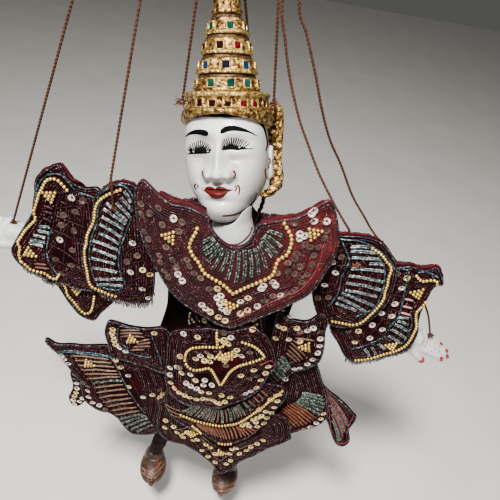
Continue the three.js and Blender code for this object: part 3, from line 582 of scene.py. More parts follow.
hr, hl = H(-30, 0, 36), H(30, 0, 36)
STRINGS = {
    "string_hand_r": ([(-74, 0, HANG), (-170.1, -0.26, 318.32)], "hand_string_r", "taut"),
    "string_elbow_r": ([(-58, 0, HANG), (-86, -23, 397), (-86, -27.4, 387), (-86, -26, 364)], "elbow_string_r", "taut"),
    "string_head_r": ([(-38, 0, HANG), (hr[0] - 0.6, hr[1], hr[2] + 0.6)], "figure", "taut"),
    "string_back": ([(-26, 0, HANG), (-24.5, 15, 540), (-22.6, 30, 499), (-18.8, 41, 476), (-14.5, 51, 450), (-9, 60, 425), (-6, 54, 380), (-4, 43, 330), (-4, 39.6, 303)], "figure", "hanging"),
    "string_head_l": ([(-14, 0, HANG), (hl[0] + 0.6, hl[1], hl[2] + 0.8)], "figure", "taut"),
    "string_elbow_l": ([(4, 0, HANG), (0.6, 1, 545), (0.6, 2, 499.2), (5.8, 3, 479), (12.6, 3, 458.5), (22.6, 0, 436.4), (30.6, -3, 423.1), (41.6, -9, 406.5), (54, -17, 392), (64, -20, 380.5), (69.6, -19.4, 373.4), (69.2, -17.7, 368)], "elbow_string_l", "hanging"),
    "string_hand_l": ([(18, 0, HANG), (10.5, 1, 548), (9.5, 2, 501), (17.4, 4, 483.4), (27.2, 5, 462.1), (36.2, 8, 440.7), (46.5, 12, 420.2), (58.7, 15, 402.3), (73, 18, 379), (87, 20.5, 361.5), (99.3, 21.6, 347), (124, 20, 325), (146, 12, 305), (157, 4, 293), (167.01, -0.27, 270.37)], "hand_string_l", "hanging"),
}
CORDS = {}
for name, (pts, body, lay) in STRINGS.items():
    path = path_mm(pts, 0.5)
    v, f = sweep(path, 0.00098, sides=10, lobes=2, depth=0.42, pitch=0.0050)
    o = obj_from("cord_" + name, v, f, STRING)
    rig.ride(o, body) if body != "figure" else None
    CORDS[name] = o
    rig.replaces(o, name)
    L = sum((b - a).length for a, b in zip(path[:-1], path[1:]))
    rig.cord(o, exit=tuple(path[0]), length=round(L, 4), diameter=0.0018, far_end="object", stiffness="limp", lay=lay, path=[tuple(p) for p in path[::6]] + [tuple(path[-1])])
    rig.slot(o, "string")
BEND = {"string_hand_r": ("shoulder_r", 0.692), "string_hand_l": ("shoulder_l", 0.774), "string_elbow_r": ("shoulder_r", 0.917), "string_elbow_l": ("shoulder_l", 0.950)}
for n, (joint, keep) in BEND.items():
    p0, p1 = T(*STRINGS[n][0][0]), T(*STRINGS[n][0][-1])
    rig.squash(CORDS[n], joint, tuple(p1 - p0), tuple(p0), keep)
for n in ("string_head_r", "string_head_l"):
    p0, p1 = T(*STRINGS[n][0][0]), T(*STRINGS[n][0][-1])
    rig.blend(CORDS[n], "figure", "neck", tuple(p0), tuple(p1))
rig.ride(CORDS["string_back"], "figure")
S0 = lambda y: (y, 0.0, 0.0, 0.0, 0.0)
OUT = {
    "collar": [[-66, 393], [-61, 391], [-55, 387], [-46, 383], [-35, 383], [-23, 380], [-20, 373], [-12, 365], [-3, 362], [4, 367], [8, 380], [14, 383], [21, 385], [30, 388], [38, 393], [45, 399], [49, 401], [54, 395], [60, 381], [63, 368], [62, 356], [58, 344], [54, 332], [47, 324], [36, 316], [24, 308], [12, 300], [2, 295], [-7, 296], [-17, 300], [-28, 305], [-39, 312], [-49, 323], [-59, 339], [-66, 354], [-70, 368], [-71, 381], [-69, 389]],
    "apron_star": [[-40, 275], [-19, 288], [1, 291], [17, 297], [29, 291], [36, 279], [42, 258], [38, 247], [35, 230], [25, 214], [13, 204], [5, 198], [-7, 195], [-16, 193], [-27, 195], [-38, 202], [-42, 221], [-42, 245]],
    "apron_fan": [[-41, 200], [-30, 226], [33, 232], [54, 228], [58, 217], [56, 206], [50, 188], [44, 168], [34, 150], [20, 139], [4, 141], [-7, 148], [-20, 154], [-35, 164], [-42, 182]],
    "apron_point": [[-47, 164], [-38, 182], [54, 186], [74, 152], [72, 144], [63, 136], [52, 125], [37, 106], [19, 78], [6, 94], [-8, 110], [-20, 117], [-32, 116], [-42, 121], [-48, 138]],
    "wing_upper_r": [[-91, 263], [-87, 265], [-76, 262], [-64, 262], [-45, 264], [-40, 239], [-42, 212], [-60, 214], [-74, 218], [-84, 221], [-90, 227], [-92, 237], [-94, 250]],
    "wing_long_r": [[-145, 221], [-143, 227], [-135, 223], [-119, 225], [-95, 230], [-76, 229], [-56, 232], [-42, 200], [-38, 160], [-40, 135], [-45, 118], [-55, 108], [-69, 105], [-77, 110], [-87, 126], [-94, 133], [-104, 136], [-116, 148], [-119, 163], [-120, 178], [-128, 193], [-136, 210]],
    "wing_upper_l": [[34, 300], [44, 299], [57, 300], [65, 309], [70, 307], [73, 300], [73, 290], [76, 274], [76, 257], [69, 247], [58, 238], [54, 226], [44, 212], [38, 240]],
    "wing_long_l": [[44, 262], [68, 258], [77, 247], [86, 227], [95, 205], [101, 183], [96, 168], [85, 157], [70, 147], [55, 148], [46, 192]],
    "tail_l": [[80, 228], [92, 215], [105, 204], [122, 188], [128, 180], [127, 160], [132, 143], [129, 132], [121, 134], [112, 150], [102, 172], [87, 192]],
    "sleeve_front_r": [[-99, 370], [-93, 378], [-84, 384], [-77, 385], [-68, 381], [-61, 374], [-58, 330], [-59, 286], [-73, 278], [-86, 279], [-96, 282], [-105, 287], [-110, 303], [-111, 318], [-108, 332], [-104, 345], [-101, 358]],
    "cuff_front_r": [[-121, 388], [-116, 378], [-107, 373], [-97, 374], [-93, 360], [-92, 300], [-95, 284], [-105, 280], [-120, 280], [-131, 283], [-138, 281], [-147, 289], [-157, 294], [-163, 302], [-164, 310], [-158, 322], [-150, 336], [-143, 349], [-141, 360], [-138, 374], [-130, 383]],
    "flap_r": [[-133, 288], [-92, 292], [-88, 274], [-101, 253], [-108, 243], [-120, 248], [-130, 265]],
    "sleeve_front_l": [[54, 370], [64, 372], [73, 374], [83, 374], [93, 371], [102, 362], [108, 353], [111, 342], [112, 329], [112, 318], [108, 306], [101, 295], [89, 288], [77, 289], [66, 296], [56, 320], [54, 347]],
    "cuff_front_l": [[97, 351], [109, 351], [118, 354], [129, 352], [136, 356], [146, 342], [141, 337], [140, 318], [142, 303], [146, 288], [143, 269], [130, 259], [116, 250], [108, 246], [98, 252], [89, 266], [78, 284], [82, 312]],
    "sleeve_back_r": [[-60, 344], [-82, 344], [-106, 334], [-111, 318], [-110, 303], [-105, 289], [-86, 281], [-60, 284]],
    "sleeve_back_l": [[56, 342], [84, 341], [106, 326], [112, 314], [108, 304], [101, 295], [89, 290], [66, 296], [56, 320]],
    "cuff_back_r": [[-95, 344], [-122, 344], [-138, 328], [-152, 314], [-161, 303], [-150, 292], [-131, 284], [-97, 284]],
    "cuff_back_l": [[96, 328], [128, 328], [136, 314], [142, 290], [140, 270], [128, 260], [108, 250], [96, 256], [86, 284]],
    "collar_back": [[-60, 334], [-42, 339], [-27, 349], [-2, 349], [12, 337], [30, 332], [54, 334], [58, 320], [42, 306], [0, 292], [-46, 306], [-62, 320]],
    "back_panel": [[-48, 300], [46, 300], [54, 230], [66, 150], [36, 112], [0, 92], [-38, 112], [-68, 150], [-56, 230]],
}
OUT["tail_r"] = [[-x - 2, z - 2] for x, z in OUT["tail_l"]]
SURF = {
    "collar": (-42, 0.0022, -3, 0.10, 345), "apron_star": (-47, 0.002, 3, 0, 0), "apron_fan": (-43, 0.0018, 8, 0, 0), "apron_point": (-39, 0.0012, 10, 0, 0),
    "wing_upper_r": S0(-31), "wing_long_r": S0(-27.5), "wing_upper_l": S0(-33), "wing_long_l": S0(-28.5), "tail_l": S0(-24), "tail_r": S0(-22.5),
    "sleeve_front_r": S0(-22.5), "sleeve_front_l": S0(-22.5), "cuff_front_r": S0(-18.5), "cuff_front_l": S0(-18.5), "flap_r": S0(-14.5),
    "sleeve_back_r": S0(14), "sleeve_back_l": S0(14), "cuff_back_r": S0(10), "cuff_back_l": S0(10),
    "collar_back": (36.5, -0.002, -3, 0, 0), "back_panel": (32, -0.0024, 0, 0, 0),
}
BODY = {"apron_star": "apron", "apron_fan": "apron", "apron_point": "apron",
        "sleeve_front_r": "upper_arm_r", "sleeve_back_r": "upper_arm_r", "cuff_front_r": "forearm_r", "cuff_back_r": "forearm_r", "flap_r": "forearm_r",
        "sleeve_front_l": "upper_arm_l", "sleeve_back_l": "upper_arm_l", "cuff_front_l": "forearm_l", "cuff_back_l": "forearm_l"}
BACKS = ("sleeve_back_r", "sleeve_back_l", "cuff_back_r", "cuff_back_l", "collar_back", "back_panel")

DECO = {
    "collar": [
        ("beads", [[[-28.5, 370.4], [-29.1, 367.1], [-30.2, 364.1], [-31.5, 360.0], [-32.1, 356.0], [-30.6, 352.6], [-28.8, 349.2], [-26.2, 347.1], [-24.2, 344.2], [-22.3, 341.3], [-20.4, 338.6], [-17.5, 337.0], [-14.6, 335.4], [-11.2, 334.3], [-7.8, 332.7], [-4.0, 329.9], [0.1, 326.2], [3.0, 328.5], [6.0, 331.2], [8.9, 333.4], [11.8, 335.6], [15.2, 338.2], [18.6, 340.6], [22.0, 343.1], [24.1, 346.6], [24.4, 350.9], [25.1, 356.6], [27.6, 359.3], [30.2, 361.9], [31.0, 367.1], [31.0, 371.7], [29.7, 376.0], [26.6, 380.4], [24.2, 383.3]]]),
        ("cord:mauve", [[[-25.0, 367.6], [-25.8, 362.1], [-23.7, 355.0], [-20.7, 349.1], [-17.8, 344.1], [-12.0, 339.7], [-8.0, 338.1], [-3.8, 335.4], [0.5, 332.3], [4.8, 336.3], [9.1, 339.7], [14.2, 343.3], [18.6, 345.7], [21.1, 350.0], [21.8, 356.8], [25.1, 361.6], [27.5, 368.4], [26.3, 374.7], [23.0, 380.1]]]),
        ("cord:mauve", [[[-24.9, 375.4], [-23.0, 370.7], [-18.7, 365.4], [-13.6, 361.3], [-6.9, 359.4], [-0.5, 360.1], [4.6, 363.0], [8.9, 367.7], [11.1, 373.8], [12.3, 380.2]]]),
        ("bars:green", [[[-18.0, 367.2], [-24.4, 361.6]], [[-16.4, 365.2], [-23.8, 356.1]], [[-13.8, 362.8], [-21.8, 352.7]], [[-12.5, 361.0], [-19.4, 348.0]], [[-10.4, 359.6], [-15.9, 342.1]], [[-7.4, 359.3], [-10.3, 341.3]], [[-4.1, 358.9], [-5.1, 337.1]], [[-0.4, 359.6], [0.7, 335.1]], [[2.9, 360.7], [5.8, 338.3]], [[6.1, 362.2], [10.2, 341.6]], [[9.3, 363.7], [14.7, 344.6]], [[11.3, 365.9], [19.0, 348.8]], [[11.7, 368.8], [21.2, 358.8]], [[12.1, 371.9], [24.1, 360.9]], [[13.3, 374.3], [25.8, 366.9]], [[15.0, 377.3], [25.4, 374.8]]]),
        ("cord:mauve", [[[-62.5, 378.8], [-58.1, 375.9], [-52.1, 372.7], [-46.2, 369.9], [-38.6, 368.9], [-33.3, 370.4], [-33.8, 365.2]]]),
        ("cord:mauve", [[[-62.5, 378.8], [-62.9, 372.2], [-60.9, 364.0], [-57.0, 355.7], [-52.2, 349.6], [-47.3, 344.8], [-41.8, 347.5], [-35.3, 352.1], [-31.6, 355.9]]]),
        ("cord:mauve", [[[-46.0, 344.5], [-44.5, 337.5], [-40.0, 330.2], [-34.0, 324.9], [-26.7, 321.4], [-21.8, 322.2], [-18.5, 330.5]]]),
        ("cord:mauve", [[[-19.3, 327.3], [-20.3, 319.7], [-16.9, 313.7], [-11.3, 308.7], [-4.2, 304.1], [3.2, 304.9], [9.3, 311.9], [16.2, 318.4], [23.5, 328.0]]]),
        ("cord:mauve", [[[22.8, 340.3], [25.8, 334.0], [30.2, 333.8], [36.4, 337.0], [41.0, 343.2], [44.1, 351.4], [44.3, 358.5], [42.4, 362.9], [37.3, 365.7]]]),
        ("cord:mauve", [[[36.7, 366.4], [42.3, 364.3], [46.3, 367.4], [48.6, 372.9], [49.1, 380.4], [47.9, 387.6], [45.4, 391.3]]]),
        ("cord:mauve", [[[24.2, 378.6], [24.4, 383.6], [30.1, 381.1], [36.9, 382.9], [40.7, 386.4], [41.1, 390.3]]]),
        ("cord:mauve", [[[-69.9, 375.4], [-70.4, 365.8], [-67.6, 357.2], [-63.3, 349.0], [-58.2, 341.9], [-52.6, 333.5], [-45.8, 322.8], [-37.4, 316.4], [-29.8, 311.3], [-20.1, 305.2], [-10.4, 300.5], [-1.0, 298.3]]]),
        ("cord:red", [[[52.6, 376.3], [52.1, 367.6], [52.5, 358.7], [51.0, 348.3], [47.8, 338.8], [42.8, 332.0], [35.4, 327.4], [26.5, 321.8], [17.0, 313.2], [7.2, 305.3]]]),
        ("seq:smoke", [[-65.8, 376.3], [-54.1, 377.7], [-59.4, 371.9], [-65.1, 369.1], [-38.2, 372.4], [-62.6, 357.5], [-40.0, 365.3], [-59.4, 352.6], [-47.4, 351.1], [-51.4, 343.0], [-50.2, 337.6], [-47.3, 331.6], [-44.1, 327.4], [-42.4, 342.8], [-39.5, 337.4], [-32.7, 346.1], [-30.5, 341.3], [-22.5, 334.2], [-27.2, 337.0], [-15.9, 326.9], [22.3, 323.3], [26.9, 328.0], [26.4, 347.1], [31.9, 355.5], [35.8, 359.2], [36.0, 363.1], [33.2, 348.8], [37.9, 346.8], [40.5, 352.7], [42.2, 344.4], [47.6, 355.0], [47.5, 362.0], [49.3, 368.4], [46.5, 347.1], [44.5, 340.2], [40.4, 334.4], [35.7, 330.9], [30.6, 384.9], [51.6, 380.5], [51.0, 375.2], [40.1, 370.2], [43.7, 368.6], [-50.8, 366.9]]),
        ("seq:silver", [[-43.9, 373.0], [-37.8, 332.4], [-34.5, 328.3], [-9.7, 320.4], [-7.5, 322.8], [-19.7, 311.7], [-16.4, 308.7], [-1.6, 309.9], [6.1, 320.5], [18.0, 317.9], [31.6, 329.0], [18.2, 333.2], [19.2, 336.0], [24.9, 339.3], [27.2, 336.9], [35.3, 377.6], [35.7, 374.2], [38.3, 376.5], [39.5, 391.7], [40.6, 393.5], [41.9, 387.1], [50.0, 387.2], [-5.2, 311.8], [-7.2, 316.0]]),
        ("seq:gold", [[-10.6, 328.2], [-12.9, 306.7], [-7.0, 303.5], [-1.9, 301.3], [-4.7, 318.1], [10.7, 324.2], [7.6, 309.7], [12.0, 313.4]]),
        ("flower", [[-45.5, 359.6], [43.8, 378.6], [-0.3, 315.3]]),
    ],
    "apron_star": [
        ("beads", [[[-27.2, 250.8], [-26.9, 258.0], [-25.4, 263.2], [-22.1, 267.5], [-17.7, 269.7], [-11.8, 272.1], [-5.9, 273.3], [-1.5, 274.2], [0.1, 277.9], [-3.8, 281.3]], [[-4.8, 276.6], [-6.0, 283.6], [-6.1, 288.7], [-5.5, 292.3]], [[12.7, 282.9], [17.8, 281.6], [23.2, 278.7], [27.7, 274.1], [30.8, 268.3], [26.3, 264.6], [21.2, 261.6], [16.0, 258.3], [11.5, 254.2], [8.1, 248.3], [5.5, 239.4], [2.8, 230.2], [0.2, 234.7], [-2.6, 240.7], [-5.2, 245.6], [-8.6, 248.4], [-13.5, 244.9], [-18.6, 242.6], [-23.0, 243.5], [-25.8, 246.8]]]),
        ("cord:mauve", [[[-28.6, 248.6], [-29.3, 256.3], [-27.8, 264.6], [-22.9, 271.0], [-16.1, 274.0], [-10.2, 275.4], [-8.9, 281.4], [-9.3, 287.0], [-7.0, 293.3], [-1.6, 296.2], [3.3, 295.9], [7.9, 289.9], [9.2, 283.7], [12.9, 288.7], [17.0, 290.5], [22.7, 288.2], [29.0, 279.5], [33.6, 269.3]]]),
        ("cord:mauve", [[[-28.6, 248.6], [-27.0, 242.8], [-21.6, 239.5], [-13.1, 240.4], [-7.0, 243.1], [-3.0, 234.2], [2.2, 225.2], [7.4, 236.0], [12.3, 247.9], [21.5, 256.0], [29.0, 260.2], [33.6, 269.3]]]),
        ("cord:mauve", [[[-41.3, 244.8], [-41.1, 226.6], [-39.2, 214.4], [-31.5, 204.3], [-24.2, 200.1], [-16.2, 197.5], [-8.3, 197.5], [-0.6, 199.4], [7.0, 201.4], [13.2, 206.0], [18.2, 210.2], [25.1, 215.7], [30.7, 223.6], [36.5, 239.5], [38.3, 257.1]]]),
        ("cord:red", [[[38.3, 257.1], [40.3, 259.9], [37.0, 264.2], [33.8, 262.3], [29.3, 258.7]]]),
        ("cord:mauve", [[[-36.9, 243.5], [-35.7, 230.7], [-32.4, 220.1], [-25.4, 216.0], [-17.5, 213.7], [-9.6, 212.8], [-2.0, 213.4], [5.1, 218.8], [11.2, 222.0], [19.0, 228.8], [26.4, 236.8], [31.0, 247.4], [33.6, 257.5]]]),
        ("cord:mauve", [[[-32.5, 316.0], [-30.2, 303.8], [-27.8, 289.6], [-25.3, 276.1]], [[-23.5, 316.5], [-20.0, 303.2], [-15.8, 287.9], [-11.2, 276.3]], [[-44.2, 310.3], [-41.5, 295.4], [-39.2, 278.0], [-36.7, 261.0]], [[-37.5, 312.9], [-35.1, 296.5], [-32.1, 279.4], [-29.9, 268.4]], [[6.1, 303.4], [11.7, 290.7]], [[15.3, 311.9], [13.6, 300.8], [12.6, 290.8]], [[26.5, 317.6], [25.0, 304.0], [24.4, 289.9], [22.7, 288.2]], [[34.4, 322.4], [32.6, 309.0], [31.5, 293.6], [32.0, 279.1]]]),
        ("seq:silver", [[-27.5, 306.7], [-18.9, 312.2], [-14.7, 309.9], [-15.4, 298.1], [-11.9, 291.2], [-30.0, 279.0], [2.9, 293.3], [4.0, 285.7], [19.2, 301.5], [35.1, 317.3], [30.7, 309.5], [-15.9, 260.4], [14.2, 268.2], [-38.2, 236.4], [-37.8, 228.1], [-32.9, 239.5], [-21.8, 235.6], [-15.7, 219.7], [-20.3, 221.2], [-24.3, 223.5], [-10.1, 232.9], [-10.6, 226.4], [-4.0, 227.9], [23.3, 222.3], [27.0, 226.4]]),
        ("seq:gold", [[-26.0, 299.6], [-23.9, 294.4], [-11.8, 307.0], [-5.3, 304.1], [0.0, 301.4], [-19.5, 279.5], [18.2, 295.6], [36.1, 303.2], [36.9, 290.6], [-0.5, 282.5], [3.1, 279.1], [-19.1, 255.7], [-12.4, 256.0], [-8.3, 262.0], [-8.3, 256.0], [9.9, 274.2], [8.9, 267.9], [-36.8, 218.5], [-33.1, 212.7], [-29.3, 209.0], [-24.6, 206.9], [-20.0, 205.5], [-14.6, 205.6], [-9.6, 208.1], [-5.2, 208.7], [-0.9, 208.2], [4.4, 205.5], [8.4, 208.7], [12.0, 215.3], [4.8, 216.6], [-5.2, 217.8], [-11.6, 216.7], [-28.8, 234.6], [30.4, 231.2], [32.6, 240.9], [34.9, 249.4], [35.6, 257.7], [25.5, 253.0], [16.8, 245.1], [-31.1, 254.0], [-17.1, 230.0], [2.1, 206.2]]),
        ("seq:smoke", [[40.1, 299.3], [-1.4, 288.9], [-11.3, 265.7], [19.6, 272.9], [4.2, 254.7], [28.7, 246.0], [23.4, 242.8], [5.7, 306.7], [-31.9, 299.8], [-46.5, 253.5], [-30.7, 239.6], [23.0, 310.5], [10.6, 305.7]]),
        ("flower", [[2.3, 262.5], [-0.9, 264.0], [4.8, 267.0]]),
    ],
    "apron_fan": [
        ("bars:green", [[[-15.8, 190.4], [-25.4, 176.0]], [[-11.6, 190.7], [-18.8, 174.5]], [[-6.1, 191.1], [-11.5, 172.8]], [[-2.4, 190.7], [-5.3, 171.8]], [[2.2, 190.8], [0.7, 171.3]], [[7.1, 191.5], [9.8, 171.8]], [[12.8, 194.1], [17.3, 176.3]], [[17.2, 197.4], [22.5, 182.4]], [[20.0, 201.5], [27.4, 187.2]], [[23.4, 205.3], [32.1, 194.2]]]),
        ("bars:brown", [[[-13.5, 190.7], [-21.8, 175.6]], [[-8.8, 190.9], [-15.1, 173.5]], [[-4.2, 190.9], [-8.4, 172.3]], [[-0.1, 190.7], [-2.4, 171.1]], [[4.6, 191.1], [5.2, 171.0]], [[10.0, 192.7], [13.7, 173.6]], [[15.1, 195.7], [20.1, 179.5]], [[18.7, 199.3], [25.0, 184.8]], [[26.9, 208.7], [34.8, 200.4]], [[30.5, 214.5], [37.3, 206.0]], [[33.1, 218.8], [39.8, 211.3]], [[35.1, 223.6], [42.4, 215.8]]]),
        ("beads", [[[-26.3, 171.2], [-19.6, 170.0], [-13.5, 168.4], [-6.3, 167.9], [0.9, 167.2], [7.9, 167.6], [15.8, 170.8], [22.3, 175.0], [27.4, 180.6], [32.1, 188.3], [35.8, 193.7], [40.4, 201.0], [43.7, 207.9], [46.3, 212.8], [48.8, 217.5], [52.6, 223.7]]]),
        ("bars:orange", [[[-12.0, 164.4], [-5.2, 154.6]], [[-9.4, 164.5], [-2.4, 153.0]], [[-6.7, 164.7], [0.2, 151.2]], [[-3.8, 164.0], [3.2, 150.4]], [[-1.2, 163.4], [6.3, 149.1]], [[1.8, 163.3], [8.8, 148.1]], [[5.1, 163.2], [11.6, 147.3]], [[7.9, 163.8], [14.1, 146.8]], [[10.6, 164.5], [16.5, 146.5]], [[13.5, 165.6], [19.4, 147.1]], [[16.3, 167.1], [22.1, 148.5]], [[19.0, 168.8], [25.5, 150.0]], [[22.0, 170.4], [29.1, 151.9]], [[25.0, 167.8], [32.5, 153.7]], [[28.0, 167.3], [35.9, 155.4]], [[30.8, 168.7], [38.9, 157.9]], [[32.9, 170.1], [41.5, 160.3]]]),
        ("beads", [[[-15.2, 158.9], [-8.5, 150.8], [-1.7, 142.7], [5.9, 140.6], [15.8, 139.8], [25.4, 141.7], [34.6, 145.3], [42.6, 149.4], [49.1, 154.2], [52.2, 160.8]]]),
        ("seq:gold", [[27.3, 172.4], [30.4, 175.9], [33.3, 171.8], [35.2, 182.7], [38.1, 178.5], [41.4, 187.3], [43.9, 194.5], [38.5, 185.1], [49.1, 192.8], [46.5, 184.7], [50.0, 200.6], [51.2, 210.2], [51.0, 218.5], [44.9, 176.4], [40.4, 171.3], [45.3, 211.8], [37.9, 196.9], [48.7, 218.1]]),
        ("cord:tan", [[[-52.8, 179.5], [-41.6, 173.8], [-31.7, 170.7], [-26.3, 171.2]], [[-51.4, 172.4], [-41.4, 167.9], [-32.7, 166.1], [-25.5, 167.5]], [[-54.2, 184.6], [-44.3, 180.3], [-35.7, 176.8], [-27.2, 175.8]]]),
        ("cord:mauve", [[[52.4, 227.6], [55.2, 218.7], [54.3, 205.5], [53.6, 189.9], [51.1, 177.7], [48.2, 167.1]]]),
    ],
    "apron_point": [
        ("seq:gold", [[-40.0, 150.6], [-40.2, 139.3], [-32.2, 144.4], [-22.7, 131.7], [-16.8, 138.5], [-13.0, 129.3], [-9.5, 132.7], [-3.6, 115.2], [3.0, 106.4], [11.0, 97.7], [-0.8, 127.1], [3.6, 123.4], [8.7, 114.2], [21.4, 98.2], [24.8, 104.9], [22.6, 117.2], [31.3, 119.0], [37.0, 126.7], [40.2, 132.4], [23.5, 125.4], [27.0, 128.1], [-19.5, 140.8], [-28.7, 137.1], [-13.9, 148.5], [45.2, 138.9], [49.8, 145.1]]),
        ("cord:mauve", [[[-43.2, 150.3], [-43.2, 135.0], [-36.4, 124.7], [-26.0, 123.5], [-15.9, 125.3], [-8.9, 117.3], [0.0, 103.5], [9.0, 91.3], [17.9, 82.1], [24.5, 94.1], [34.4, 108.6], [44.8, 124.8], [55.9, 134.3], [64.6, 141.9]]]),
        ("cord:tan", [[[-35.0, 149.7], [-29.6, 141.2], [-22.4, 146.3], [-16.7, 153.9], [-11.2, 146.1], [-4.3, 137.4], [1.2, 132.4]], [[-6.5, 134.4], [0.5, 126.4], [8.6, 108.6], [15.6, 103.2], [22.1, 114.6], [34.0, 130.2], [44.0, 138.7]]]),
        ("beads", [[[-25.4, 134.0], [-21.3, 139.0], [-17.2, 143.9], [-13.5, 144.2]]]),
        ("flower", [[14.1, 117.0], [-14.8, 140.9]]),
    ],
    "wing_upper_l": [
        ("seq:silver", [[59.1, 290.8], [62.8, 294.3], [70.3, 283.8], [71.6, 276.1], [71.8, 268.4], [69.9, 260.5], [67.2, 253.5], [62.5, 247.7], [58.5, 245.0], [53.9, 230.9], [58.5, 221.3], [65.7, 229.9]]),
        ("seq:smoke", [[54.0, 288.4], [68.5, 291.2], [56.5, 237.3]]),
        ("flower", [[61.5, 273.3]]),
        ("bars:brown", [[[52.0, 281.0], [66.9, 280.7]], [[51.1, 277.7], [64.3, 269.3]], [[49.8, 274.8], [63.6, 262.7]], [[49.3, 271.2], [62.4, 258.4]], [[48.8, 267.1], [60.9, 255.6]], [[48.6, 263.1], [58.5, 254.2]]]),
        ("bars:green", [[[46.0, 258.5], [55.0, 245.0]], [[44.5, 254.9], [53.9, 242.2]], [[43.0, 251.2], [52.6, 238.4]], [[41.6, 247.2], [51.9, 234.4]], [[40.2, 243.0], [50.7, 230.1]], [[39.1, 238.5], [48.6, 226.0]], [[37.9, 233.9], [47.3, 221.2]], [[37.0, 229.0], [45.9, 216.2]]]),
        ("bars:brown", [[[35.9, 224.6], [44.6, 210.4]], [[34.1, 219.6], [42.7, 206.1]], [[32.0, 214.6], [40.5, 200.8]], [[30.0, 209.4], [37.8, 196.2]]]),
        ("cord:mauve", [[[45.7, 292.1], [51.1, 292.6], [58.5, 295.7], [64.8, 300.8]], [[47.9, 283.8], [55.5, 286.3], [62.1, 288.6], [66.4, 285.1], [68.9, 276.6], [68.3, 265.4], [64.2, 254.7], [58.1, 248.3], [54.5, 238.9], [50.0, 221.8], [45.6, 207.8]], [[69.7, 299.0], [73.2, 286.7], [75.4, 275.0], [75.9, 264.1], [74.4, 252.3], [67.0, 242.0], [60.7, 235.2], [59.1, 215.0]]]),
    ],
    "wing_long_l": [
        ("bars:green", [[[71.9, 211.1], [90.1, 209.5]], [[72.0, 207.9], [92.2, 204.8]], [[71.7, 204.7], [94.3, 199.5]], [[71.1, 201.9], [94.9, 194.3]], [[70.3, 199.1], [94.3, 189.5]], [[69.0, 196.8], [93.7, 184.2]]]),
        ("bars:orange", [[[67.0, 195.0], [92.2, 177.6]], [[65.1, 192.9], [90.8, 173.4]], [[63.1, 190.8], [88.4, 170.3]], [[61.7, 188.0], [85.6, 167.4]], [[60.3, 185.2], [82.9, 164.5]], [[59.1, 182.3], [80.1, 162.0]], [[58.2, 179.0], [77.2, 159.7]], [[57.7, 175.1], [74.1, 157.7]], [[57.5, 171.5], [71.0, 156.4]], [[57.5, 167.3], [68.2, 155.0]]]),
        ("seq:gold", [[63.6, 131.7], [69.2, 145.9], [74.2, 149.6], [79.7, 153.3], [84.5, 158.4], [95.7, 178.5], [96.0, 185.9], [66.0, 139.8]]),
        ("seq:silver", [[89.4, 164.1], [93.5, 171.2]]),
        ("cord:mauve", [[[90.7, 226.0], [97.0, 205.1], [102.2, 186.5], [102.2, 174.0], [96.1, 163.7], [86.4, 151.1], [76.0, 140.3], [66.2, 124.7]], [[72.9, 225.2], [76.8, 222.5], [73.3, 218.0], [71.3, 210.9]]]),
    ],
    "tail_l": [
        ("bars:red", [[[93.0, 214.9], [118.7, 195.3]], [[95.1, 207.9], [122.5, 172.4]], [[98.5, 199.0], [122.9, 161.6]], [[102.6, 188.0], [123.9, 148.3]]]),
        ("bars:green", [[[93.8, 212.3], [122.1, 188.0]], [[96.5, 204.3], [123.3, 167.2]], [[100.6, 193.6], [123.4, 155.0]], [[105.4, 180.5], [123.5, 142.5]], [[107.9, 172.7], [121.4, 140.7]]]),
        ("bars:mauve", [[[94.5, 210.0], [122.3, 179.8]], [[104.0, 183.3], [124.0, 143.8]]]),
        ("cord:red", [[[91.9, 216.5], [103.5, 208.1], [115.2, 199.4], [123.6, 188.4], [124.2, 172.8], [125.8, 157.9], [130.4, 145.5], [125.6, 136.7], [117.5, 140.8], [109.5, 160.2], [100.9, 187.6], [91.9, 216.5]]]),
    ],
    "wing_upper_r": [
        ("seq:silver", [[-76.9, 233.0], [-81.8, 235.8]]),
        ("seq:gold", [[-86.8, 256.5], [-87.4, 252.1], [-86.0, 243.3], [-85.0, 238.7], [-54.5, 259.2], [-86.3, 247.7]]),
        ("flower", [[-72.0, 247.9]]),
        ("bars:brown", [[[-81.0, 255.6], [-65.7, 259.1]], [[-81.5, 252.4], [-63.4, 256.0]], [[-81.1, 249.2], [-62.0, 252.5]], [[-66.5, 246.9], [-57.9, 251.2]], [[-67.9, 243.0], [-57.0, 247.8]], [[-71.1, 238.9], [-57.3, 243.5]], [[-73.0, 235.2], [-61.8, 237.9]]]),
        ("cord:teal", [[[-81.8, 260.3], [-73.8, 260.2], [-65.8, 262.3], [-57.7, 262.6]], [[-82.8, 258.1], [-83.4, 247.3], [-81.2, 240.9], [-76.7, 237.9], [-73.0, 231.7], [-65.5, 229.2], [-58.0, 229.5]], [[-56.7, 257.5], [-53.7, 246.1], [-49.6, 233.0], [-47.4, 221.8]]]),
    ],
    "wing_long_r": [
        ("seq:silver", [[-127.6, 199.7], [-126.6, 192.7], [-123.8, 186.9], [-120.0, 181.2], [-112.7, 164.8], [-112.3, 156.2], [-109.2, 148.9], [-103.3, 145.8], [-76.0, 197.0], [-62.8, 169.1], [-132.1, 209.2], [-130.5, 205.1]]),
        ("seq:smoke", [[-116.3, 176.4], [-112.4, 172.4], [-98.2, 140.2], [-94.1, 133.9], [-48.7, 182.2], [-69.6, 215.0]]),
        ("seq:gold", [[-86.5, 214.7], [-82.3, 206.6], [-75.5, 181.3], [-61.4, 216.3], [-54.8, 174.6], [-46.0, 177.5], [-48.4, 171.8]]),
        ("flower", [[-109.6, 204.5]]),
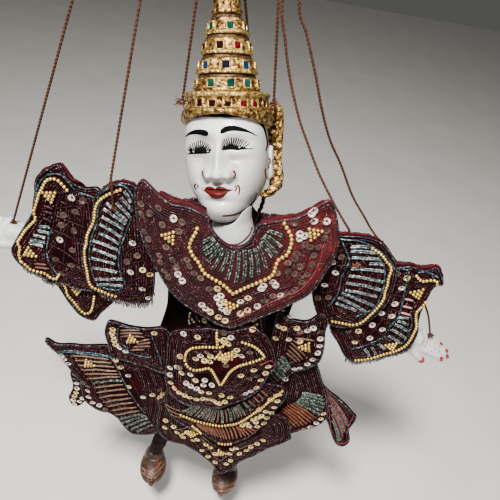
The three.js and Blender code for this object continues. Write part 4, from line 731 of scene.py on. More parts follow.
        ("bars:tan", [[[-124.2, 211.1], [-92.3, 213.7]], [[-121.3, 205.5], [-90.0, 209.3]], [[-119.2, 199.6], [-87.9, 204.8]], [[-117.2, 193.9], [-86.3, 199.9]], [[-114.5, 188.2], [-84.7, 195.9]], [[-112.4, 182.3], [-83.2, 192.8]]]),
        ("bars:green", [[[-108.6, 177.0], [-82.1, 188.3]]]),
        ("bars:tan", [[[-106.9, 170.5], [-80.9, 182.7]], [[-104.9, 164.5], [-78.7, 176.3]], [[-102.9, 157.3], [-76.4, 169.8]], [[-99.4, 151.1], [-73.6, 164.3]], [[-96.5, 145.2], [-71.5, 158.3]], [[-92.9, 139.2], [-68.9, 151.9]], [[-89.9, 132.2], [-66.2, 146.6]]]),
        ("bars:green", [[[-85.7, 126.1], [-63.0, 142.5]], [[-83.0, 121.1], [-60.2, 140.5]], [[-79.2, 116.2], [-58.0, 137.3]], [[-74.3, 112.7], [-55.8, 132.2]], [[-68.7, 110.2], [-53.5, 127.1]]]),
        ("cord:teal", [[[-136.0, 213.9], [-127.7, 216.5], [-118.0, 217.5], [-104.6, 218.8], [-92.2, 218.2], [-87.4, 216.7]], [[-136.2, 212.1], [-125.9, 214.9], [-114.3, 215.9], [-100.8, 216.7], [-91.3, 216.5], [-87.1, 210.8], [-83.9, 199.3], [-79.1, 184.5], [-74.1, 170.7], [-67.8, 156.6], [-61.4, 143.9]]]),
        ("cord:mauve", [[[-134.9, 210.5], [-131.2, 197.0], [-125.3, 184.3], [-119.9, 175.0], [-118.7, 162.7], [-116.4, 149.4], [-108.4, 138.8], [-99.0, 133.0], [-90.6, 124.8], [-83.1, 113.2], [-75.4, 104.3], [-65.3, 103.0], [-54.2, 109.1]], [[-125.1, 212.1], [-121.2, 199.4], [-116.1, 186.5], [-109.8, 173.4], [-106.3, 162.5], [-99.6, 147.5], [-91.4, 134.1], [-85.1, 124.4]], [[-82.7, 208.8], [-77.0, 197.8], [-71.0, 183.2], [-65.9, 169.4], [-60.5, 155.0]]]),
        ("cord:mauve", [[[-77.8, 214.5], [-72.0, 205.3], [-66.0, 191.0], [-60.8, 179.1]], [[-62.3, 207.7], [-58.1, 193.0], [-52.7, 177.9]]]),
    ],
    "sleeve_front_r": [
        ("beads", [[[-81.2, 379.8], [-85.3, 377.5], [-89.8, 374.3], [-93.7, 370.4], [-96.5, 366.3], [-98.3, 361.4], [-98.9, 355.7], [-100.0, 349.8], [-102.2, 344.5], [-104.5, 338.1], [-105.7, 330.8], [-107.3, 324.3], [-107.5, 316.8], [-107.5, 311.4], [-106.8, 305.0], [-106.3, 298.3], [-104.6, 290.8], [-100.4, 288.2], [-95.2, 286.7], [-90.9, 285.2], [-86.4, 284.4]]]),
        ("cord:teal", [[[-96.8, 369.4], [-93.9, 374.3], [-88.2, 379.8], [-81.5, 383.0], [-77.1, 381.5], [-74.2, 377.7], [-72.8, 374.5]], [[-93.0, 369.2], [-95.9, 363.7], [-97.0, 356.1], [-98.1, 348.3], [-101.3, 338.8], [-103.4, 329.3], [-104.3, 319.7], [-103.6, 310.1], [-102.7, 302.5], [-100.0, 295.6], [-95.9, 291.3], [-87.3, 290.6], [-80.3, 294.7]], [[-74.2, 358.7], [-77.0, 349.6], [-79.8, 340.2], [-82.3, 331.6], [-83.3, 321.9], [-82.8, 313.4], [-81.9, 305.8], [-78.6, 299.7]]]),
        ("bars:silver", [[[-79.0, 379.2], [-74.2, 371.4]], [[-80.9, 373.8], [-73.4, 364.6]], [[-84.0, 369.5], [-74.8, 359.4]], [[-90.8, 367.9], [-77.3, 356.2]], [[-92.9, 362.4], [-77.7, 353.5]], [[-94.1, 355.9], [-79.5, 348.9]], [[-95.9, 349.7], [-80.6, 341.8]], [[-96.8, 342.2], [-82.3, 335.7]], [[-101.3, 334.8], [-83.5, 329.7]], [[-101.7, 327.0], [-84.6, 322.5]], [[-103.0, 318.3], [-85.7, 316.6]], [[-102.6, 309.2], [-84.4, 309.2]], [[-101.4, 298.2], [-81.1, 303.0]], [[-100.0, 293.3], [-80.3, 296.3]]]),
        ("cord:mauve", [[[-79.6, 321.6], [-75.9, 331.3], [-67.4, 337.2]], [[-69.5, 340.3], [-66.1, 325.5], [-62.6, 314.4], [-59.1, 306.2]], [[-79.7, 316.8], [-71.8, 321.1], [-65.3, 324.6]], [[-77.7, 301.0], [-70.1, 306.1], [-65.1, 311.1]], [[-70.9, 289.6], [-62.3, 297.4], [-55.7, 304.6]]]),
        ("seq:silver", [[-73.4, 338.5], [-74.7, 311.6], [-66.2, 296.3], [-61.7, 287.5]]),
        ("seq:gold", [[-66.1, 315.3], [-60.9, 312.0], [-57.6, 299.4]]),
        ("seq:smoke", [[-70.2, 328.0], [-77.6, 321.0]]),
    ],
    "cuff_front_r": [
        ("beads", [[[-117.6, 370.2], [-120.0, 373.3], [-122.4, 376.0], [-125.3, 377.2], [-128.3, 376.4], [-131.6, 373.6], [-134.5, 368.0], [-136.9, 363.1], [-138.6, 358.2], [-140.5, 352.3], [-141.9, 347.3], [-141.5, 342.1], [-144.2, 338.1], [-148.0, 333.4], [-151.9, 328.1], [-154.5, 323.7], [-157.4, 318.0], [-156.3, 312.9], [-157.9, 307.2], [-157.3, 300.9]], [[-156.6, 300.0], [-153.5, 297.0], [-151.3, 294.3], [-146.3, 292.9], [-140.4, 291.8], [-137.3, 288.3], [-133.0, 287.8], [-130.0, 292.9]]]),
        ("cord:teal", [[[-141.9, 350.1], [-140.3, 358.8], [-137.7, 367.8], [-133.7, 374.7], [-128.0, 379.8], [-122.0, 380.6], [-117.8, 378.0], [-113.7, 372.0], [-109.5, 368.6], [-103.4, 367.6], [-98.9, 366.4]], [[-130.9, 335.8], [-134.7, 325.9], [-137.2, 312.8], [-135.9, 302.1], [-131.6, 293.4]]]),
        ("cord:mauve", [[[-120.3, 365.4], [-125.2, 358.1], [-127.9, 348.1], [-130.2, 336.0]], [[-114.0, 363.9], [-116.4, 352.3], [-119.2, 341.2], [-122.4, 326.4], [-125.1, 309.9], [-127.3, 294.3]], [[-106.3, 363.6], [-107.9, 351.2], [-110.2, 339.0], [-112.1, 328.5]], [[-126.0, 353.7], [-116.4, 357.0], [-107.0, 359.3]], [[-127.4, 347.3], [-117.4, 344.5], [-108.0, 341.5]], [[-130.1, 335.0], [-121.6, 331.7], [-110.7, 325.2]], [[-134.0, 320.9], [-124.5, 316.5], [-113.5, 306.8]], [[-134.5, 307.9], [-125.5, 304.3], [-112.6, 294.6]]]),
        ("bars:mauve", [[[-135.7, 353.7], [-128.5, 352.3]], [[-136.4, 349.3], [-129.0, 348.4]], [[-136.4, 344.1], [-130.2, 340.9]]]),
        ("bars:silver", [[[-140.5, 335.4], [-132.4, 336.5]], [[-141.8, 331.4], [-133.6, 331.1]], [[-145.5, 326.6], [-136.5, 326.4]], [[-148.3, 321.6], [-137.2, 322.1]], [[-149.9, 318.5], [-139.2, 318.2]]]),
        ("bars:brown", [[[-148.1, 299.5], [-138.6, 301.0]], [[-147.7, 296.2], [-137.3, 297.3]]]),
        ("flower", [[-129.7, 363.1], [-149.7, 310.2]]),
        ("seq:silver", [[-115.1, 364.4], [-126.2, 327.0]]),
        ("seq:smoke", [[-107.9, 363.3], [-115.5, 337.0], [-118.0, 319.4], [-131.1, 308.6], [-120.0, 304.9], [-127.6, 294.8], [-113.5, 353.8], [-121.7, 349.4], [-124.1, 340.2]]),
    ],
    "flap_r": [
        ("beads", [[[-129.9, 281.4], [-127.7, 275.6], [-127.1, 269.5], [-123.2, 263.0], [-120.0, 257.3], [-117.3, 253.3], [-113.7, 250.8], [-109.8, 254.1], [-107.3, 262.5], [-105.9, 271.7]]]),
        ("flower", [[-119.4, 276.1]]),
    ],
    "sleeve_front_l": [
        ("beads", [[[86.6, 366.4], [91.1, 364.4], [95.5, 361.1], [99.0, 357.5], [102.6, 354.5], [104.5, 349.7], [104.6, 344.4], [105.6, 338.1], [106.0, 331.5], [107.4, 325.0], [106.8, 319.1], [104.6, 312.7], [102.2, 306.4], [100.2, 301.0], [97.2, 296.8], [92.4, 294.2], [87.1, 294.2], [81.8, 294.3], [77.4, 294.5]]]),
        ("cord:teal", [[[62.7, 368.8], [69.4, 369.9], [75.3, 370.7], [81.9, 369.1], [88.1, 366.7], [94.5, 363.6], [101.3, 358.3], [106.5, 351.4]], [[65.6, 367.9], [70.3, 361.1], [74.5, 353.9], [73.9, 347.6], [73.0, 338.9], [73.9, 331.4], [74.3, 323.7], [73.0, 315.3], [70.8, 307.7]], [[83.8, 368.0], [89.3, 364.2], [94.9, 357.9], [99.7, 350.9], [102.2, 343.0], [104.1, 332.5], [104.7, 322.4], [103.3, 313.8], [98.2, 307.9], [92.6, 303.0]]]),
        ("bars:silver", [[[72.2, 365.2], [84.2, 366.7]], [[73.2, 361.5], [90.0, 363.0]], [[75.3, 356.6], [95.1, 358.0]], [[88.1, 353.5], [98.5, 354.6]], [[77.1, 347.0], [99.9, 348.9]], [[77.2, 340.6], [102.2, 339.7]], [[77.5, 334.2], [102.9, 332.2]], [[78.9, 327.3], [102.6, 325.1]], [[76.5, 323.9], [102.8, 315.9]], [[75.6, 319.2], [98.8, 309.2]], [[75.4, 313.3], [91.8, 308.9]]]),
        ("cord:mauve", [[[60.1, 350.9], [62.9, 355.5], [65.3, 360.0]], [[60.2, 350.4], [60.8, 344.8], [65.9, 346.9], [73.3, 349.5]], [[65.5, 336.0], [69.0, 331.5], [72.0, 326.6]], [[62.2, 318.7], [67.8, 322.8], [73.6, 326.9]], [[64.3, 318.1], [68.7, 308.5]], [[58.6, 322.5], [59.5, 329.4], [63.8, 335.8]]]),
        ("seq:silver", [[63.9, 350.1], [68.1, 341.6], [63.4, 328.9]]),
        ("seq:smoke", [[68.4, 355.7], [68.7, 317.9], [62.0, 315.2]]),
        ("seq:gold", [[59.6, 310.9]]),
    ],
    "cuff_front_l": [
        ("beads", [[[124.2, 346.4], [128.0, 343.1], [131.4, 342.3], [134.1, 343.9], [137.1, 344.8], [140.6, 343.2], [141.9, 337.0], [140.7, 331.1], [139.2, 323.8], [137.9, 318.8], [136.4, 312.4], [138.3, 305.5], [141.2, 298.6], [141.8, 292.3], [141.9, 284.4], [140.6, 277.4], [138.5, 272.7], [134.6, 267.6], [128.5, 263.4], [124.1, 259.4], [117.9, 255.1], [113.1, 251.7], [108.0, 249.8]]]),
        ("cord:teal", [[[124.1, 349.0], [129.2, 350.6], [134.4, 349.6], [140.3, 347.1]], [[118.2, 349.4], [121.8, 328.1], [125.1, 307.4], [122.6, 294.3], [119.7, 280.5], [109.9, 268.7], [100.7, 261.7]], [[133.0, 309.2], [137.1, 301.5], [138.3, 291.5], [137.9, 279.4], [136.2, 276.3]], [[108.0, 348.2], [112.2, 350.2], [119.0, 349.5]]]),
        ("cord:mauve", [[[111.7, 338.2], [114.2, 322.9], [115.5, 305.3], [112.2, 289.3], [108.2, 275.2]], [[112.0, 325.9], [122.2, 325.6]], [[113.0, 313.2], [125.0, 309.9]], [[111.4, 303.1], [123.1, 297.0]], [[106.1, 294.4], [120.2, 283.3]], [[100.4, 289.2], [114.4, 272.5]]]),
        ("bars:pink", [[[123.7, 323.7], [130.4, 323.0]], [[124.9, 316.5], [132.1, 315.7]], [[125.6, 310.0], [133.3, 309.0]]]),
        ("bars:silver", [[[125.1, 304.7], [133.5, 305.4]], [[126.2, 300.9], [135.4, 298.5]], [[125.1, 296.8], [137.4, 291.9]], [[124.4, 291.5], [138.5, 283.6]], [[124.7, 284.1], [136.9, 277.6]], [[119.6, 273.5], [127.1, 267.9]], [[115.8, 268.4], [122.0, 260.1]], [[111.1, 265.5], [117.2, 257.5]]]),
        ("flower", [[130.4, 331.1], [130.3, 273.3]]),
        ("seq:silver", [[118.3, 333.4], [118.4, 317.8], [110.5, 321.3], [111.9, 306.7], [120.2, 305.1], [109.0, 292.9], [117.7, 290.0], [111.5, 278.6]]),
        ("seq:gold", [[118.6, 343.5], [100.9, 284.1], [101.5, 271.6]]),
        ("seq:smoke", [[111.1, 345.2], [93.3, 282.4], [106.8, 346.9]]),
    ],
}

# ---------------------------------------------------------------- costume panels
def surf(s, x, z):
    y0, k, xc, lean, zc = s
    return y0 + k * (x - xc) ** 2 + lean * (z - zc)


def inside_many(poly, X, Z):
    c = np.zeros(X.shape, bool)
    a = np.asarray(poly, float)[:, :2]
    for (x1, z1), (x2, z2) in zip(a, np.roll(a, -1, axis=0)):
        if z1 == z2:
            continue
        hit = ((z1 > Z) != (z2 > Z)) & (X < (x2 - x1) * (Z - z1) / (z2 - z1) + x1)
        c ^= hit
    return c


def dist_many(poly, X, Z):
    a = np.asarray(poly, float)[:, :2]
    b = np.roll(a, -1, axis=0)
    best = np.full(X.shape, 1e9)
    for (x1, z1), (x2, z2) in zip(a, b):
        dx, dz = x2 - x1, z2 - z1
        L = dx * dx + dz * dz
        if L < 1e-12:
            continue
        t = np.clip(((X - x1) * dx + (Z - z1) * dz) / L, 0, 1)
        best = np.minimum(best, np.hypot(X - x1 - t * dx, Z - z1 - t * dz))
    return best


class Panel:
    """Quilted cloth panel: a curved front surface over an outline, slightly crowned, with a rounded, puckered edge."""
    def __init__(self, name, outline, s, body, t=2.2, dome=1.6, wave=0.8, back=False):
        self.name, self.s, self.body, self.t, self.back = name, s, body, t, back
        line = catmull(outline, 1.5, closed=True)
        self.poly = [(float(p[0]), float(p[1])) for p in line]
        P = np.array(self.poly)
        self.x0, self.z0 = P.min(0) - 3
        self.x1, self.z1 = P.max(0) + 3
        nx, nz = int(self.x1 - self.x0) + 2, int(self.z1 - self.z0) + 2
        X, Z = np.meshgrid(self.x0 + np.arange(nx), self.z0 + np.arange(nz), indexing="ij")
        ins = inside_many(self.poly, X, Z)
        d = dist_many(self.poly, X, Z) * np.where(ins, 1, -1)
        rnd = random.Random("panel " + name)
        ph = [rnd.uniform(0, 6.28) for _ in range(5)]
        e = np.clip(d, 0, None)
        crown = dome * (1 - np.exp(-e / 9.0))
        ripple = wave * np.exp(-e / 8.0) * (np.sin(X * 0.21 + Z * 0.07 + ph[0]) + np.sin(Z * 0.17 - X * 0.05 + ph[1])) * 0.5
        soft = 0.25 * np.sin(X * 0.31 + ph[2]) * np.sin(Z * 0.27 + ph[3])
        sg = 1 if back else -1
        y0, k, xc, lean, zc = s
        self.Y = y0 + k * (X - xc) ** 2 + lean * (Z - zc) + sg * (crown + ripple + soft)
        self.D = d

    def sample(self, A, x, z):
        u, v = x - self.x0, z - self.z0
        i, j = int(min(max(u, 0), A.shape[0] - 2)), int(min(max(v, 0), A.shape[1] - 2))
        u, v = min(max(u - i, 0), 1), min(max(v - j, 0), 1)
        return (A[i, j] * (1 - u) + A[i + 1, j] * u) * (1 - v) + (A[i, j + 1] * (1 - u) + A[i + 1, j + 1] * u) * v

    def y(self, x, z):
        return float(self.sample(self.Y, x, z))

    def edge(self, x, z):
        return float(self.sample(self.D, x, z))

    def normal(self, x, z):
        fx = (self.y(x + 1, z) - self.y(x - 1, z)) / 2
        fz = (self.y(x, z + 1) - self.y(x, z - 1)) / 2
        n = Vector((fx, -1.0, fz)).normalized()
        return -n if self.back else n

    def on(self, x, z, lift=0.0):
        n = self.normal(x, z)
        h = self.t * 0.5 + lift
        return T(x + n.x * h, self.y(x, z) + n.y * h, z + n.z * h), n

    def build(self, front_material, back_material, g=2.1):
        pts = [Vector(p) for p in self.poly]
        nb = len(pts)
        xs = np.arange(self.x0, self.x1, g)
        P = []
        for i, x in enumerate(xs):
            for z in np.arange(self.z0 + (g / 2 if i % 2 else 0), self.z1, g):
                P.append((x, z))
        P = np.array(P)
        ok = inside_many(self.poly, P[:, 0], P[:, 1]) & (dist_many(self.poly, P[:, 0], P[:, 1]) > g * 0.5)
        pts += [Vector(p) for p in P[ok]]
        vs, _, fs, *_ = delaunay_2d_cdt(pts, [(i, (i + 1) % nb) for i in range(nb)], [list(range(nb))], 1, 1e-5)
        n = len(vs)
        F, B = [], []
        for p in vs:
            e = max(self.edge(p.x, p.y), 0)
            h = 0.5 * self.t * min(1.0, 0.4 + 0.6 * math.sqrt(min(1.0, e / 1.6)))
            nn = self.normal(p.x, p.y)
            y = self.y(p.x, p.y)
            F.append(T(p.x + nn.x * h, y + nn.y * h, p.y + nn.z * h))
            B.append(T(p.x - nn.x * h, y - nn.y * h, p.y - nn.z * h))
        faces, mi, edges, seen = [], [], {}, set()
        for f in fs:
            a, b, c = [vs[i] for i in f[:3]]
            ccw = (b.x - a.x) * (c.y - a.y) - (b.y - a.y) * (c.x - a.x) > 0
            ff = tuple(f) if ccw != self.back else tuple(f)[::-1]
            faces.append(ff)
            mi.append(0)
            for i in range(len(ff)):
                e = (ff[i], ff[(i + 1) % len(ff)])
                seen.add(e)
                edges[tuple(sorted(e))] = edges.get(tuple(sorted(e)), 0) + 1
        for ff in list(faces):
            faces.append(tuple(i + n for i in ff[::-1]))
            mi.append(1)
        for (a, b), c in edges.items():
            if c == 1:
                if (a, b) not in seen:
                    a, b = b, a
                faces.append((b, a, a + n, b + n))
                mi.append(0)
        o = obj_from("cloth_" + self.name, F + B, faces, [front_material, back_material])
        o.data.polygons.foreach_set("material_index", mi)
        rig.ride(o, self.body)
        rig.replaces(o, self.name)
        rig.slot(o, "velvet")
        self.obj = o
        P = np.array(self.poly)
        Q = np.roll(P, -1, axis=0)
        self.area = abs(float((P[:, 0] * Q[:, 1] - Q[:, 0] * P[:, 1]).sum())) / 2e6
        self.flat = tuple(float(v) / 1000 for v in (P.max(0) - P.min(0)))
        return o


def inset(poly, d, step=1.0):
    """Line inside poly at distance d from its edge."""
    P = [np.array(p[:2], float) for p in resample(poly, step, closed=True)]
    n = len(P)
    area = sum(P[i][0] * P[(i + 1) % n][1] - P[(i + 1) % n][0] * P[i][1] for i in range(n))
    sg = 1 if area > 0 else -1
    Q = []
    for i in range(n):
        t = P[(i + 2) % n] - P[i - 2]
        L = np.linalg.norm(t)
        if L < 1e-6:
            continue
        t /= L
        Q.append(P[i] + np.array([-t[1], t[0]]) * sg * d)
    Q = np.array(Q)
    ok = inside_many(poly, Q[:, 0], Q[:, 1]) & (dist_many(poly, Q[:, 0], Q[:, 1]) > d * 0.93)
    return [q for q, k in zip(Q, ok) if k]


def runs(points, gap):
    """Splits a list of points where neighbours are further apart than gap."""
    out, cur = [], [points[0]]
    for a, b in zip(points[:-1], points[1:]):
        if np.linalg.norm(np.array(b) - np.array(a)) > gap:
            out.append(cur)
            cur = []
        cur.append(b)
    out.append(cur)
    return [r for r in out if len(r) > 2]


def frame_at(nn, spin):
    a = nn.cross(Vector((0, 0, 1)))
    if a.length < 1e-4:
        a = Vector((1, 0, 0))
    a.normalize()
    b = nn.cross(a)
    c, s = math.cos(spin), math.sin(spin)
    return a * c + b * s, b * c - a * s


MATS = [SEQ_GOLD, SEQ_SILVER, SEQ_PINK, GOLD_BEAD, CORD_MAUVE, CORD_RED, CORD_TEAL, BAR_GREEN, BAR_SILVER, BAR_BROWN, BAR_TAN, BAR_ORANGE, BAR_PINK, THREAD, FRINGE, SEED, SEED_LIGHT, CORD_WINE, CORD_EDGE]
NAMES = ["gold", "silver", "smoke", "bead", "mauve", "red", "teal", "green", "silverbar", "brown", "tan", "orange", "pink", "thread", "fringe", "seed", "seedlight", "wine", "edge"]
MI = {n: i for i, n in enumerate(NAMES)}


def disc_sequin(soup, c, nn, rnd, r, mi):
    """Cupped sequin with a centre hole, a faceted dish and the stitch that holds it."""
    tilt = Vector((rnd.uniform(-0.2, 0.2), rnd.uniform(-0.2, 0.2), rnd.uniform(-0.2, 0.2)))
    nn = (nn + tilt).normalized()
    a, b = frame_at(nn, rnd.uniform(0, 6.28))
    k = 14
    v = []
    for rr, h in ((0.9, -0.10), (1.4, -0.14), (2.0, 0.10), (2.5, 0.46), (2.5, 0.60), (2.0, 0.28), (1.4, 0.06), (0.9, 0.08)):
        rr *= r / 2.5
        for i in range(k):
            an = 2 * math.pi * i / k
            v.append(c + (a * math.cos(an) + b * math.sin(an)) * (rr / 1000) + nn * (h / 1000))
    m = 8
    f = [(j * k + i, ((j + 1) % m) * k + i, ((j + 1) % m) * k + (i + 1) % k, j * k + (i + 1) % k) for j in range(m) for i in range(k)]
    soup.add(v, f, mi)
    path = [c + nn * 0.00002, c + a * 0.0011 * r / 2.5 + nn * 0.0003, c + a * 0.0024 * r / 2.5 + nn * 0.00056, c + a * 0.0028 * r / 2.5 + nn * 0.0001]
    v, f = sweep(path, 0.00019, sides=5)
    soup.add(v, f, MI["thread"])
    v, f = ball(c - nn * 0.0003, 0.00088, 1)
    soup.add(v, f, MI["thread"])


def sequin(soup, p, x, z, rnd, kind, r=2.5, lift=0.3):
    c, nn = p.on(x, z, lift)
    disc_sequin(soup, c, nn, rnd, r, MI[kind])


def bead(soup, p, x, z, r=1.2, lift=0.8):
    c, nn = p.on(x, z, lift)
    bv, bf = ball(c, r / 1000, 2)
    soup.add(bv, bf, MI["bead"])


def braid(soup, p, pts, r=0.52, kind="mauve", lift=0.3, closed=False):
    """Twisted two-ply cord couched on the panel, left out where it would run off the cloth."""
    L = [q for q in resample(pts, 0.5, closed=closed)]
    run = []
    for q in L + [None]:
        if q is not None and p.edge(q[0], q[1]) > 0.35:
            run.append(q)
            continue
        if len(run) > 4:
            P = [p.on(w[0], w[1], lift)[0] for w in run]
            v, f = sweep(P, r / 1000, sides=6, lobes=2, depth=0.5, pitch=0.0021)
            soup.add(v, f, MI[kind])
        run = []


def bullion(soup, p, a, b, kind, double=True):
    """A bar of coiled wire or padded floss from a to b; the metal ones are two coils side by side."""
    a, b = np.array(a, float), np.array(b, float)
    d = b - a
    L = float(np.linalg.norm(d))
    if L < 2:
        return
    n = np.array([-d[1], d[0]]) / L
    bend = 0.03 * L
    for off in ((-0.70, 0.70) if double else (0.0,)):
        pts = []
        for i in range(max(6, int(L / 0.36))):
            t = i / (max(6, int(L / 0.36)) - 1)
            q = a + d * t + n * (off + bend * math.sin(math.pi * t))
            if p.edge(q[0], q[1]) > 0.6:
                pts.append(p.on(q[0], q[1], 0.35)[0])
        if len(pts) < 5:
            continue
        m = len(pts)
        r = 0.60 if double else 0.86
        v, f = sweep(pts, r / 1000, sides=7, taper=lambda t: (0.55 if t in (0.0, 1.0) else (1.0 if int(round(t * (m - 1))) % 2 else 0.80)) if double
                     else min(1.0, 0.45 + 3.0 * min(t, 1 - t)) * (1.0 if int(round(t * (m - 1))) % 3 else 0.93))
        soup.add(v, f, MI[kind])


def flower(soup, p, x, z, n=6):
    bead(soup, p, x, z, 1.3, lift=1.5)
    for i in range(n):
        a = 2 * math.pi * i / n + x
        bead(soup, p, x + 2.75 * math.cos(a), z + 2.75 * math.sin(a), 1.22, lift=1.0)
    for i in range(n):
        a = 2 * math.pi * (i + 0.5) / n + x
        if i % 2 == 0:
            bead(soup, p, x + 4.9 * math.cos(a), z + 4.9 * math.sin(a), 1.15)


P_ALL = {}
for name, outline in OUT.items():
    back = name in BACKS
    dome = {"collar": 1.2, "cuff_front_r": 0.9, "cuff_front_l": 0.9, "flap_r": 0.6, "wing_long_r": 0.9, "wing_long_l": 0.9, "tail_l": 0.5, "tail_r": 0.5,
            "sleeve_front_r": 1.9, "sleeve_front_l": 1.9, "apron_fan": 1.0, "apron_point": 0.8}.get(name, 1.2)
    p = Panel(name, outline, SURF[name], BODY.get(name, "figure"), dome=dome, wave=0.5 if back else 0.8, back=back)
    front_mat = VELVET_COLLAR if name in ("collar",) else VELVET
    p.build(front_mat, LINING)
    P_ALL[name] = p

ALONG = {"beads": None}
for name, p in P_ALL.items():
    rnd = random.Random("trim " + name)
    sp = Soup()
    if name in DECO:
        used = []
        br = 1.42 if name == "collar" else 1.22
        for kind, data in DECO[name]:
            what, _, tag = kind.partition(":")
            if what == "beads":
                for line in data:
                    for q in resample(catmull(line, 1.0), br * 2.16):
                        if p.edge(q[0], q[1]) > 0.7:
                            bead(sp, p, q[0], q[1], br)
                            used.append((q[0], q[1], 1.9))
            elif what == "cord":
                for line in data:
                    line = catmull(line, 1.0) if len(line) > 2 else line
                    braid(sp, p, line, kind=tag, r=0.8 if tag == "teal" else 0.46)
                    used += [(q[0], q[1], 1.2) for q in resample(line, 1.5)]
            elif what == "bars":
                for a, b in data:
                    bullion(sp, p, a, b, {"silver": "silverbar"}.get(tag, tag), double=tag in ("green", "silver"))
                    used += [(a[0] + (b[0] - a[0]) * t, a[1] + (b[1] - a[1]) * t, 1.9) for t in np.linspace(0, 1, 8)]
            elif what == "seq":
                for x, z in data:
                    if p.edge(x, z) > 1.2:
                        sequin(sp, p, x, z, rnd, tag)
                        used.append((x, z, 2.6))
            elif what == "flower":
                for x, z in data:
                    flower(sp, p, x, z)
                    used.append((x, z, 5.0))
        for d, kind in ((0.9, "edge"),):
            for r_ in runs(inset(p.poly, d), 3.0):
                braid(sp, p, r_, 0.72, kind)
        U = np.array(used)

        def free(x, z):
            return bool(np.all((U[:, 0] - x) ** 2 + (U[:, 1] - z) ** 2 > U[:, 2] ** 2))
        # rows of dark beads and couched cord follow the outline wherever nothing else is sewn
        for n_row, d in enumerate(np.arange(2.7, 26, 1.75)):
            for r_ in runs(inset(p.poly, float(d)), 3.5) if len(inset(p.poly, float(d))) > 4 else []:
                pts_, cur = resample(r_, 0.9 if n_row % 3 == 1 else 1.25), []
                for q in list(pts_) + [None]:
                    if q is not None and free(q[0], q[1]):
                        if n_row % 3 == 1:
                            cur.append(q)
                        elif rnd.random() < 0.86:
                            c, nn = p.on(q[0], q[1], 0.25)
                            v, f = ball(c, 0.00050 + 0.00012 * rnd.random(), 1)
                            sp.add(v, f, MI["seed"] if rnd.random() < 0.8 else MI["seedlight"])
                        continue
                    if len(cur) > 5:
                        braid(sp, p, cur, 0.36, "wine" if n_row % 2 else "mauve")
                    cur = []
    else:
        for d, kind in ((0.9, "mauve"), (8.0, "mauve")):
            for r_ in runs(inset(p.poly, d), 3.0):
                braid(sp, p, r_, 0.4, kind)
        for r_ in runs(inset(p.poly, 4.4), 3.5):
            for q in resample(r_, 6.6):
                sequin(sp, p, q[0], q[1], rnd, rnd.choice(("gold", "silver", "smoke")))
        if name in ("collar_back", "back_panel"):
            for r_ in runs(inset(p.poly, 11.5), 3.5):
                for q in resample(r_, 2.65):
                    bead(sp, p, q[0], q[1])
            # rows of sequins and couched cord fill the back, as on the front panels
            for n_row, d in enumerate(np.arange(15.5, 60, 5.2)):
                if len(inset(p.poly, float(d))) < 5:
                    break
                for r_ in runs(inset(p.poly, float(d)), 3.5):
                    if n_row % 2 == 0:
                        for q in resample(r_, 7.4 if n_row % 4 else 6.4):
                            sequin(sp, p, q[0], q[1], rnd, rnd.choice(("gold", "silver", "smoke", "smoke")))
                    elif len(r_) > 6:
                        braid(sp, p, r_, 0.45, "teal" if n_row % 4 == 1 else "mauve")
    o = sp.build("trim_" + name, MATS)
    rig.ride(o, p.body)
    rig.slot(o, "velvet")
    p.trim = o



# ---------------------------------------------------------------- CAD nodes that stay
def paint(node, material):
    o = bpy.data.objects.get(node)
    if o is None:
        return
    o.data.materials.clear()
    o.data.materials.append(material)


for n in ("control_bar", "control_grip", "elbow_pin_r", "elbow_pin_l", "knee_pin_r", "knee_pin_l"):
    paint(n, WOOD_DARK)
for n in ("chest_block", "pelvis_block", "upper_arm_r", "upper_arm_l"):
    paint(n, WOOD_BARE)
for n in ("head", "neck", "forearm_r", "forearm_l", "hand_r", "hand_l"):
    paint(n, LACQUER)
for n in ("crown_band", "crown_tier_1", "crown_tier_2", "crown_tier_3", "crown_tier_4", "crown_finial", "ear_flange_r", "ear_flange_l"):
    paint(n, GILT)
for n in ("thigh_r", "thigh_l", "shin_r", "shin_l"):
    paint(n, TROUSER)
for n in ("shoe_r", "shoe_l"):
    paint(n, SHOE)

# ---------------------------------------------------------------- head
CAM = T(-2.4, -292.9, 558.0)


def ray(x, y):
    """Direction from the camera through a point of its 500 x 500 picture."""
    return (rot @ Vector(((x - 250.0) / 500.0, (250.0 - y) / 500.0, -1.0))).normalized()


def cast(tree, x, y):
    hit = tree.ray_cast(CAM, ray(x, y))
    return (hit[0], hit[1]) if hit[0] is not None else None


def tree_of(objs):
    verts, faces = [], []
    for o in objs:
        n = len(verts)
        verts += [o.matrix_world @ v.co for v in o.data.vertices]
        faces += [tuple(i + n for i in f.vertices) for f in o.data.polygons]
    return BVHTree.FromPolygons(verts, faces)


RINGS = np.array([[-38, 7.5, -21.5, -6, -10], [-36, 11.5, -23.5, -1, -5], [-33, 14.5, -25.2, 5, 1], [-29, 18, -26.3, 10, 5.5], [-24.5, 21, -27, 14.5, 8.5], [-19, 24.2, -27.2, 18.5, 7.5], [-12, 26.4, -26.8, 22, 4.6],
                  [-4, 27.4, -26, 24.5, 1.5], [4, 27.8, -25.4, 26, -0.7], [12, 27.6, -25.4, 26.5, -1], [20, 26.8, -25.6, 26, -0.8], [28.4, 25.2, -24, 24.5, 0.5]])


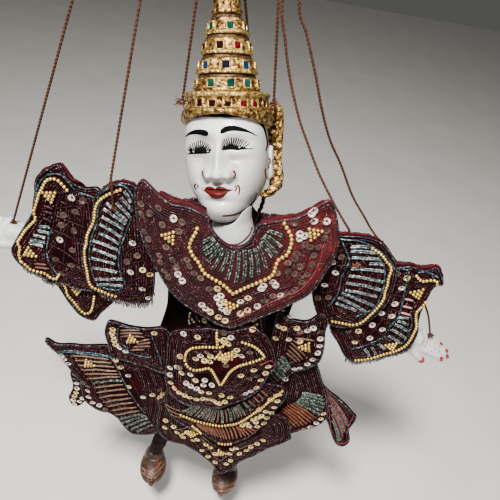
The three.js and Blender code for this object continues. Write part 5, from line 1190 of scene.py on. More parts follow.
def ring_at(z):
    """Half width, front, back and widest depth of the head at height z, smooth between the measured rings."""
    Z = RINGS[:, 0]
    i = int(np.clip(np.searchsorted(Z, z) - 1, 0, len(Z) - 2))
    h = Z[i + 1] - Z[i]
    t = (z - Z[i]) / h

    def slope(k):
        a, b = max(k - 1, 0), min(k + 1, len(Z) - 1)
        return (RINGS[b, 1:] - RINGS[a, 1:]) / (Z[b] - Z[a])
    p0, p1, m0, m1 = RINGS[i, 1:], RINGS[i + 1, 1:], slope(i) * h, slope(i + 1) * h
    return p0 * (2 * t ** 3 - 3 * t ** 2 + 1) + m0 * (t ** 3 - 2 * t ** 2 + t) + p1 * (-2 * t ** 3 + 3 * t ** 2) + m1 * (t ** 3 - t ** 2)


def g2(x, z, cx, cz, sx, sz):
    return math.exp(-((x - cx) / sx) ** 2 - ((z - cz) / sz) ** 2)


NOSE_Z = [(-11.5, 0.0), (-10.0, 2.5), (-8.5, 5.4), (-7.0, 7.6), (-5.0, 8.2), (-2.0, 7.5), (2, 6.2), (7, 4.8), (11, 3.5), (15, 2.0), (19, 0.6), (24, 0.0)]


def nose_h(z):
    for (z0, h0), (z1, h1) in zip(NOSE_Z[:-1], NOSE_Z[1:]):
        if z0 <= z <= z1:
            t = (z - z0) / (z1 - z0)
            return h0 + (h1 - h0) * t
    return 0.0


def feature(x, z):
    """How far the carved face stands out from the plain head, in mm."""
    ax = abs(x)
    wz = np.interp(z, [-11, -7, -3, 2, 7, 12, 18], [4.0, 4.2, 3.8, 3.2, 2.9, 3.0, 4.0])
    ridge = nose_h(z) * math.exp(-(ax / wz) ** 2.2)
    tip = 10.6 * math.exp(-((ax / 4.9) ** 2 + ((z + 6.6) / (3.9 if z < -6.6 else 4.8)) ** 2) ** 1.3)
    wing = 6.6 * math.exp(-((((ax - 6.7) / 3.3) ** 2 + ((z + 6.8) / (3.3 if z < -6.8 else 4.2)) ** 2) * 1.1) ** 1.6)
    h = math.log(math.exp(ridge * 1.1) + math.exp(tip * 1.1) + math.exp(wing * 1.1) - 2.0) / 1.1
    h -= 2.6 * g2(ax, z, 10.0, 12.0, 6.6, 4.4)                    # socket under the brow
    h += 2.3 * g2(ax, z, 12.4, 8.2, 8.0, 3.6)                     # lowered lid
    h -= 0.9 * g2(ax, z, 12.0, 3.0, 8.5, 1.9)                     # under the lid
    h += 1.4 * g2(ax, z, 12.0, 19.5, 10.5, 3.4)                   # brow
    h += 1.7 * g2(ax, z, 15.0, -6.0, 7.5, 8.5)                    # cheek
    h -= 1.7 * g2(ax, z, 10.4, -9.0, 2.8, 7.0)                    # fold beside the nose
    h += 1.7 * g2(x, z, -0.6, -17.0, 10.0, 6.4)                   # muzzle
    h += 1.5 * g2(ax, z, 3.0, -14.8, 3.8, 1.4)                    # upper lip
    h += 0.8 * g2(ax, z, 8.0, -15.4, 3.0, 1.1)
    h += 2.2 * g2(x, z, -0.4, -18.8, 5.4, 2.2)                    # lower lip
    h -= 1.7 * g2(x, z, -0.8, -16.1, 9.4, 0.75)                   # line between the lips
    h -= 0.6 * g2(x, z, -0.6, -12.6, 1.2, 1.4)                    # philtrum
    h -= 1.3 * g2(x, z, -0.2, -23.2, 7.5, 1.7)
    h += 1.9 * g2(x, z, 0.2, -29.5, 7.5, 4.4)                     # chin
    return h


def local_to_row(p):
    q = HEAD_ROT @ Vector(p) + HEAD_POS
    return T(q.x, q.y, q.z)


angles = list(np.linspace(-math.pi * 0.985, -math.pi * 0.015, 210)) + list(np.linspace(0.02, math.pi - 0.02, 56))
zs = list(np.linspace(-38, 28.4, 165))
verts, faces = [], []
na = len(angles)
for z in zs:
    w, f, b, cy = ring_at(z)
    for a in angles:
        c, s = math.cos(a), math.sin(a)
        e = 2 / 2.3
        x = w * math.copysign(abs(c) ** e, c)
        y = cy + (cy - f if s < 0 else b - cy) * math.copysign(abs(s) ** e, s)
        if s < 0:
            fall = max(0.0, min(1.0, (-s) * 2.2))
            y -= feature(x, z) * fall
        verts.append(local_to_row((x, y, z)))
base = len(verts)
cap = [(0.72, -38.7), (0.36, -39.0)]
for k_, zc_ in cap:
    for i in range(na):
        c, s = math.cos(angles[i]), math.sin(angles[i])
        e = 2 / 2.3
        verts.append(local_to_row((7.5 * k_ * math.copysign(abs(c) ** e, c), -13.75 + (-10 + 13.75) * k_ + 7.75 * k_ * math.copysign(abs(s) ** e, s), zc_)))
for r in range(len(zs) - 1):
    for i in range(na):
        a, b2 = r * na + i, r * na + (i + 1) % na
        faces.append((a, b2, b2 + na, a + na))
lo = len(verts)
verts.append(local_to_row((0, -13.75, -39.05)))
verts.append(local_to_row((0, 0, 28.4)))
for i in range(na):
    j = (i + 1) % na
    faces.append((base + i, base + j, j, i))
    faces.append((base + na + i, base + na + j, base + j, base + i))
    faces.append((lo, base + na + j, base + na + i))
    faces.append((lo + 1, (len(zs) - 1) * na + i, (len(zs) - 1) * na + j))
head = obj_from("face_and_skull", verts, faces, [FACE_LACQUER, HAIR])
# per-point painted shade on the face: darker under and beside the nose, in the fold beside it, under the lid and brow,
# under the lower lip, towards the sides and the bottom of the face, with a flat amount on the back and under the jaw;
# it also darkens a spot on the nose tip
age = []
for z in zs:
    w, f, b, cy = ring_at(z)
    for a in angles:
        c, s = math.cos(a), math.sin(a)
        x = w * math.copysign(abs(c) ** (2 / 2.3), c)
        ax = abs(x)
        v = 0.80 * g2(ax, z, 0.0, -12.4, 7.5, 1.8) + 0.50 * g2(x, z, -0.8, -8.4, 1.7, 2.0) + 0.45 * g2(ax, z, 9.8, -9.4, 2.2, 2.4) + 0.36 * g2(ax, z, 7.4, 1.5, 3.0, 9.0)
        v += 0.36 * g2(ax, z, 12.5, 1.8, 8.0, 2.0) + 0.26 * g2(ax, z, 10.5, 13.5, 6.5, 2.6) + 0.30 * g2(ax, z, 10.8, -8.0, 1.8, 7.0)
        v += 0.42 * g2(x, z, -0.2, -23.0, 7.0, 1.3) + 0.30 * max(0.0, min(1.0, (ax - 19) / 7.0)) + 0.30 * max(0.0, min(1.0, (-26 - z) / 9.0))
        age.append(min(0.85, v) if s < 0.2 else 0.3)
age += [0.4] * (len(verts) - len(age))
at = head.data.attributes.new("age", "FLOAT", "POINT")
at.data.foreach_set("value", age)
hair_faces = []
for r in range(len(zs) - 1):
    for i in range(na):
        s_ = math.sin(angles[i])
        edge_ = -17 + 2.5 * math.sin(angles[i] * 9)
        hair_faces.append(1 if s_ > 0.30 and zs[r] > edge_ else 0)
hair_faces += [0] * (len(faces) - len(hair_faces))
head.data.polygons.foreach_set("material_index", hair_faces)
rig.ride(head, "head")
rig.replaces(head, "head")
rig.slot(head, "lacquer_white")

# carved ears
for side in (-1, 1):
    V_, F_ = [], []
    nu, nv = 40, 22
    for j in range(nv + 1):
        rr = j / nv
        for i in range(nu):
            a = 2 * math.pi * i / nu
            yy = 5.2 * rr * math.cos(a) * (1 + 0.12 * math.sin(a))
            zz = 12.2 * rr * math.sin(a) - 0.6 * rr
            rim = math.exp(-((rr - 0.84) / 0.11) ** 2)
            inner = math.exp(-((rr - 0.52) / 0.12) ** 2) * (0.5 + 0.5 * math.cos(a - math.pi))
            out = 1.9 * (1 - rr ** 6) ** 0.5 + 1.0 * rim + 0.7 * inner - 1.1 * math.exp(-(rr / 0.4) ** 2)
            lobe = 0.9 * math.exp(-((zz + 8.6) / 2.6) ** 2) * (1 - rr ** 4)
            V_.append((side * (27.0 + out + lobe), 11.5 + yy + 0.10 * zz, -0.5 + zz))
    for j in range(nv):
        for i in range(nu):
            a, b2 = j * nu + i, j * nu + (i + 1) % nu
            F_.append((a, a + nu, b2 + nu, b2) if side > 0 else (a, b2, b2 + nu, a + nu))
    n0 = len(V_)
    for i in range(nu):      # back of the ear runs into the head
        x, y, z = V_[nv * nu + i]
        V_.append((side * 24.4, 11.5 + (y - 11.5) * 0.9, -0.5 + (z + 0.5) * 0.93))
    for i in range(nu):
        a, b2 = nv * nu + i, nv * nu + (i + 1) % nu
        c_, d_ = n0 + i, n0 + (i + 1) % nu
        F_.append((a, c_, d_, b2) if side > 0 else (a, b2, d_, c_))
    ear = obj_from("ear_" + ("l" if side > 0 else "r"), [local_to_row(p) for p in V_], F_, LACQUER)
    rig.ride(ear, "head")
    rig.slot(ear, "lacquer_white")
    if side > 0:
        ear_l = ear
    else:
        ear_r = ear

HEAD_TREE = tree_of([head, ear_l, ear_r])


def face_px(x, y):
    """Position in the 500 x 500 picture from a position on the enlarged face."""
    return 170 + x / 12.25, 90 + y / 12.25


def painted(name, shapes, material, tree=None, lift=0.00016, conv=face_px, body="head", step=0.55, slot="lacquer_white"):
    """Thin paint laid on the carved surface: closed outlines, filled."""
    V_, F_ = [], []
    for poly in shapes:
        L = resample([conv(*p) for p in poly], 0.45, closed=True)
        poly2 = [(float(p[0]), float(p[1])) for p in L]
        pts = [Vector(p) for p in poly2]
        nb = len(pts)
        A = np.array(poly2)
        gx, gy = np.meshgrid(np.arange(A[:, 0].min(), A[:, 0].max(), step), np.arange(A[:, 1].min(), A[:, 1].max(), step))
        G = np.stack([gx.ravel(), gy.ravel()], 1)
        if len(G):
            ok = inside_many(poly2, G[:, 0], G[:, 1]) & (dist_many(poly2, G[:, 0], G[:, 1]) > step * 0.5)
            pts += [Vector(p) for p in G[ok]]
        vs, _, fs, *_ = delaunay_2d_cdt(pts, [(i, (i + 1) % nb) for i in range(nb)], [list(range(nb))], 1, 1e-5)
        base = len(V_)
        good = []
        for p in vs:
            h = cast(tree or HEAD_TREE, p.x, p.y)
            good.append(h is not None)
            V_.append(h[0] + h[1] * lift if h else CAM)
        for f in fs:
            if all(good[i] for i in f):
                pts3 = [V_[i + base] for i in f]
                if max((pts3[k] - pts3[k - 1]).length for k in range(len(f))) > 0.004:
                    continue
                nn = (pts3[1] - pts3[0]).cross(pts3[2] - pts3[0])
                ff = tuple(i + base for i in f)
                F_.append(ff if nn.dot(CAM - pts3[0]) > 0 else ff[::-1])
    used = sorted({i for f in F_ for i in f})
    idx = {k: i for i, k in enumerate(used)}
    o = obj_from(name, [V_[k] for k in used], [tuple(idx[i] for i in f) for f in F_], material)
    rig.ride(o, body)
    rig.slot(o, slot)
    return o


def stroke(pts, w0, w1=None, mid=None):
    """Outline of a painted line through pts, in face units, thin at its ends if asked."""
    P = resample(catmull(pts, 6.0) if len(pts) > 2 else pts, 6.0)
    n = len(P)
    w1 = w0 if w1 is None else w1
    a, b = [], []
    for i, p in enumerate(P):
        t = i / (n - 1)
        w = (w0 * (1 - t) + w1 * t) if mid is None else ((w0 * (1 - 2 * t) + mid * 2 * t) if t < 0.5 else (mid * (2 - 2 * t) + w1 * (2 * t - 1)))
        d = np.array(P[min(i + 1, n - 1)]) - np.array(P[max(i - 1, 0)])
        d = d / (np.linalg.norm(d) + 1e-9)
        nn = np.array([-d[1], d[0]]) * w / 2
        a.append(tuple(p + nn))
        b.append(tuple(p - nn))
    return a + b[::-1]


brow_l = [(183, 578), (210, 540), (250, 507), (310, 486), (370, 481), (430, 488), (465, 508), (474, 535), (457, 562), (420, 562), (380, 549), (330, 541), (280, 541), (235, 551), (205, 566)]
brow_r = [(612, 522), (624, 482), (665, 450), (720, 437), (790, 437), (860, 451), (930, 479), (1000, 515), (1082, 568), (1060, 561), (990, 531), (930, 516), (860, 505), (800, 501), (755, 500), (700, 511), (660, 531), (624, 537)]
lid_l = [(200, 782), (238, 770), (262, 758), (290, 742), (322, 728), (360, 721), (402, 722), (440, 732), (468, 744), (486, 754), (498, 762), (490, 772), (440, 779), (380, 782), (300, 782), (240, 784)]
lid_r = [(632, 700), (648, 708), (662, 702), (698, 684), (740, 674), (782, 676), (822, 685), (862, 696), (900, 706), (960, 714), (1002, 712), (1037, 703), (1012, 720), (975, 729), (920, 728), (872, 733), (830, 740), (760, 733), (700, 737), (662, 738), (648, 722)]
lash_l = [((258, 756), (218, 724)), ((262, 742), (228, 694)), ((274, 728), (240, 664)), ((290, 712), (268, 640)), ((310, 700), (293, 632)), ((328, 690), (320, 622)), ((348, 682), (347, 616)), ((368, 678), (376, 610)),
          ((388, 680), (404, 616)), ((404, 686), (432, 628)), ((422, 692), (458, 644)), ((438, 702), (480, 658)), ((454, 718), (497, 678)), ((468, 734), (512, 704)), ((478, 748), (516, 728))]
lash_r = [((662, 736), (622, 724)), ((662, 726), (618, 690)), ((664, 712), (628, 652)), ((676, 700), (640, 618)), ((694, 684), (656, 594)), ((712, 674), (684, 590)), ((730, 666), (716, 584)), ((750, 662), (752, 578)),
          ((770, 664), (784, 582)), ((792, 668), (814, 582)), ((812, 678), (846, 592)), ((832, 688), (876, 596)), ((852, 696), (906, 608)), ((874, 704), (942, 624)), ((896, 710), (974, 652))]
shapes = [brow_l, brow_r, lid_l, lid_r]
for (bx, by), (tx, ty) in lash_l + lash_r:
    shapes.append(stroke([(bx + (bx - tx) * 0.2, min(by + (20 if bx > 600 else 48), 726 if bx > 600 else 772)), ((bx + tx) / 2 + 2, (by + ty) / 2), (tx, ty)], 21, 13))
hair = [(150, 330), (260, 290), (330, 270), (470, 250), (560, 240), (650, 240), (740, 240), (820, 250), (920, 270), (1010, 300), (1080, 340), (1130, 395), (1166, 470), (1140, 470), (1096, 418), (1040, 376), (980, 358), (900, 342), (820, 336),
        (740, 340), (650, 338), (560, 330), (440, 330), (360, 338), (250, 358), (170, 380)]
shapes.append(hair)
shapes.append(stroke([(1130, 420), (1158, 490), (1178, 560), (1190, 625), (1186, 690), (1170, 745)], 26, 12))
painted("paint_black", shapes, INK)
painted("paint_white_dots", [[(293 + 9 * math.cos(a), 753 + 9 * math.sin(a)) for a in np.linspace(0, 5.8, 12)], [(464 + 8 * math.cos(a), 752 + 8 * math.sin(a)) for a in np.linspace(0, 5.8, 12)],
                             [(850 + 10 * math.cos(a), 706 + 7 * math.sin(a)) for a in np.linspace(0, 5.8, 12)]], LACQUER, lift=0.0003)
lips = [(368, 1212), (395, 1218), (420, 1224), (438, 1196), (460, 1182), (490, 1180), (520, 1186), (550, 1206), (575, 1192), (600, 1184), (650, 1186), (695, 1208), (735, 1218), (772, 1222), (750, 1234), (715, 1250), (680, 1286),
        (650, 1312), (620, 1328), (590, 1336), (555, 1335), (520, 1322), (485, 1292), (450, 1262), (420, 1238), (392, 1224)]
painted("paint_lips", [lips], LIP)
reds = [stroke([(404, 988), (396, 1015), (402, 1040), (422, 1060)], 22, 13), stroke([(770, 988), (792, 1012), (800, 1035), (790, 1060), (778, 1078)], 24, 14),
        stroke([(322, 1148), (304, 1166), (304, 1190), (326, 1216)], 22, 13), stroke([(352, 1164), (342, 1176), (346, 1196)], 18, 11),
        stroke([(822, 1164), (846, 1188), (852, 1225), (838, 1282)], 25, 14), stroke([(798, 1174), (812, 1196), (808, 1222), (795, 1246)], 22, 12),
        stroke([(640, 1540), (700, 1538), (760, 1530), (820, 1515), (870, 1494), (920, 1466), (965, 1436), (1000, 1400), (1026, 1362), (1052, 1304), (1066, 1262)], 16, 14, 26),
        stroke([(1200, 700), (1212, 676), (1232, 668), (1262, 684)], 20, 15), stroke([(1212, 832), (1226, 858), (1222, 890), (1206, 920), (1212, 960)], 21, 16),
        stroke([(1268, 852), (1248, 878), (1250, 908), (1268, 940)], 20, 15), stroke([(1172, 958), (1164, 1000), (1168, 1040), (1178, 1074)], 17, 14)]
painted("paint_red_lines", reds, RED_PAINT)
seam = stroke([(398, 1222), (450, 1226), (500, 1222), (550, 1232), (600, 1222), (660, 1222), (720, 1222), (752, 1226)], 4, 4, 9)
painted("paint_lip_seam", [seam], RED_DARK, lift=0.00024)


# ---------------------------------------------------------------- crown
def gem_rows():
    """Angles (degrees, about the head's own axis) and stones of each row: the seen ones, then the spacing carried on around the back."""
    rows = {"t4": (82.6, 11.2, [(212.5, 25.5), (230, 25.5), (243.4, 25.5)], ["green", "green", "green"], 4),
            "t3": (70.5, 14.6, [(205.6, 46), (220.4, 46), (237, 46), (248.8, 46)], ["dark", "dark", "red", "dark"], 5),
            "t2": (59.0, 17.5, [(206.7, 66), (225.8, 66), (245, 66)], ["blue", "darkblue", "blue"], 5),
            "t1": (48.6, 20.2, [(197, 83), (211.7, 83), (230.7, 83), (246.5, 83), (257, 83)], ["green", "green", "green", "teal", "green"], 6),
            "band": (36.9, 26.5, [(186.8, 104), (199.8, 104), (212, 104), (227.3, 104), (243.7, 104), (254.9, 105), (264, 106)], ["clear", "dark", "dark", "dark", "red", "red", "dark"], 9)}
    out = {}
    inv = HEAD_ROT.transposed()
    cam_mm = Vector((-2.4, -292.9, 558.0))
    c = inv @ (cam_mm - HEAD_POS)
    for name, (z, r, px, kinds, nback) in rows.items():
        angs = []
        for x, y in px:
            d = inv @ (rot @ Vector(((x - 250.0) / 500.0, (250.0 - y) / 500.0, -1.0)))
            a_, b_, c_ = d.x ** 2 + d.y ** 2, 2 * (c.x * d.x + c.y * d.y), c.x ** 2 + c.y ** 2 - r * r
            disc = b_ * b_ - 4 * a_ * c_
            t = (-b_ - math.sqrt(disc)) / (2 * a_) if disc > 0 else -b_ / (2 * a_)
            p = c + d * t
            angs.append(math.degrees(math.atan2(p.y, p.x)))
        lo_, hi_ = angs[0], angs[-1]
        while lo_ > hi_:
            lo_ -= 360
        full = [lo_ + 360 - (360 - (hi_ - lo_)) * (i + 1) / (nback + 1) for i in range(nback)]
        out[name] = (angs + full, kinds + [kinds[i % len(kinds)] for i in range(nback)])
    return out


def lathe(profile, seg, shape=None, groups=None):
    """Turned and carved shape in the head's frame: profile of (r, z), shape(angle, r, z) gives the radius."""
    P = resample(profile, 0.55)
    V_, F_ = [], []
    for r, z in P:
        for i in range(seg):
            a = 2 * math.pi * i / seg
            rr = shape(a, r, z) if (shape and r > 2) else r
            V_.append(local_to_row((rr * math.cos(a), rr * math.sin(a), z)))
    n = len(P)
    for j in range(n - 1):
        for i in range(seg):
            F_.append((j * seg + i, j * seg + (i + 1) % seg, (j + 1) * seg + (i + 1) % seg, (j + 1) * seg + i))
    F_.append(tuple(range(seg))[::-1])
    F_.append(tuple(range((n - 1) * seg, n * seg)))
    return V_, F_


def chisel(a, z, k, amp, seed=0.0):
    """Uneven hand-cut facets."""
    return amp * (math.sin(k * a + 1.7 * math.sin(z * 0.9 + seed)) * 0.5 + 0.5 * math.sin(2.3 * k * a + seed * 3 + z * 1.3) * math.sin(z * 1.7 + a * 5))


def gem_mesh(a, r, z, size, tilt):
    """Square cut stone in a raised setting; returns the setting and the stone."""
    c = Vector((r * math.cos(a), r * math.sin(a), z))
    n = Vector((math.cos(a) * math.cos(tilt), math.sin(a) * math.cos(tilt), math.sin(tilt)))
    u = Vector((-math.sin(a), math.cos(a), 0))
    v = n.cross(u)
    h = size / 2

    def P(x, y, d):
        return local_to_row(tuple(c + u * x + v * y + n * d))
    sv, sf = [], []
    loops = [(h + 1.0, -1.0), (h + 0.9, 0.45), (h + 0.45, 0.95), (h + 0.05, 0.75), (h - 0.05, -0.2)]
    for s_, d in loops:
        for x, y in ((-1, -1), (0, -1.06), (1, -1), (1.06, 0), (1, 1), (0, 1.06), (-1, 1), (-1.06, 0)):
            sv.append(P(x * s_, y * s_, d + 0.12 * math.sin(x * 3 + y * 5 + a * 7)))
    for j in range(len(loops) - 1):
        for i in range(8):
            sf.append((j * 8 + i, j * 8 + (i + 1) % 8, (j + 1) * 8 + (i + 1) % 8, (j + 1) * 8 + i))
    sf.append(tuple(range(8))[::-1])
    sf.append(tuple(range((len(loops) - 1) * 8, len(loops) * 8)))
    gv, gf = [], []
    for s_, d in ((h, -0.1), (h * 0.98, 0.35), (h * 0.66, 0.72)):
        for x, y in ((-1, -1), (1, -1), (1, 1), (-1, 1)):
            gv.append(P(x * s_, y * s_, d))
    for j in range(2):
        for i in range(4):
            gf.append((j * 4 + i, j * 4 + (i + 1) % 4, (j + 1) * 4 + (i + 1) % 4, (j + 1) * 4 + i))
    gf.append((8, 9, 10, 11))
    gf.append((3, 2, 1, 0))
    return sv, sf, gv, gf


def tier(node, z0, z1, r_lip, prof, seed, gems=None, arch=0.0, lip_z=None, lip_h=1.3, groove=None):
    """One drum of the crown: a pale rope-like lip at its foot, a chased drum that narrows upward, and a groove at its
    top laid in dark gilding as painted shadow under the next tier's lip.
    """
    lz = z0 + 1.4 if lip_z is None else lip_z

    def shape(a, r, z):
        lip = math.exp(-((z - lz) / lip_h) ** 2)
        k = 34
        rope = 0.36 * math.cos(k * a + 2.2 * (z - lz)) + 0.22 * math.sin(11 * a + seed)
        return r + lip * rope - 0.15 * lip + chisel(a, z, 9, 0.34, seed) * (1 - lip)
    P = resample(prof, 0.5)
    seg_ = 168
    sp = Soup()
    V_ = []
    for r, z in P:
        for i in range(seg_):
            a = 2 * math.pi * i / seg_
            rr = shape(a, r, z) if r > 2 else r
            low = ((1 - max(0.0, -math.sin(a)) ** 1.6) * arch * max(0.0, min(1.0, (33.5 - z) / 4.5)) - 2.6 * max(0.0, -math.sin(a)) ** 2 * max(0.0, min(1.0, (34.5 - z) / 4.5))) if arch else 0.0
            V_.append(local_to_row((rr * math.cos(a), rr * math.sin(a), z - low)))
    n = len(P)
    groups = {0: [], 1: [], 2: []}
    for j in range(n - 1):
        zc = (P[j][1] + P[j + 1][1]) / 2
        # group 2, the top of the drum under the next tier's lip, takes the dark gilding as painted shadow
        g = 1 if abs(zc - lz) < lip_h * 1.15 else (2 if groove and zc > groove else 0)
        for i in range(seg_):
            groups[g].append((j * seg_ + i, j * seg_ + (i + 1) % seg_, (j + 1) * seg_ + (i + 1) % seg_, (j + 1) * seg_ + i))
    groups[0].append(tuple(range(seg_))[::-1])
    groups[0].append(tuple(range((n - 1) * seg_, n * seg_)))
    n0 = len(sp.v)
    sp.v += [tuple(p) for p in V_]
    for g, fs in groups.items():
        sp.f += fs
        sp.m += [g] * len(fs)
    mats = [GILT, GILT_BRIGHT, GILT_PAINTED_SHADOW]
    for zc, size, kind, angs, rg in (gems or []):
        names = kind if isinstance(kind, (list, tuple)) else [kind]
        for k, deg in enumerate(angs):
            gk = names[k % len(names)]
            if GEMS[gk] not in mats:
                mats.append(GEMS[gk])
            sv, sf, gv, gf = gem_mesh(math.radians(deg), rg, zc, size, 0.10)
            sp.add(sv, sf, 1)
            sp.add(gv, gf, mats.index(GEMS[gk]))
    o = sp.build("gilt_" + node, mats)
    for pl in o.data.polygons:
        if pl.material_index >= 3:
            pl.use_smooth = False
    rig.ride(o, "head")
    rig.replaces(o, node)
    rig.slot(o, "gilding")
    return o


def rest(angs, n, start, stop):
    """The same spacing carried on around the back."""
    return list(angs) + [start + (stop - start) * (i + 0.5) / n for i in range(n)]


GEM_ROWS = gem_rows()
band_prof = [(0, 27.9), (26.2, 27.9), (28.7, 27.7), (29.9, 29.0), (30.1, 31.0), (29.4, 32.6), (27.6, 33.4), (26.7, 34.4), (26.8, 38.6), (27.2, 40.0), (27.6, 40.6), (28.2, 41.6), (27.9, 42.8), (26.6, 43.6), (23.6, 43.9), (0, 43.9)]
tier("crown_band", 27.7, 43.9, 29, band_prof, 0.4, gems=[(36.8, 4.2, GEM_ROWS["band"][1], GEM_ROWS["band"][0], 26.3)], arch=5.0, lip_z=42.0, lip_h=1.2)
for node, z0, z1, rl, rn, rt, seed, row, zg, size, rg in (("crown_tier_1", 44.0, 54.1, 22.5, 21.0, 19.5, 1.3, "t1", 48.6, 4.3, 20.95), ("crown_tier_2", 54.4, 65.7, 20.3, 18.4, 16.7, 2.1, "t2", 59.4, 4.2, 18.25),
                                                      ("crown_tier_3", 66.0, 77.5, 17.1, 15.5, 13.9, 3.2, "t3", 70.9, 4.0, 15.35), ("crown_tier_4", 77.8, 89.5, 14.3, 12.1, 10.4, 4.4, "t4", 82.6, 3.8, 11.95)):
    if row == "t1":
        prof = [(0, z0), (rn + 0.2, z0), (rn + 0.4, z0 + 0.6), (rn + 0.2, z0 + 2.0), (rn, z0 + 3.0)]
    else:
        prof = [(0, z0), (rl - 1.2, z0), (rl - 0.3, z0 + 0.25), (rl, z0 + 0.9), (rl - 0.1, z0 + 1.6), (rl - 0.9, z0 + 2.3), (rn, z0 + 2.7)]
    prof += [((rn + rt) / 2 + 0.2, (z0 + z1) / 2 + 1.2), (rt + 0.55, z1 - 2.6), (rt - 0.5, z1 - 1.7), (rt - 0.9, z1 - 0.6), (rt - 1.3, z1), (0, z1)]
    tier(node, z0, z1, rl, prof, seed, gems=[(zg, size, GEM_ROWS[row][1], GEM_ROWS[row][0], rg)], lip_z=z0 + 1.0 if row != "t1" else -50, lip_h=1.0, groove=z1 - 2.1)
fin = [(0, 89.8), (9.0, 89.8), (10.0, 90.6), (10.1, 92.0), (8.9, 93.4), (8.5, 94.6), (8.7, 97.6), (8.4, 99.4), (7.3, 101.8), (5.5, 103.8), (5.8, 105.6), (5.9, 107.2), (4.6, 110), (3.4, 112.5), (2.6, 115.5), (1.4, 119.0), (0, 121.8)]


def fin_shape(a, r, z):
    return r + chisel(a, z, 6, 0.22, 5.0) + (0.3 * math.cos(16 * a) if z < 93 else 0.0)


V_, F_ = lathe(fin, 90, fin_shape)
o = obj_from("gilt_crown_finial", V_, F_, GILT)
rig.ride(o, "head")
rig.replaces(o, "crown_finial")
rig.slot(o, "gilding")

# carved flanges behind the ears: a thin scrolled board with a raised rib, curling forward at its foot
FL_OUT = [(25.2, 43.8), (29.6, 44.2), (32.6, 38), (33.5, 24), (33.1, 8), (32.2, -8), (32.5, -17.6), (30.0, -22.0), (26.9, -20.3), (26.3, -10), (25.1, 4), (23.3, 20), (22.9, 32)]
FL_MID = [(27.6, 44.0), (29.4, 36), (29.9, 22), (29.4, 8), (29.2, -8), (29.6, -16), (29.6, -21.6)]
for side in (-1, 1):
    node = "ear_flange_" + ("l" if side > 0 else "r")
    poly = [(float(p[0]), float(p[1])) for p in catmull(FL_OUT, 1.2, closed=True)]
    A = np.array(poly)
    gx, gz = np.meshgrid(np.arange(A[:, 0].min(), A[:, 0].max(), 0.8), np.arange(A[:, 1].min(), A[:, 1].max(), 0.8))
    G = np.stack([gx.ravel(), gz.ravel()], 1)
    G = G[inside_many(poly, G[:, 0], G[:, 1]) & (dist_many(poly, G[:, 0], G[:, 1]) > 0.35)]
    pts = [Vector(p) for p in poly] + [Vector(p) for p in G]
    nb = len(poly)
    vs, _, fs, *_ = delaunay_2d_cdt(pts, [(i, (i + 1) % nb) for i in range(nb)], [list(range(nb))], 1, 1e-5)
    VX = np.array([(p.x, p.y) for p in vs])
    dist = dist_many(poly, VX[:, 0], VX[:, 1])
    mid_ = [(float(p[0]), float(p[1])) for p in catmull(FL_MID, 1.0)]
    dm = np.array([min(math.hypot(p[0] - m_[0], p[1] - m_[1]) for m_ in mid_) for p in VX])
    front, back_ = [], []
    for (x, z), d, m_ in zip(VX, dist, dm):
        edge = 1.1 * min(1.0, math.sqrt(max(d, 0) / 1.3)) + 0.35 * math.exp(-((d - 0.9) / 0.6) ** 2)
        rib = 1.5 * math.exp(-(m_ / 1.3) ** 2)
        scroll = 0.55 * math.sin(z * 0.85 + 1.1 * math.cos(x * 0.8)) * min(1.0, d / 1.2) * (1 - math.exp(-(m_ / 1.2) ** 2))
        fwd = 7.0 * max(0.0, (-13 - z) / 9.0) ** 1.6
        if side > 0:
            x = x + 2.1 * max(0.0, min(1.0, (x - 26.5) / 5.0))
            z = z if z < 28 else 28 + (z - 28) * 0.62
        if side < 0:
            fwd = -7.0 * max(0.0, min(1.0, (30 - z) / 50.0))
            x = 25 + (x - 25) * (1 - 0.5 * max(0.0, min(1.0, (30 - z) / 40.0)))
        front.append(local_to_row((side * x, 20.2 - edge - rib - scroll - fwd, z)))
        back_.append(local_to_row((side * x, 20.2 + 1.3 * min(1.0, math.sqrt(max(d, 0) / 1.0)) - fwd * 0.8, z)))
    n = len(vs)
    faces_, edges_, seen_ = [], {}, set()
    for f in fs:
        a, b, c = [vs[i] for i in f[:3]]
        ccw = (b.x - a.x) * (c.y - a.y) - (b.y - a.y) * (c.x - a.x) > 0
        ff = tuple(f) if ccw == (side > 0) else tuple(f)[::-1]
        faces_.append(ff)
        for i in range(len(ff)):
            e = (ff[i], ff[(i + 1) % len(ff)])
            seen_.add(e)
            edges_[tuple(sorted(e))] = edges_.get(tuple(sorted(e)), 0) + 1
    for ff in list(faces_):
        faces_.append(tuple(i + n for i in ff[::-1]))
    for (a, b), c in edges_.items():
        if c == 1:
            if (a, b) not in seen_:
                a, b = b, a
            faces_.append((b, a, a + n, b + n))
    sp = Soup()
    sp.add(front + back_, faces_, 1 if side > 0 else 0)
    # a broad leaf that curls forward under the ear
    if side > 0:
        curl = catmull([(33.8, 17.5, -1), (34.2, 15.0, -8), (33.4, 11.5, -14.5), (30.4, 7.6, -19.5), (26.4, 5.2, -22.6), (23.6, 4.6, -23.2), (22.8, 5.4, -21.6)], 0.5)
    else:
        curl = catmull([(28.2, 25.5, -1), (28.0, 24.5, -8), (27.2, 23, -13.5), (25.4, 21, -17.5), (23.4, 19.6, -19), (22.6, 19.8, -18)], 0.5)
    pts = [local_to_row((side * p[0], p[1], p[2])) for p in curl]
    v, f = sweep(pts, 0.0044 if side > 0 else 0.003, sides=20, lobes=4, depth=0.22, pitch=0.034, taper=lambda t: (0.30 + 1.4 * t) if t < 0.5 else 1.0 - 0.75 * ((t - 0.5) / 0.5) ** 1.5)
    sp.add(v, f, 1)
    o = sp.build("gilt_" + node, [GILT_AGED, GILT])
    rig.ride(o, "head")
    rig.replaces(o, node)
    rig.slot(o, "gilding")
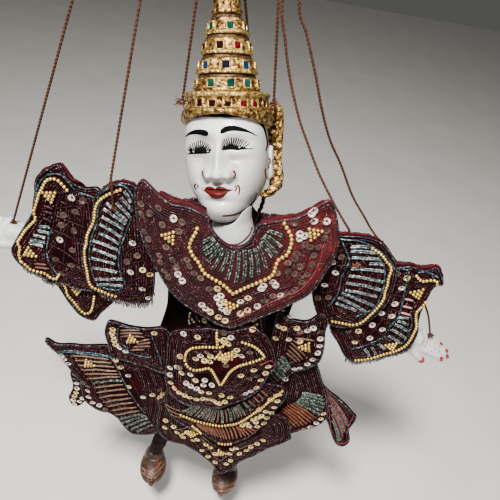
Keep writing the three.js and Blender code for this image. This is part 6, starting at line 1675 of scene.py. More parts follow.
# ---------------------------------------------------------------- carved limbs
def rounded(name, verts, faces, material, voxel, rounds, body, nodes, slot, factor=0.5, extra=None):
    """One carved surface from overlapping closed shapes: joined, then smoothed."""
    tmp = obj_from("tmp_" + name, verts, faces, material)
    m = tmp.modifiers.new("join", "REMESH")
    m.mode = "VOXEL"
    m.voxel_size = voxel
    s = tmp.modifiers.new("soft", "SMOOTH")
    s.factor = factor
    s.iterations = rounds
    dg = bpy.context.evaluated_depsgraph_get()
    me = bpy.data.meshes.new_from_object(tmp.evaluated_get(dg))
    bpy.data.objects.remove(tmp)
    me.name = name
    me.materials.clear()
    me.materials.append(material)
    for mt in extra or []:
        me.materials.append(mt)
    me.polygons.foreach_set("use_smooth", [True] * len(me.polygons))
    o = bpy.data.objects.new(name, me)
    bpy.context.scene.collection.objects.link(o)
    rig.ride(o, body)
    if nodes:
        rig.replaces(o, *nodes)
    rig.slot(o, slot)
    return o


def node_mesh(node):
    src = bpy.data.objects[node]
    return [src.matrix_world @ v.co for v in src.data.vertices], [tuple(p.vertices) for p in src.data.polygons]


def ellipsoid(c, r, n=20):
    V_, F_ = [], []
    for j in range(1, n):
        ph = math.pi * j / n
        for i in range(n):
            a = 2 * math.pi * i / n
            V_.append((c[0] + r[0] * math.sin(ph) * math.cos(a), c[1] + r[1] * math.sin(ph) * math.sin(a), c[2] + r[2] * math.cos(ph)))
    top, bot = len(V_), len(V_) + 1
    V_ += [(c[0], c[1], c[2] + r[2]), (c[0], c[1], c[2] - r[2])]
    for j in range(n - 2):
        for i in range(n):
            F_.append((j * n + i, (j + 1) * n + i, (j + 1) * n + (i + 1) % n, j * n + (i + 1) % n))
    for i in range(n):
        F_.append((top, i, (i + 1) % n))
        F_.append((bot, (n - 2) * n + (i + 1) % n, (n - 2) * n + i))
    return V_, F_


def limb(pts, radii, sides=16):
    """Closed tube through pts (any units) whose radius follows radii, with rounded ends."""
    P = [Vector(p) for p in catmull(pts, 1.2)]
    n = len(P)
    V_, F_ = [], []
    up = Vector((0, 0, 1))
    for i in range(n):
        t = (P[min(i + 1, n - 1)] - P[max(i - 1, 0)]).normalized()
        a = t.cross(up).normalized() if abs(t.z) < 0.95 else t.cross(Vector((0, 1, 0))).normalized()
        b = a.cross(t)
        u = i / (n - 1)
        k = u * (len(radii) - 1)
        j = min(int(k), len(radii) - 2)
        r = radii[j] + (radii[j + 1] - radii[j]) * (k - j)
        end = min(u, 1 - u) * (n - 1) * 1.2
        r *= math.sqrt(max(0.12, 1 - max(0.0, 1 - end / r) ** 2)) if end < r else 1.0
        for s in range(sides):
            an = 2 * math.pi * s / sides
            V_.append(tuple(P[i] + a * (r * math.cos(an)) + b * (r * math.sin(an))))
    for i in range(n - 1):
        for s in range(sides):
            F_.append((i * sides + s, i * sides + (s + 1) % sides, (i + 1) * sides + (s + 1) % sides, (i + 1) * sides + s))
    F_.append(tuple(range(sides))[::-1])
    F_.append(tuple(range((n - 1) * sides, n * sides)))
    return V_, F_


HANDS = {"r": (Vector((-155, -2, 306)), Vector((-0.9450, 0, 0.3270)), Vector((-0.1714, -0.8517, -0.4952)), Vector((0.2785, -0.5240, 0.8049)), -1),
         "l": (Vector((140, -2, 273)), Vector((0.9404, 0, -0.3401)), Vector((0.1789, 0.8506, 0.4945)), Vector((0.2893, -0.5259, 0.7999)), 1)}
HAND_OBJ = {}
for k, (wr, hx, hy, hz, flip) in HANDS.items():
    org = wr + hx * 1.3

    def put(vs):
        out = []
        for p in vs:
            q = org + hx * p[0] + hy * (flip * p[1]) + hz * p[2]
            out.append(T(q.x, q.y, q.z))
        return out
    V_, F_ = [], []

    def add_shape(v, f):
        n = len(V_)
        V_.extend(put(v))
        F_.extend(tuple(i + n for i in q) for q in f)
    add_shape(*limb([(0.4, 0, 0), (8, -0.2, 0.2), (16, -0.4, 0.2), (22, -0.4, 0)], [5.0, 6.4, 7.6, 7.0]))
    add_shape(*ellipsoid((14, -0.2, 0.1), (13.4, 10.2, 4.6)))
    add_shape(*ellipsoid((20, 1.2, 0.4), (6.5, 9.0, 3.9)))
    for (b_, t_), r_ in zip((((17, -6.6, 0), (45, -6.8, -1.8)), ((18, -2.6, 0.2), (50, -2.8, -1.2)), ((18, 1.6, 0.2), (48.4, 1.4, -1.3)), ((17, 5.6, 0), (42.5, 5.2, -2.2))), (2.5, 2.55, 2.5, 2.3)):
        mid_ = ((b_[0] + t_[0]) / 2, (b_[1] + t_[1]) / 2, (b_[2] + t_[2]) / 2 + 0.7)
        add_shape(*limb([b_, mid_, t_], [r_ + 0.2, r_, r_ - 0.35], sides=12))
    add_shape(*limb([(6, -5.4, -0.4), (15, -10.2, -1.4), (26.4, -14.2, -2.8)], [4.0, 3.5, 2.7], sides=12))
    o = rounded("carved_hand_" + k, V_, F_, LACQUER, 0.0007, 4, "hand_" + k, ["hand_" + k], "lacquer_white")
    HAND_OBJ[k] = o

for k in ("r", "l"):
    v, f = node_mesh("forearm_" + k)
    rounded("carved_forearm_" + k, v, f, LACQUER, 0.0008, 5, "forearm_" + k, ["forearm_" + k], "lacquer_white")
    v, f = node_mesh("upper_arm_" + k)
    rounded("carved_upper_arm_" + k, v, f, TROUSER, 0.0009, 4, "upper_arm_" + k, ["upper_arm_" + k], "body_wood")
v, f = node_mesh("neck")
NECK = rounded("carved_neck", v, f, LACQUER, 0.0007, 5, "neck", ["neck"], "lacquer_white")
for n in ("chest_block", "pelvis_block"):
    v, f = node_mesh(n)
    rounded("carved_" + n, v, f, TROUSER, 0.0012, 4, "figure", [n], "body_wood")


def same_px(x, y):
    return x, y


def crop6(x, y):
    return x / 7 + 120.5, y / 7 + 173


# red line painted around the neck
NECK_TREE = tree_of([NECK])
painted("paint_neck_line", [stroke([(605, 330), (625, 390), (680, 450), (730, 490), (800, 500), (850, 480), (900, 430), (918, 380)], 8, 8, 10)], RED_PAINT, tree=NECK_TREE, conv=crop6, body="neck", lift=0.0003)

# nails, dots and the red tip of the thumb
HL = tree_of([HAND_OBJ["l"]])


def dot(x, y, r, n=12):
    return [(x + r * math.cos(2 * math.pi * i / n), y + r * math.sin(2 * math.pi * i / n)) for i in range(n)]


for k, tips in (("l", None), ("r", None)):
    wr, hx, hy, hz, flip = HANDS[k]
    org = wr + hx * 1.3
    sp = Soup()
    tree = tree_of([HAND_OBJ[k]])
    spots = []
    for (x, y, r) in ((47.8, -2.8, 1.5), (46.3, 1.4, 1.5), (42.8, -6.8, 1.5), (40.4, 5.2, 1.4)):
        spots.append((x, y, r, 1.9, 0))
    for (x, y) in ((24, -4.6), (25, 0), (24, 4.4), (31, -5.6), (33, -2.4), (32.6, 1.6), (30.4, 5.2), (38, -2.8), (37.4, 1.4), (28, -1.4), (27.6, 2.6)):
        spots.append((x, y, 0.75, 0.75, 1))
    for x, y, rx, ry, mi in spots:
        n_ = 16
        ring_pts, ok = [], True
        for rr in (1.0, 0.55):
            for i in range(n_):
                a = 2 * math.pi * i / n_
                px, py = x + ry * rr * math.cos(a), y + rx * rr * math.sin(a)
                q = org + hx * px + hy * (flip * py) + hz * 14
                d = -hz
                h = tree.ray_cast(T(q.x, q.y, q.z), d)
                if h[0] is None:
                    ok = False
                    break
                ring_pts.append(h[0] + h[1] * 0.00015)
            if not ok:
                break
        if not ok:
            continue
        q = org + hx * x + hy * (flip * y) + hz * 14
        h = tree.ray_cast(T(q.x, q.y, q.z), -hz)
        c = h[0] + h[1] * 0.00018
        fs_ = [(i, (i + 1) % n_, n_ + (i + 1) % n_, n_ + i) for i in range(n_)] + [(n_ + i, n_ + (i + 1) % n_, 2 * n_) for i in range(n_)]
        nn = (ring_pts[1] - c).cross(ring_pts[2] - c)
        if nn.dot(h[1]) < 0:
            fs_ = [g[::-1] for g in fs_]
        sp.add(ring_pts + [c], fs_, mi)
    # thumb tip and finger tips dipped in red
    for (x, y, z, r) in ((26.6, -14.2, -2.8, 2.75), (49.4, -2.8, -1.3, 2.05), (44.6, -6.8, -1.9, 2.05), (47.8, 1.4, -1.4, 2.05), (42.0, 5.2, -2.2, 1.95)):
        v, f = ball((0, 0, 0), 1.0, 3)
        q = org + hx * x + hy * (flip * y) + hz * z
        vv = [T(*(q + hx * (p.x * r * 0.95) + hy * (flip * p.y * r) + hz * (p.z * r))) for p in v]
        sp.add(vv, f if flip > 0 else [g[::-1] for g in f], 0)
    o = sp.build("paint_hand_" + k, [NAIL, DOT])
    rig.ride(o, "hand_" + k)
    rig.slot(o, "lacquer_white")

# ---------------------------------------------------------------- legs and shoes
def folds(p, top, amp):
    return amp


for k in ("r", "l"):
    for part, body in (("thigh", "thigh"), ("shin", "shin")):
        v, f = node_mesh(part + "_" + k)
        o = rounded("cloth_leg_" + part + "_" + k, v, f, TROUSER, 0.0012, 4, body + "_" + k, [part + "_" + k], "trouser")
        me = o.data
        zs_ = [q.co.z for q in me.vertices]
        z0_, z1_ = min(zs_), max(zs_)
        cx_ = sum(q.co.x for q in me.vertices) / len(me.vertices)
        cy_ = sum(q.co.y for q in me.vertices) / len(me.vertices)
        for q in me.vertices:
            a = math.atan2(q.co.y - cy_, q.co.x - cx_)
            u = (q.co.z - z0_) / (z1_ - z0_)
            w = 0.00055 * math.sin(5 * a + 9 * u) + 0.0005 * math.sin(u * 46 + 2 * math.sin(2 * a))
            w *= min(1.0, min(u, 1 - u) * 6)
            q.co += q.normal * w
SHOES = {}
for k in ("r", "l"):
    v, f = node_mesh("shoe_" + k)
    o = rounded("carved_shoe_" + k, v, f, SHOE, 0.0007, 4, "shoe_" + k, ["shoe_" + k], "shoe_wood")
    SHOES[k] = tree_of([o])


def laid(tree, pts, r, sp, mi, lift=0.0, taper=None):
    """Raised carved line on a surface, seen where the photo shows it."""
    L = resample(catmull(pts, 0.5) if len(pts) > 2 else pts, 0.45)
    P = []
    for q in L:
        h = cast(tree, q[0], q[1])
        if h is None or (P and (h[0] - P[-1]).length > 0.004):
            continue
        P.append(h[0] + h[1] * lift)
    if len(P) > 3:
        v, f = sweep(P, r, sides=8, taper=taper or (lambda t: 0.5 + 2.0 * min(t, 1 - t) if min(t, 1 - t) < 0.25 else 1.0))
        sp.add(v, f, mi)


sp = Soup()
for pts, r in (([(209, 479), (213, 483), (218, 485), (224, 486), (231, 484), (236, 480)], 0.0014), ([(211, 486), (216, 490), (223, 491), (230, 489), (236, 485)], 0.0012), ([(214, 492), (219, 495), (226, 495), (232, 491)], 0.0007),
               ([(216, 476), (220, 479), (219, 484)], 0.0006), ([(226, 478), (228, 483), (225, 488)], 0.0006), ([(233, 477), (235, 482), (231, 487)], 0.0006), ([(213, 481), (212, 486), (215, 490)], 0.0006), ([(221, 487), (222, 492), (219, 496)], 0.0006),
               ([(228, 488), (228, 493), (224, 497)], 0.0006), ([(210, 477), (214, 474), (219, 474)], 0.0007)):
    laid(SHOES["l"], pts, r, sp, 0)
# each carved hole is a flat black disc in a raised rim: the black is painted shade in place of the opening
for x, y, r in ((215, 479, 1.5), (217, 486, 1.5), (223, 488, 1.4), (231, 485, 1.5), (226, 492, 0.9), (213, 489, 0.9)):
    for i in range(1):
        h = cast(SHOES["l"], x, y)
        if h:
            a, b = frame_at(h[1], 0.3)
            n_ = 14
            V1 = [h[0] + (a * math.cos(2 * math.pi * j / n_) + b * math.sin(2 * math.pi * j / n_)) * (r * 0.0007) + h[1] * 0.0003 for j in range(n_)]
            sp.add(V1 + [h[0] + h[1] * 0.0001], [(j, (j + 1) % n_, n_) for j in range(n_)], 1)
            v, f = sweep([p + h[1] * 0.0002 for p in V1], 0.00035, sides=6, closed=True)
            sp.add(v, f, 0)
o = sp.build("carving_shoe_l", [SHOE_LIGHT, INK])
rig.ride(o, "shoe_l")
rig.slot(o, "shoe_wood")
sp = Soup()
for pts, r in (([(141, 466), (145, 470), (151, 471), (157, 467), (162, 461)], 0.0014), ([(142, 472), (147, 476), (153, 475), (159, 470), (164, 464)], 0.0012), ([(146, 479), (151, 481), (156, 477), (161, 472)], 0.0007),
               ([(150, 471), (153, 475), (151, 480)], 0.0006), ([(157, 468), (160, 471), (157, 476)], 0.0006), ([(144, 470), (146, 474), (149, 479)], 0.0006)):
    laid(SHOES["r"], pts, r, sp, 0)
# each carved hole is a flat black disc in a raised rim: the black is painted shade in place of the opening
for x, y, r in ((154.5, 469, 1.6), (159, 464, 1.5), (147, 473, 1.2), (150, 478, 1.0)):
    h = cast(SHOES["r"], x, y)
    if h:
        a, b = frame_at(h[1], 0.3)
        n_ = 14
        V1 = [h[0] + (a * math.cos(2 * math.pi * j / n_) + b * math.sin(2 * math.pi * j / n_)) * (r * 0.0007) + h[1] * 0.0003 for j in range(n_)]
        sp.add(V1 + [h[0] + h[1] * 0.0001], [(j, (j + 1) % n_, n_) for j in range(n_)], 1)
        v, f = sweep([p + h[1] * 0.0002 for p in V1], 0.00035, sides=6, closed=True)
        sp.add(v, f, 0)
o = sp.build("carving_shoe_r", [SHOE_LIGHT, INK])
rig.ride(o, "shoe_r")
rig.slot(o, "shoe_wood")

# ---------------------------------------------------------------- control: the bar and the grip, rounded off
for n in ("control_bar", "control_grip"):
    v, f = node_mesh(n)
    rounded("turned_" + n, v, f, WOOD_DARK, 0.0009, 3, "control", [n], "bar_wood")

# ---------------------------------------------------------------- knots and string attachments
def knot(name, c, axis, r, body, material=None, tails=2):
    """Small overhand knot: two crossing loops of the string and its cut tails."""
    rnd = random.Random("knot " + name)
    c = Vector(c)
    axis = Vector(axis).normalized()
    a, b = frame_at(axis, rnd.uniform(0, 6))
    sp = Soup()
    pts = []
    for i in range(40):
        t = 2 * math.pi * i / 40
        pts.append(c + a * ((math.sin(t) + 2 * math.sin(2 * t)) * r * 0.55) + b * ((math.cos(t) - 2 * math.cos(2 * t)) * r * 0.55) - axis * (math.sin(3 * t) * r * 0.6))
    v, f = sweep(pts, 0.00062, sides=8, closed=True)
    sp.add(v, f, 0)
    v, f = ball(c, r * 0.95, 2)
    sp.add(v, f, 0)
    for i in range(tails):
        d = (a * rnd.uniform(-1, 1) + b * rnd.uniform(-1, 1) - axis * 0.3).normalized()
        pts = [c + d * (0.001 + 0.0045 * t) + Vector((0, 0, -0.0016 * t * t)) for t in np.linspace(0, 1, 8)]
        v, f = sweep(pts, 0.00042, sides=6, lobes=2, depth=0.4, pitch=0.002)
        sp.add(v, f, 0)
    o = sp.build("knot_" + name, [material or STRING])
    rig.ride(o, body)
    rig.slot(o, "string")
    return o


def end_dir(name):
    pts = STRINGS[name][0]
    e, d = Vector(pts[-1]), Vector(pts[-2])
    return T(*e), (T(*d) - T(*e)).normalized()


for name, body in (("string_hand_r", "hand_r"), ("string_hand_l", "hand_l"), ("string_elbow_r", "upper_arm_r"), ("string_elbow_l", "upper_arm_l"), ("string_head_r", "head"), ("string_head_l", "head"), ("string_back", "figure")):
    e, d = end_dir(name)
    knot(name, e + d * 0.0012, d, 0.0012, body)
for i, x in enumerate((-74, -58, -38, -26, -14, 4, 18)):      # each string is tied round the bar
    sp = Soup()
    for off in (-0.9, 0.9):
        pts = [T(x + off + 0.3 * math.sin(t), 6.3 * math.cos(t), 600.6 + 6.3 * math.sin(t)) for t in np.linspace(0, 2 * math.pi, 40)[:-1]]
        v, f = sweep(pts, 0.00075, sides=8, closed=True)
        sp.add(v, f, 0)
    o = sp.build("lashing_%d" % i, [STRING])
    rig.ride(o, "control")
    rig.slot(o, "string")


# ---------------------------------------------------------------- tufts at the crown's foot, and the braid under the ear
def tuft(name, c, spread, n, length, body, material, bias=(0, 0, 1)):
    rnd = random.Random("tuft " + name)
    sp = Soup()
    c = Vector(c)
    for i in range(n):
        d = (Vector((rnd.gauss(0, 1), rnd.gauss(0, 1), rnd.gauss(0, 1))).normalized() + Vector(bias) * 0.9).normalized()
        side = d.cross(Vector((rnd.uniform(-1, 1), rnd.uniform(-1, 1), rnd.uniform(-1, 1)))).normalized()
        L = length * rnd.uniform(0.5, 1.1)
        s0 = c + Vector((rnd.uniform(-1, 1), rnd.uniform(-1, 1), rnd.uniform(-1, 1))) * spread
        pts = [s0 + d * (L * t) + side * (L * 0.35 * t * t * rnd.uniform(-1, 1)) for t in np.linspace(0, 1, 6)]
        v, f = sweep(pts, 0.00032, sides=5, taper=lambda t: 1.0 - 0.5 * t)
        sp.add(v, f, i % 2)
    o = sp.build("tuft_" + name, material)
    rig.ride(o, body)
    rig.slot(o, "string")
    return o


tuft("crown_r", local_to_row((-30.5, -1, 38.5)), 0.0016, 34, 0.0052, "head", [TUFT, TUFT_LIGHT], (-0.9, -0.2, 0.4))
tuft("crown_l", local_to_row((29.5, 9, 37)), 0.0016, 26, 0.0045, "head", [TUFT, TUFT_LIGHT], (0.2, -0.8, 0.4))


def px_on_plane(x, y, yf):
    d = rot @ Vector(((x - 250.0) / 500.0, (250.0 - y) / 500.0, -1.0))
    t = (yf - (-292.9)) / d.y
    return (-2.4 + d.x * t, yf, 558.0 + d.z * t)


BR = [px_on_plane(266, 190, 16), px_on_plane(264, 197, 14), px_on_plane(262, 205, 11), px_on_plane(258.5, 213, 8), px_on_plane(254.5, 222, 6), px_on_plane(252, 228, 6)]
path = path_mm(BR, 0.5)
sp_v, sp_f = [], []
L_br = sum((b - a).length for a, b in zip(path[:-1], path[1:]))
v, f = sweep(path, 0.0017, sides=18, lobes=3, depth=0.5, pitch=0.012)
braid_o = obj_from("cord_braid_ear_l", v, f, HAIR)
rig.ride(braid_o, "head")
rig.cord(braid_o, exit=tuple(path[0]), length=round(L_br, 4), diameter=0.0032, far_end="knot" if "knot" in getattr(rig, "FAR_ENDS", ()) else "object", stiffness="limp", lay="hanging", path=[tuple(p) for p in path[::3]] + [tuple(path[-1])])
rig.slot(braid_o, "string")
o = knot("braid_end", path[-1], (0, 0, 1), 0.0014, "head", HAIR, tails=3)

# ---------------------------------------------------------------- bodice trim seen between the collar and the aprons
v, f = node_mesh("bodice")
lo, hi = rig.box("bodice")
v = [Vector((p.x + 0.0003 * math.sin(p.z * 900 + 4), p.y + 0.0003 * math.sin(p.z * 700 + p.x * 500), p.z)) for p in v]
BODICE = rounded("cloth_bodice", v, f, VELVET, 0.0011, 3, "figure", ["bodice"], "velvet")
BOD = tree_of([BODICE])
sp = Soup()
rnd = random.Random("bodice")
for x, y in ((190, 307), (191, 315), (194, 320), (205, 320), (209, 328), (184, 333), (198, 337), (231, 329), (255, 324), (252, 330), (230, 337), (225, 339), (216, 322), (243, 334), (238, 322), (187, 325), (222, 331), (200, 328)):
    h = cast(BOD, x, y)
    if h:
        disc_sequin(sp, h[0] + h[1] * 0.0006, h[1], rnd, 2.4, MI[rnd.choice(("gold", "silver", "gold", "smoke"))])
for pts in ([(188, 300), (189, 315), (186, 330), (184, 342)], [(195, 302), (197, 318), (196, 334), (194, 345)], [(262, 304), (260, 318), (262, 334), (263, 343)]):
    L = resample(catmull(pts, 0.6), 0.5)
    P = []
    for q in L:
        h = cast(BOD, q[0], q[1])
        if h and (not P or (h[0] - P[-1]).length < 0.004):
            P.append(h[0] + h[1] * 0.0005)
    if len(P) > 4:
        v, f = sweep(P, 0.0006, sides=6, lobes=2, depth=0.5, pitch=0.0021)
        sp.add(v, f, MI["red"])
for i in range(1500):                 # small dark beads sewn all over it
    x, y = rnd.uniform(150, 292), rnd.uniform(270, 350)
    h = cast(BOD, x, y)
    if h:
        v, f = ball(h[0] + h[1] * 0.0003, 0.00055, 1)
        sp.add(v, f, MI["seedlight" if i % 6 == 0 else "fringe"])
taken = []
for i in range(400):
    x, y = rnd.uniform(150, 292), rnd.uniform(285, 350)
    if any((x - a) ** 2 + (y - b) ** 2 < 60 for a, b in taken):
        continue
    h = cast(BOD, x, y)
    if h:
        taken.append((x, y))
        disc_sequin(sp, h[0] + h[1] * 0.0007, h[1], rnd, 2.3, MI[rnd.choice(("smoke", "smoke", "gold", "silver"))])
o = sp.build("trim_bodice", MATS)
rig.ride(o, "figure")
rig.slot(o, "velvet")
one_side = sum(p.area for p in BODICE.data.polygons) / 2
tall = hi[2] - lo[2]
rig.sheet(BODICE, flat=(round(one_side / tall * 1.03, 4), round(tall, 4)), held="stretched", rests_on=["chest_block"], area=one_side, with_pieces=[o])
# ---------------------------------------------------------------- top seams: cloth that joins each front panel to its back
def bridge(name, front, back, fpts, bpts, body, rim=1.3, puff=1.2, trim=True):
    pf, pb = P_ALL[front], P_ALL[back]
    nu = max(14, int(sum(math.dist(a, b) for a, b in zip(fpts[:-1], fpts[1:])) / 1.6))
    nv = 24
    A = resample(catmull(fpts, 0.6), sum(math.dist(a, b) for a, b in zip(fpts[:-1], fpts[1:])) / nu)
    B = resample(catmull(bpts, 0.6), sum(math.dist(a, b) for a, b in zip(bpts[:-1], bpts[1:])) / nu)
    n = min(len(A), len(B))
    grid = []
    for i in range(n):
        u = i / (n - 1)
        a, b = A[i], B[i]
        ya, yb = pf.y(a[0], a[1]), pb.y(b[0], b[1])
        row = []
        for j in range(nv + 1):
            v = j / nv
            y = ya + (yb - ya) * v
            w = max(0.0, v - rim / abs(yb - ya)) / (1 - rim / abs(yb - ya))     # flat for the rim, then down to the back
            z = a[1] + (b[1] - a[1]) * w + puff * math.sin(math.pi * w) + 0.35 * math.sin(u * 31 + 3 * v) + 0.25 * math.sin(u * 57 + 9 * v)
            x = a[0] + (b[0] - a[0]) * v
            row.append(np.array((x, y, z)))
        grid.append(row)
    V1, V2 = [], []
    for i in range(n):
        for j in range(nv + 1):
            du = grid[min(i + 1, n - 1)][j] - grid[max(i - 1, 0)][j]
            dv = grid[i][min(j + 1, nv)] - grid[i][max(j - 1, 0)]
            nn = np.cross(du, dv)
            nn = nn / (np.linalg.norm(nn) + 1e-9)
            if nn[2] < 0:
                nn = -nn
            g = grid[i][j]
            V1.append(T(*(g + nn * 0.7)))
            V2.append(T(*(g - nn * 0.7)))
    m = nv + 1
    up = np.cross(grid[1][0] - grid[0][0], grid[0][2] - grid[0][1])[2] > 0
    F_, mi = [], []
    jr = max(1, int(round(nv * rim / abs(pb.y(*B[0]) - pf.y(*A[0])))))
    for i in range(n - 1):
        for j in range(nv):
            q = (i * m + j, (i + 1) * m + j, (i + 1) * m + j + 1, i * m + j + 1)
            q = q if up else q[::-1]
            F_.append(q)
            mi.append(0 if j <= jr else 1)
            F_.append(tuple(k + n * m for k in q[::-1]))
            mi.append(2)
    edge = [(i * m, (i + 1) * m) for i in range(n - 1)] + [((n - 1) * m + j, (n - 1) * m + j + 1) for j in range(nv)] + [((i + 1) * m + nv, i * m + nv) for i in range(n - 2, -1, -1)] + [(j + 1, j) for j in range(nv - 1, -1, -1)]
    for a, b in edge:
        q = (a, a + n * m, b + n * m, b)
        F_.append(q if up else q[::-1])
        mi.append(0)
    o = obj_from("cloth_seam_" + name, V1 + V2, F_, [VELVET_RED, VELVET, LINING])
    o.data.polygons.foreach_set("material_index", mi)
    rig.ride(o, body)
    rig.slot(o, "velvet")
    area = 0.0
    for i in range(n - 1):
        for j in range(nv):
            a, b, c, d = grid[i][j], grid[i + 1][j], grid[i + 1][j + 1], grid[i][j + 1]
            area += (np.linalg.norm(np.cross(b - a, c - a)) + np.linalg.norm(np.cross(c - a, d - a))) / 2e6
    pieces = []
    if trim:
        rnd = random.Random("seam " + name)
        sp = Soup()
        for v_ in (0.20, 0.93):
            j = int(v_ * nv)
            P = [T(*(grid[i][j])) + Vector((0, 0, 0.0009)) for i in range(1, n - 1)]
            P = [Vector(q) for q in resample([tuple(p * 1000) for p in P], 0.5)]
            v, f = sweep([p / 1000 for p in P], 0.00055, sides=6, lobes=2, depth=0.5, pitch=0.0021)
            sp.add(v, f, MI["mauve"])
        j = int(0.56 * nv)
        step = max(1, int(round(6.2 / 1.6)))
        for i in range(2, n - 2, step):
            du = Vector(grid[i + 1][j] - grid[i - 1][j])
            dv = Vector(grid[i][j + 1] - grid[i][j - 1])
            nn = du.cross(dv).normalized()
            if nn.z < 0:
                nn = -nn
            disc_sequin(sp, T(*grid[i][j]) + nn * 0.0011, nn, rnd, 2.5, MI[rnd.choice(("gold", "silver", "smoke"))])
        for jj in (int(0.36 * nv), int(0.76 * nv)):
            for i in range(1, n - 1):
                v, f = ball(T(*grid[i][jj]) + Vector((0, 0, 0.0010)), 0.0006, 1)
                sp.add(v, f, MI["seed" if i % 4 else "seedlight"])
        t = sp.build("trim_seam_" + name, MATS)
        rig.ride(t, body)
        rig.slot(t, "velvet")
        pieces.append(t)
    lu = max(sum(float(np.linalg.norm(grid[i + 1][j] - grid[i][j])) for i in range(n - 1)) for j in range(nv + 1)) / 1000
    lv = max(sum(float(np.linalg.norm(grid[i][j + 1] - grid[i][j])) for j in range(nv)) for i in range(n)) / 1000
    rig.sheet(o, flat=(round(lu, 4), round(lv, 4)), held="stretched", rests_on=["chest_block"], area=area, with_pieces=pieces)
    return o


bridge("collar_r", "collar", "collar_back", [(-55, 387.5), (-46, 384), (-35, 383.5), (-25, 381)], [(-50, 337.5), (-42, 340), (-34, 345), (-27, 349)], "figure", puff=1.0)
bridge("collar_l", "collar", "collar_back", [(10, 381), (21, 385.5), (30, 388.5), (38, 393.5), (45, 399), (50, 400)], [(12, 338), (21, 335), (30, 333), (38, 333), (46, 334), (54, 334)], "figure", puff=2.5)
bridge("sleeve_r", "sleeve_front_r", "sleeve_back_r", [(-68, 381), (-77, 385), (-84, 384), (-93, 378)], [(-69, 344), (-77, 344), (-85, 343), (-93, 340)], "upper_arm_r")
bridge("sleeve_l", "sleeve_front_l", "sleeve_back_l", [(60, 371.5), (66, 372.7), (73, 374), (83, 374), (93, 371)], [(60, 342), (66, 342), (74, 341.5), (83, 341), (92, 336)], "upper_arm_l")
bridge("cuff_r", "cuff_front_r", "cuff_back_r", [(-110, 375), (-116, 378), (-121, 387), (-130, 383), (-138, 374), (-141, 360), (-144, 348)], [(-109, 344), (-114, 344), (-120, 344), (-127, 340), (-133, 333), (-138, 328), (-143, 322)], "forearm_r", puff=0.8)
bridge("cuff_l", "cuff_front_l", "cuff_back_l", [(108, 351.4), (118, 354), (129, 352.4), (136, 356), (143, 348), (144, 340)], [(107, 328), (116, 328), (126, 328), (131, 323), (135, 317), (137, 311)], "forearm_l", puff=0.8)


# ---------------------------------------------------------------- loose ends: extra sequins, bead fringes and a thread tuft
EXTRA = {n: [] for n in P_ALL}
rnd = random.Random("loose ends")
sp = Soup()
WT = tree_of([P_ALL["wing_upper_l"].obj])
for x, y in ((281, 311), (273, 318), (279, 325), (276, 337), (284, 327), (290, 318), (297, 327), (289, 338), (268, 328), (300, 340)):
    h = cast(WT, x, y)
    if h:
        disc_sequin(sp, h[0] + h[1] * 0.0011, h[1], rnd, 2.4, MI[rnd.choice(("gold", "silver", "gold"))])
o = sp.build("trim_extra_wing_l", MATS)
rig.ride(o, P_ALL["wing_upper_l"].body)
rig.slot(o, "velvet")
EXTRA["wing_upper_l"].append(o)
for panel, x0, x1, y0, y1, long_ in (("sleeve_front_r", 100, 156, 250, 318, 5), ("cuff_front_r", 24, 62, 235, 300, 4), ("cuff_front_l", 346, 412, 300, 372, 4)):
    tr = tree_of([P_ALL[panel].obj])
    sp = Soup()
    for x in np.arange(x0, x1, 1.5):
        low = None
        for y in np.arange(y1, y0, -0.5):
            h = cast(tr, float(x), float(y))
            if h:
                low = h
                break
        if low is None:
            continue
        P = [low[0] + low[1] * 0.0006]
        for k in range(rnd.randint(long_ - 2, long_)):
            P.append(P[-1] + Vector((rnd.uniform(-0.0003, 0.0003), rnd.uniform(-0.0001, 0.0003), -0.0010)))
        for k, q in enumerate(P):
            v, f = ball(q, 0.00058, 1)
            sp.add(v, f, MI["bead" if k == len(P) - 1 and rnd.random() < 0.25 else ("fringe" if rnd.random() < 0.7 else "seedlight")])
    o = sp.build("fringe_" + panel, MATS)
    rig.ride(o, P_ALL[panel].body)
    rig.slot(o, "velvet")
    EXTRA[panel].append(o)
h = cast(tree_of([P_ALL["sleeve_front_l"].obj]), 357, 262)
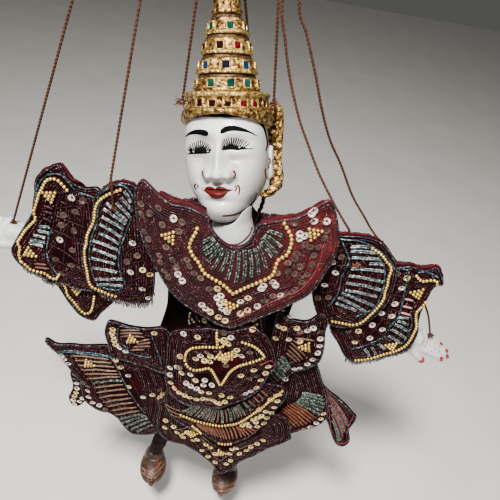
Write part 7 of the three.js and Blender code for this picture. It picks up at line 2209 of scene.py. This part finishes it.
if h:
    sp = Soup()
    for i in range(16):
        a = 2 * math.pi * rnd.random()
        r_ = 0.0035 * (0.5 + 0.5 * rnd.random())
        tip_ = h[0] + h[1] * 0.0022 + Vector((math.cos(a) * r_, 0, math.sin(a) * r_ - 0.001))
        mid_ = h[0] + h[1] * 0.0030 + Vector((math.cos(a + 0.6) * r_ * 0.5, 0, math.sin(a + 0.6) * r_ * 0.5))
        P = [Vector(q) / 1000 for q in catmull([tuple(h[0] * 1000), tuple(mid_ * 1000), tuple(tip_ * 1000)], 0.3)]
        v, f = sweep(P, 0.00022, sides=5)
        sp.add(v, f, MI["orange"])
    o = sp.build("thread_tuft_sleeve_l", MATS)
    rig.ride(o, P_ALL["sleeve_front_l"].body)
    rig.slot(o, "velvet")
    EXTRA["sleeve_front_l"].append(o)

for name, p in P_ALL.items():
    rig.sheet(p.obj, flat=p.flat, held="hung", rests_on=["chest_block"], area=p.area, with_pieces=[p.trim] + EXTRA[name])
# ---------------------------------------------------------------- floor and lights
me = bpy.data.meshes.new("floor")
zf = (OFF.z - 60) / 1000.0
me.from_pydata([(-3, -3, zf), (3, -3, zf), (3, 3, zf), (-3, 3, zf)], [], [(0, 1, 2, 3)])
me.materials.append(FLOOR)
fl = bpy.data.objects.new("floor", me)
bpy.context.scene.collection.objects.link(fl)
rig.stage(fl)
w = bpy.data.worlds.new("world") if bpy.context.scene.world is None else bpy.context.scene.world
bpy.context.scene.world = w
w.use_nodes = True
w.node_tree.nodes["Background"].inputs["Color"].default_value = (0.80, 0.79, 0.77, 1)
w.node_tree.nodes["Background"].inputs["Strength"].default_value = 0.11


def area_light(name, pos, target, size, power, colour=(1, 1, 1)):
    d = bpy.data.lights.new(name, "AREA")
    d.energy = power
    d.size = size
    d.color = colour
    o = bpy.data.objects.new(name, d)
    o.location = pos
    o.rotation_euler = (Vector(target) - Vector(pos)).to_track_quat("-Z", "Y").to_euler()
    bpy.context.scene.collection.objects.link(o)


mid = T(0, 0, 300)
area_light("key", T(-140, -400, 1120), mid, 0.16, 30, (1.0, 0.97, 0.93))
area_light("fill", T(520, -560, 620), mid, 0.6, 1.8, (1.0, 0.93, 0.85))
area_light("left", T(-520, -420, 640), mid, 0.6, 1.6, (0.96, 0.98, 1.0))
area_light("top", T(60, 160, 1250), mid, 0.5, 4)

with open("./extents.json", "w") as fh:
    a, b = cad_box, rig.bounds()
    json.dump({"cad": [list(map(float, q)) for q in a], "visual": [list(map(float, q)) for q in b]}, fh)
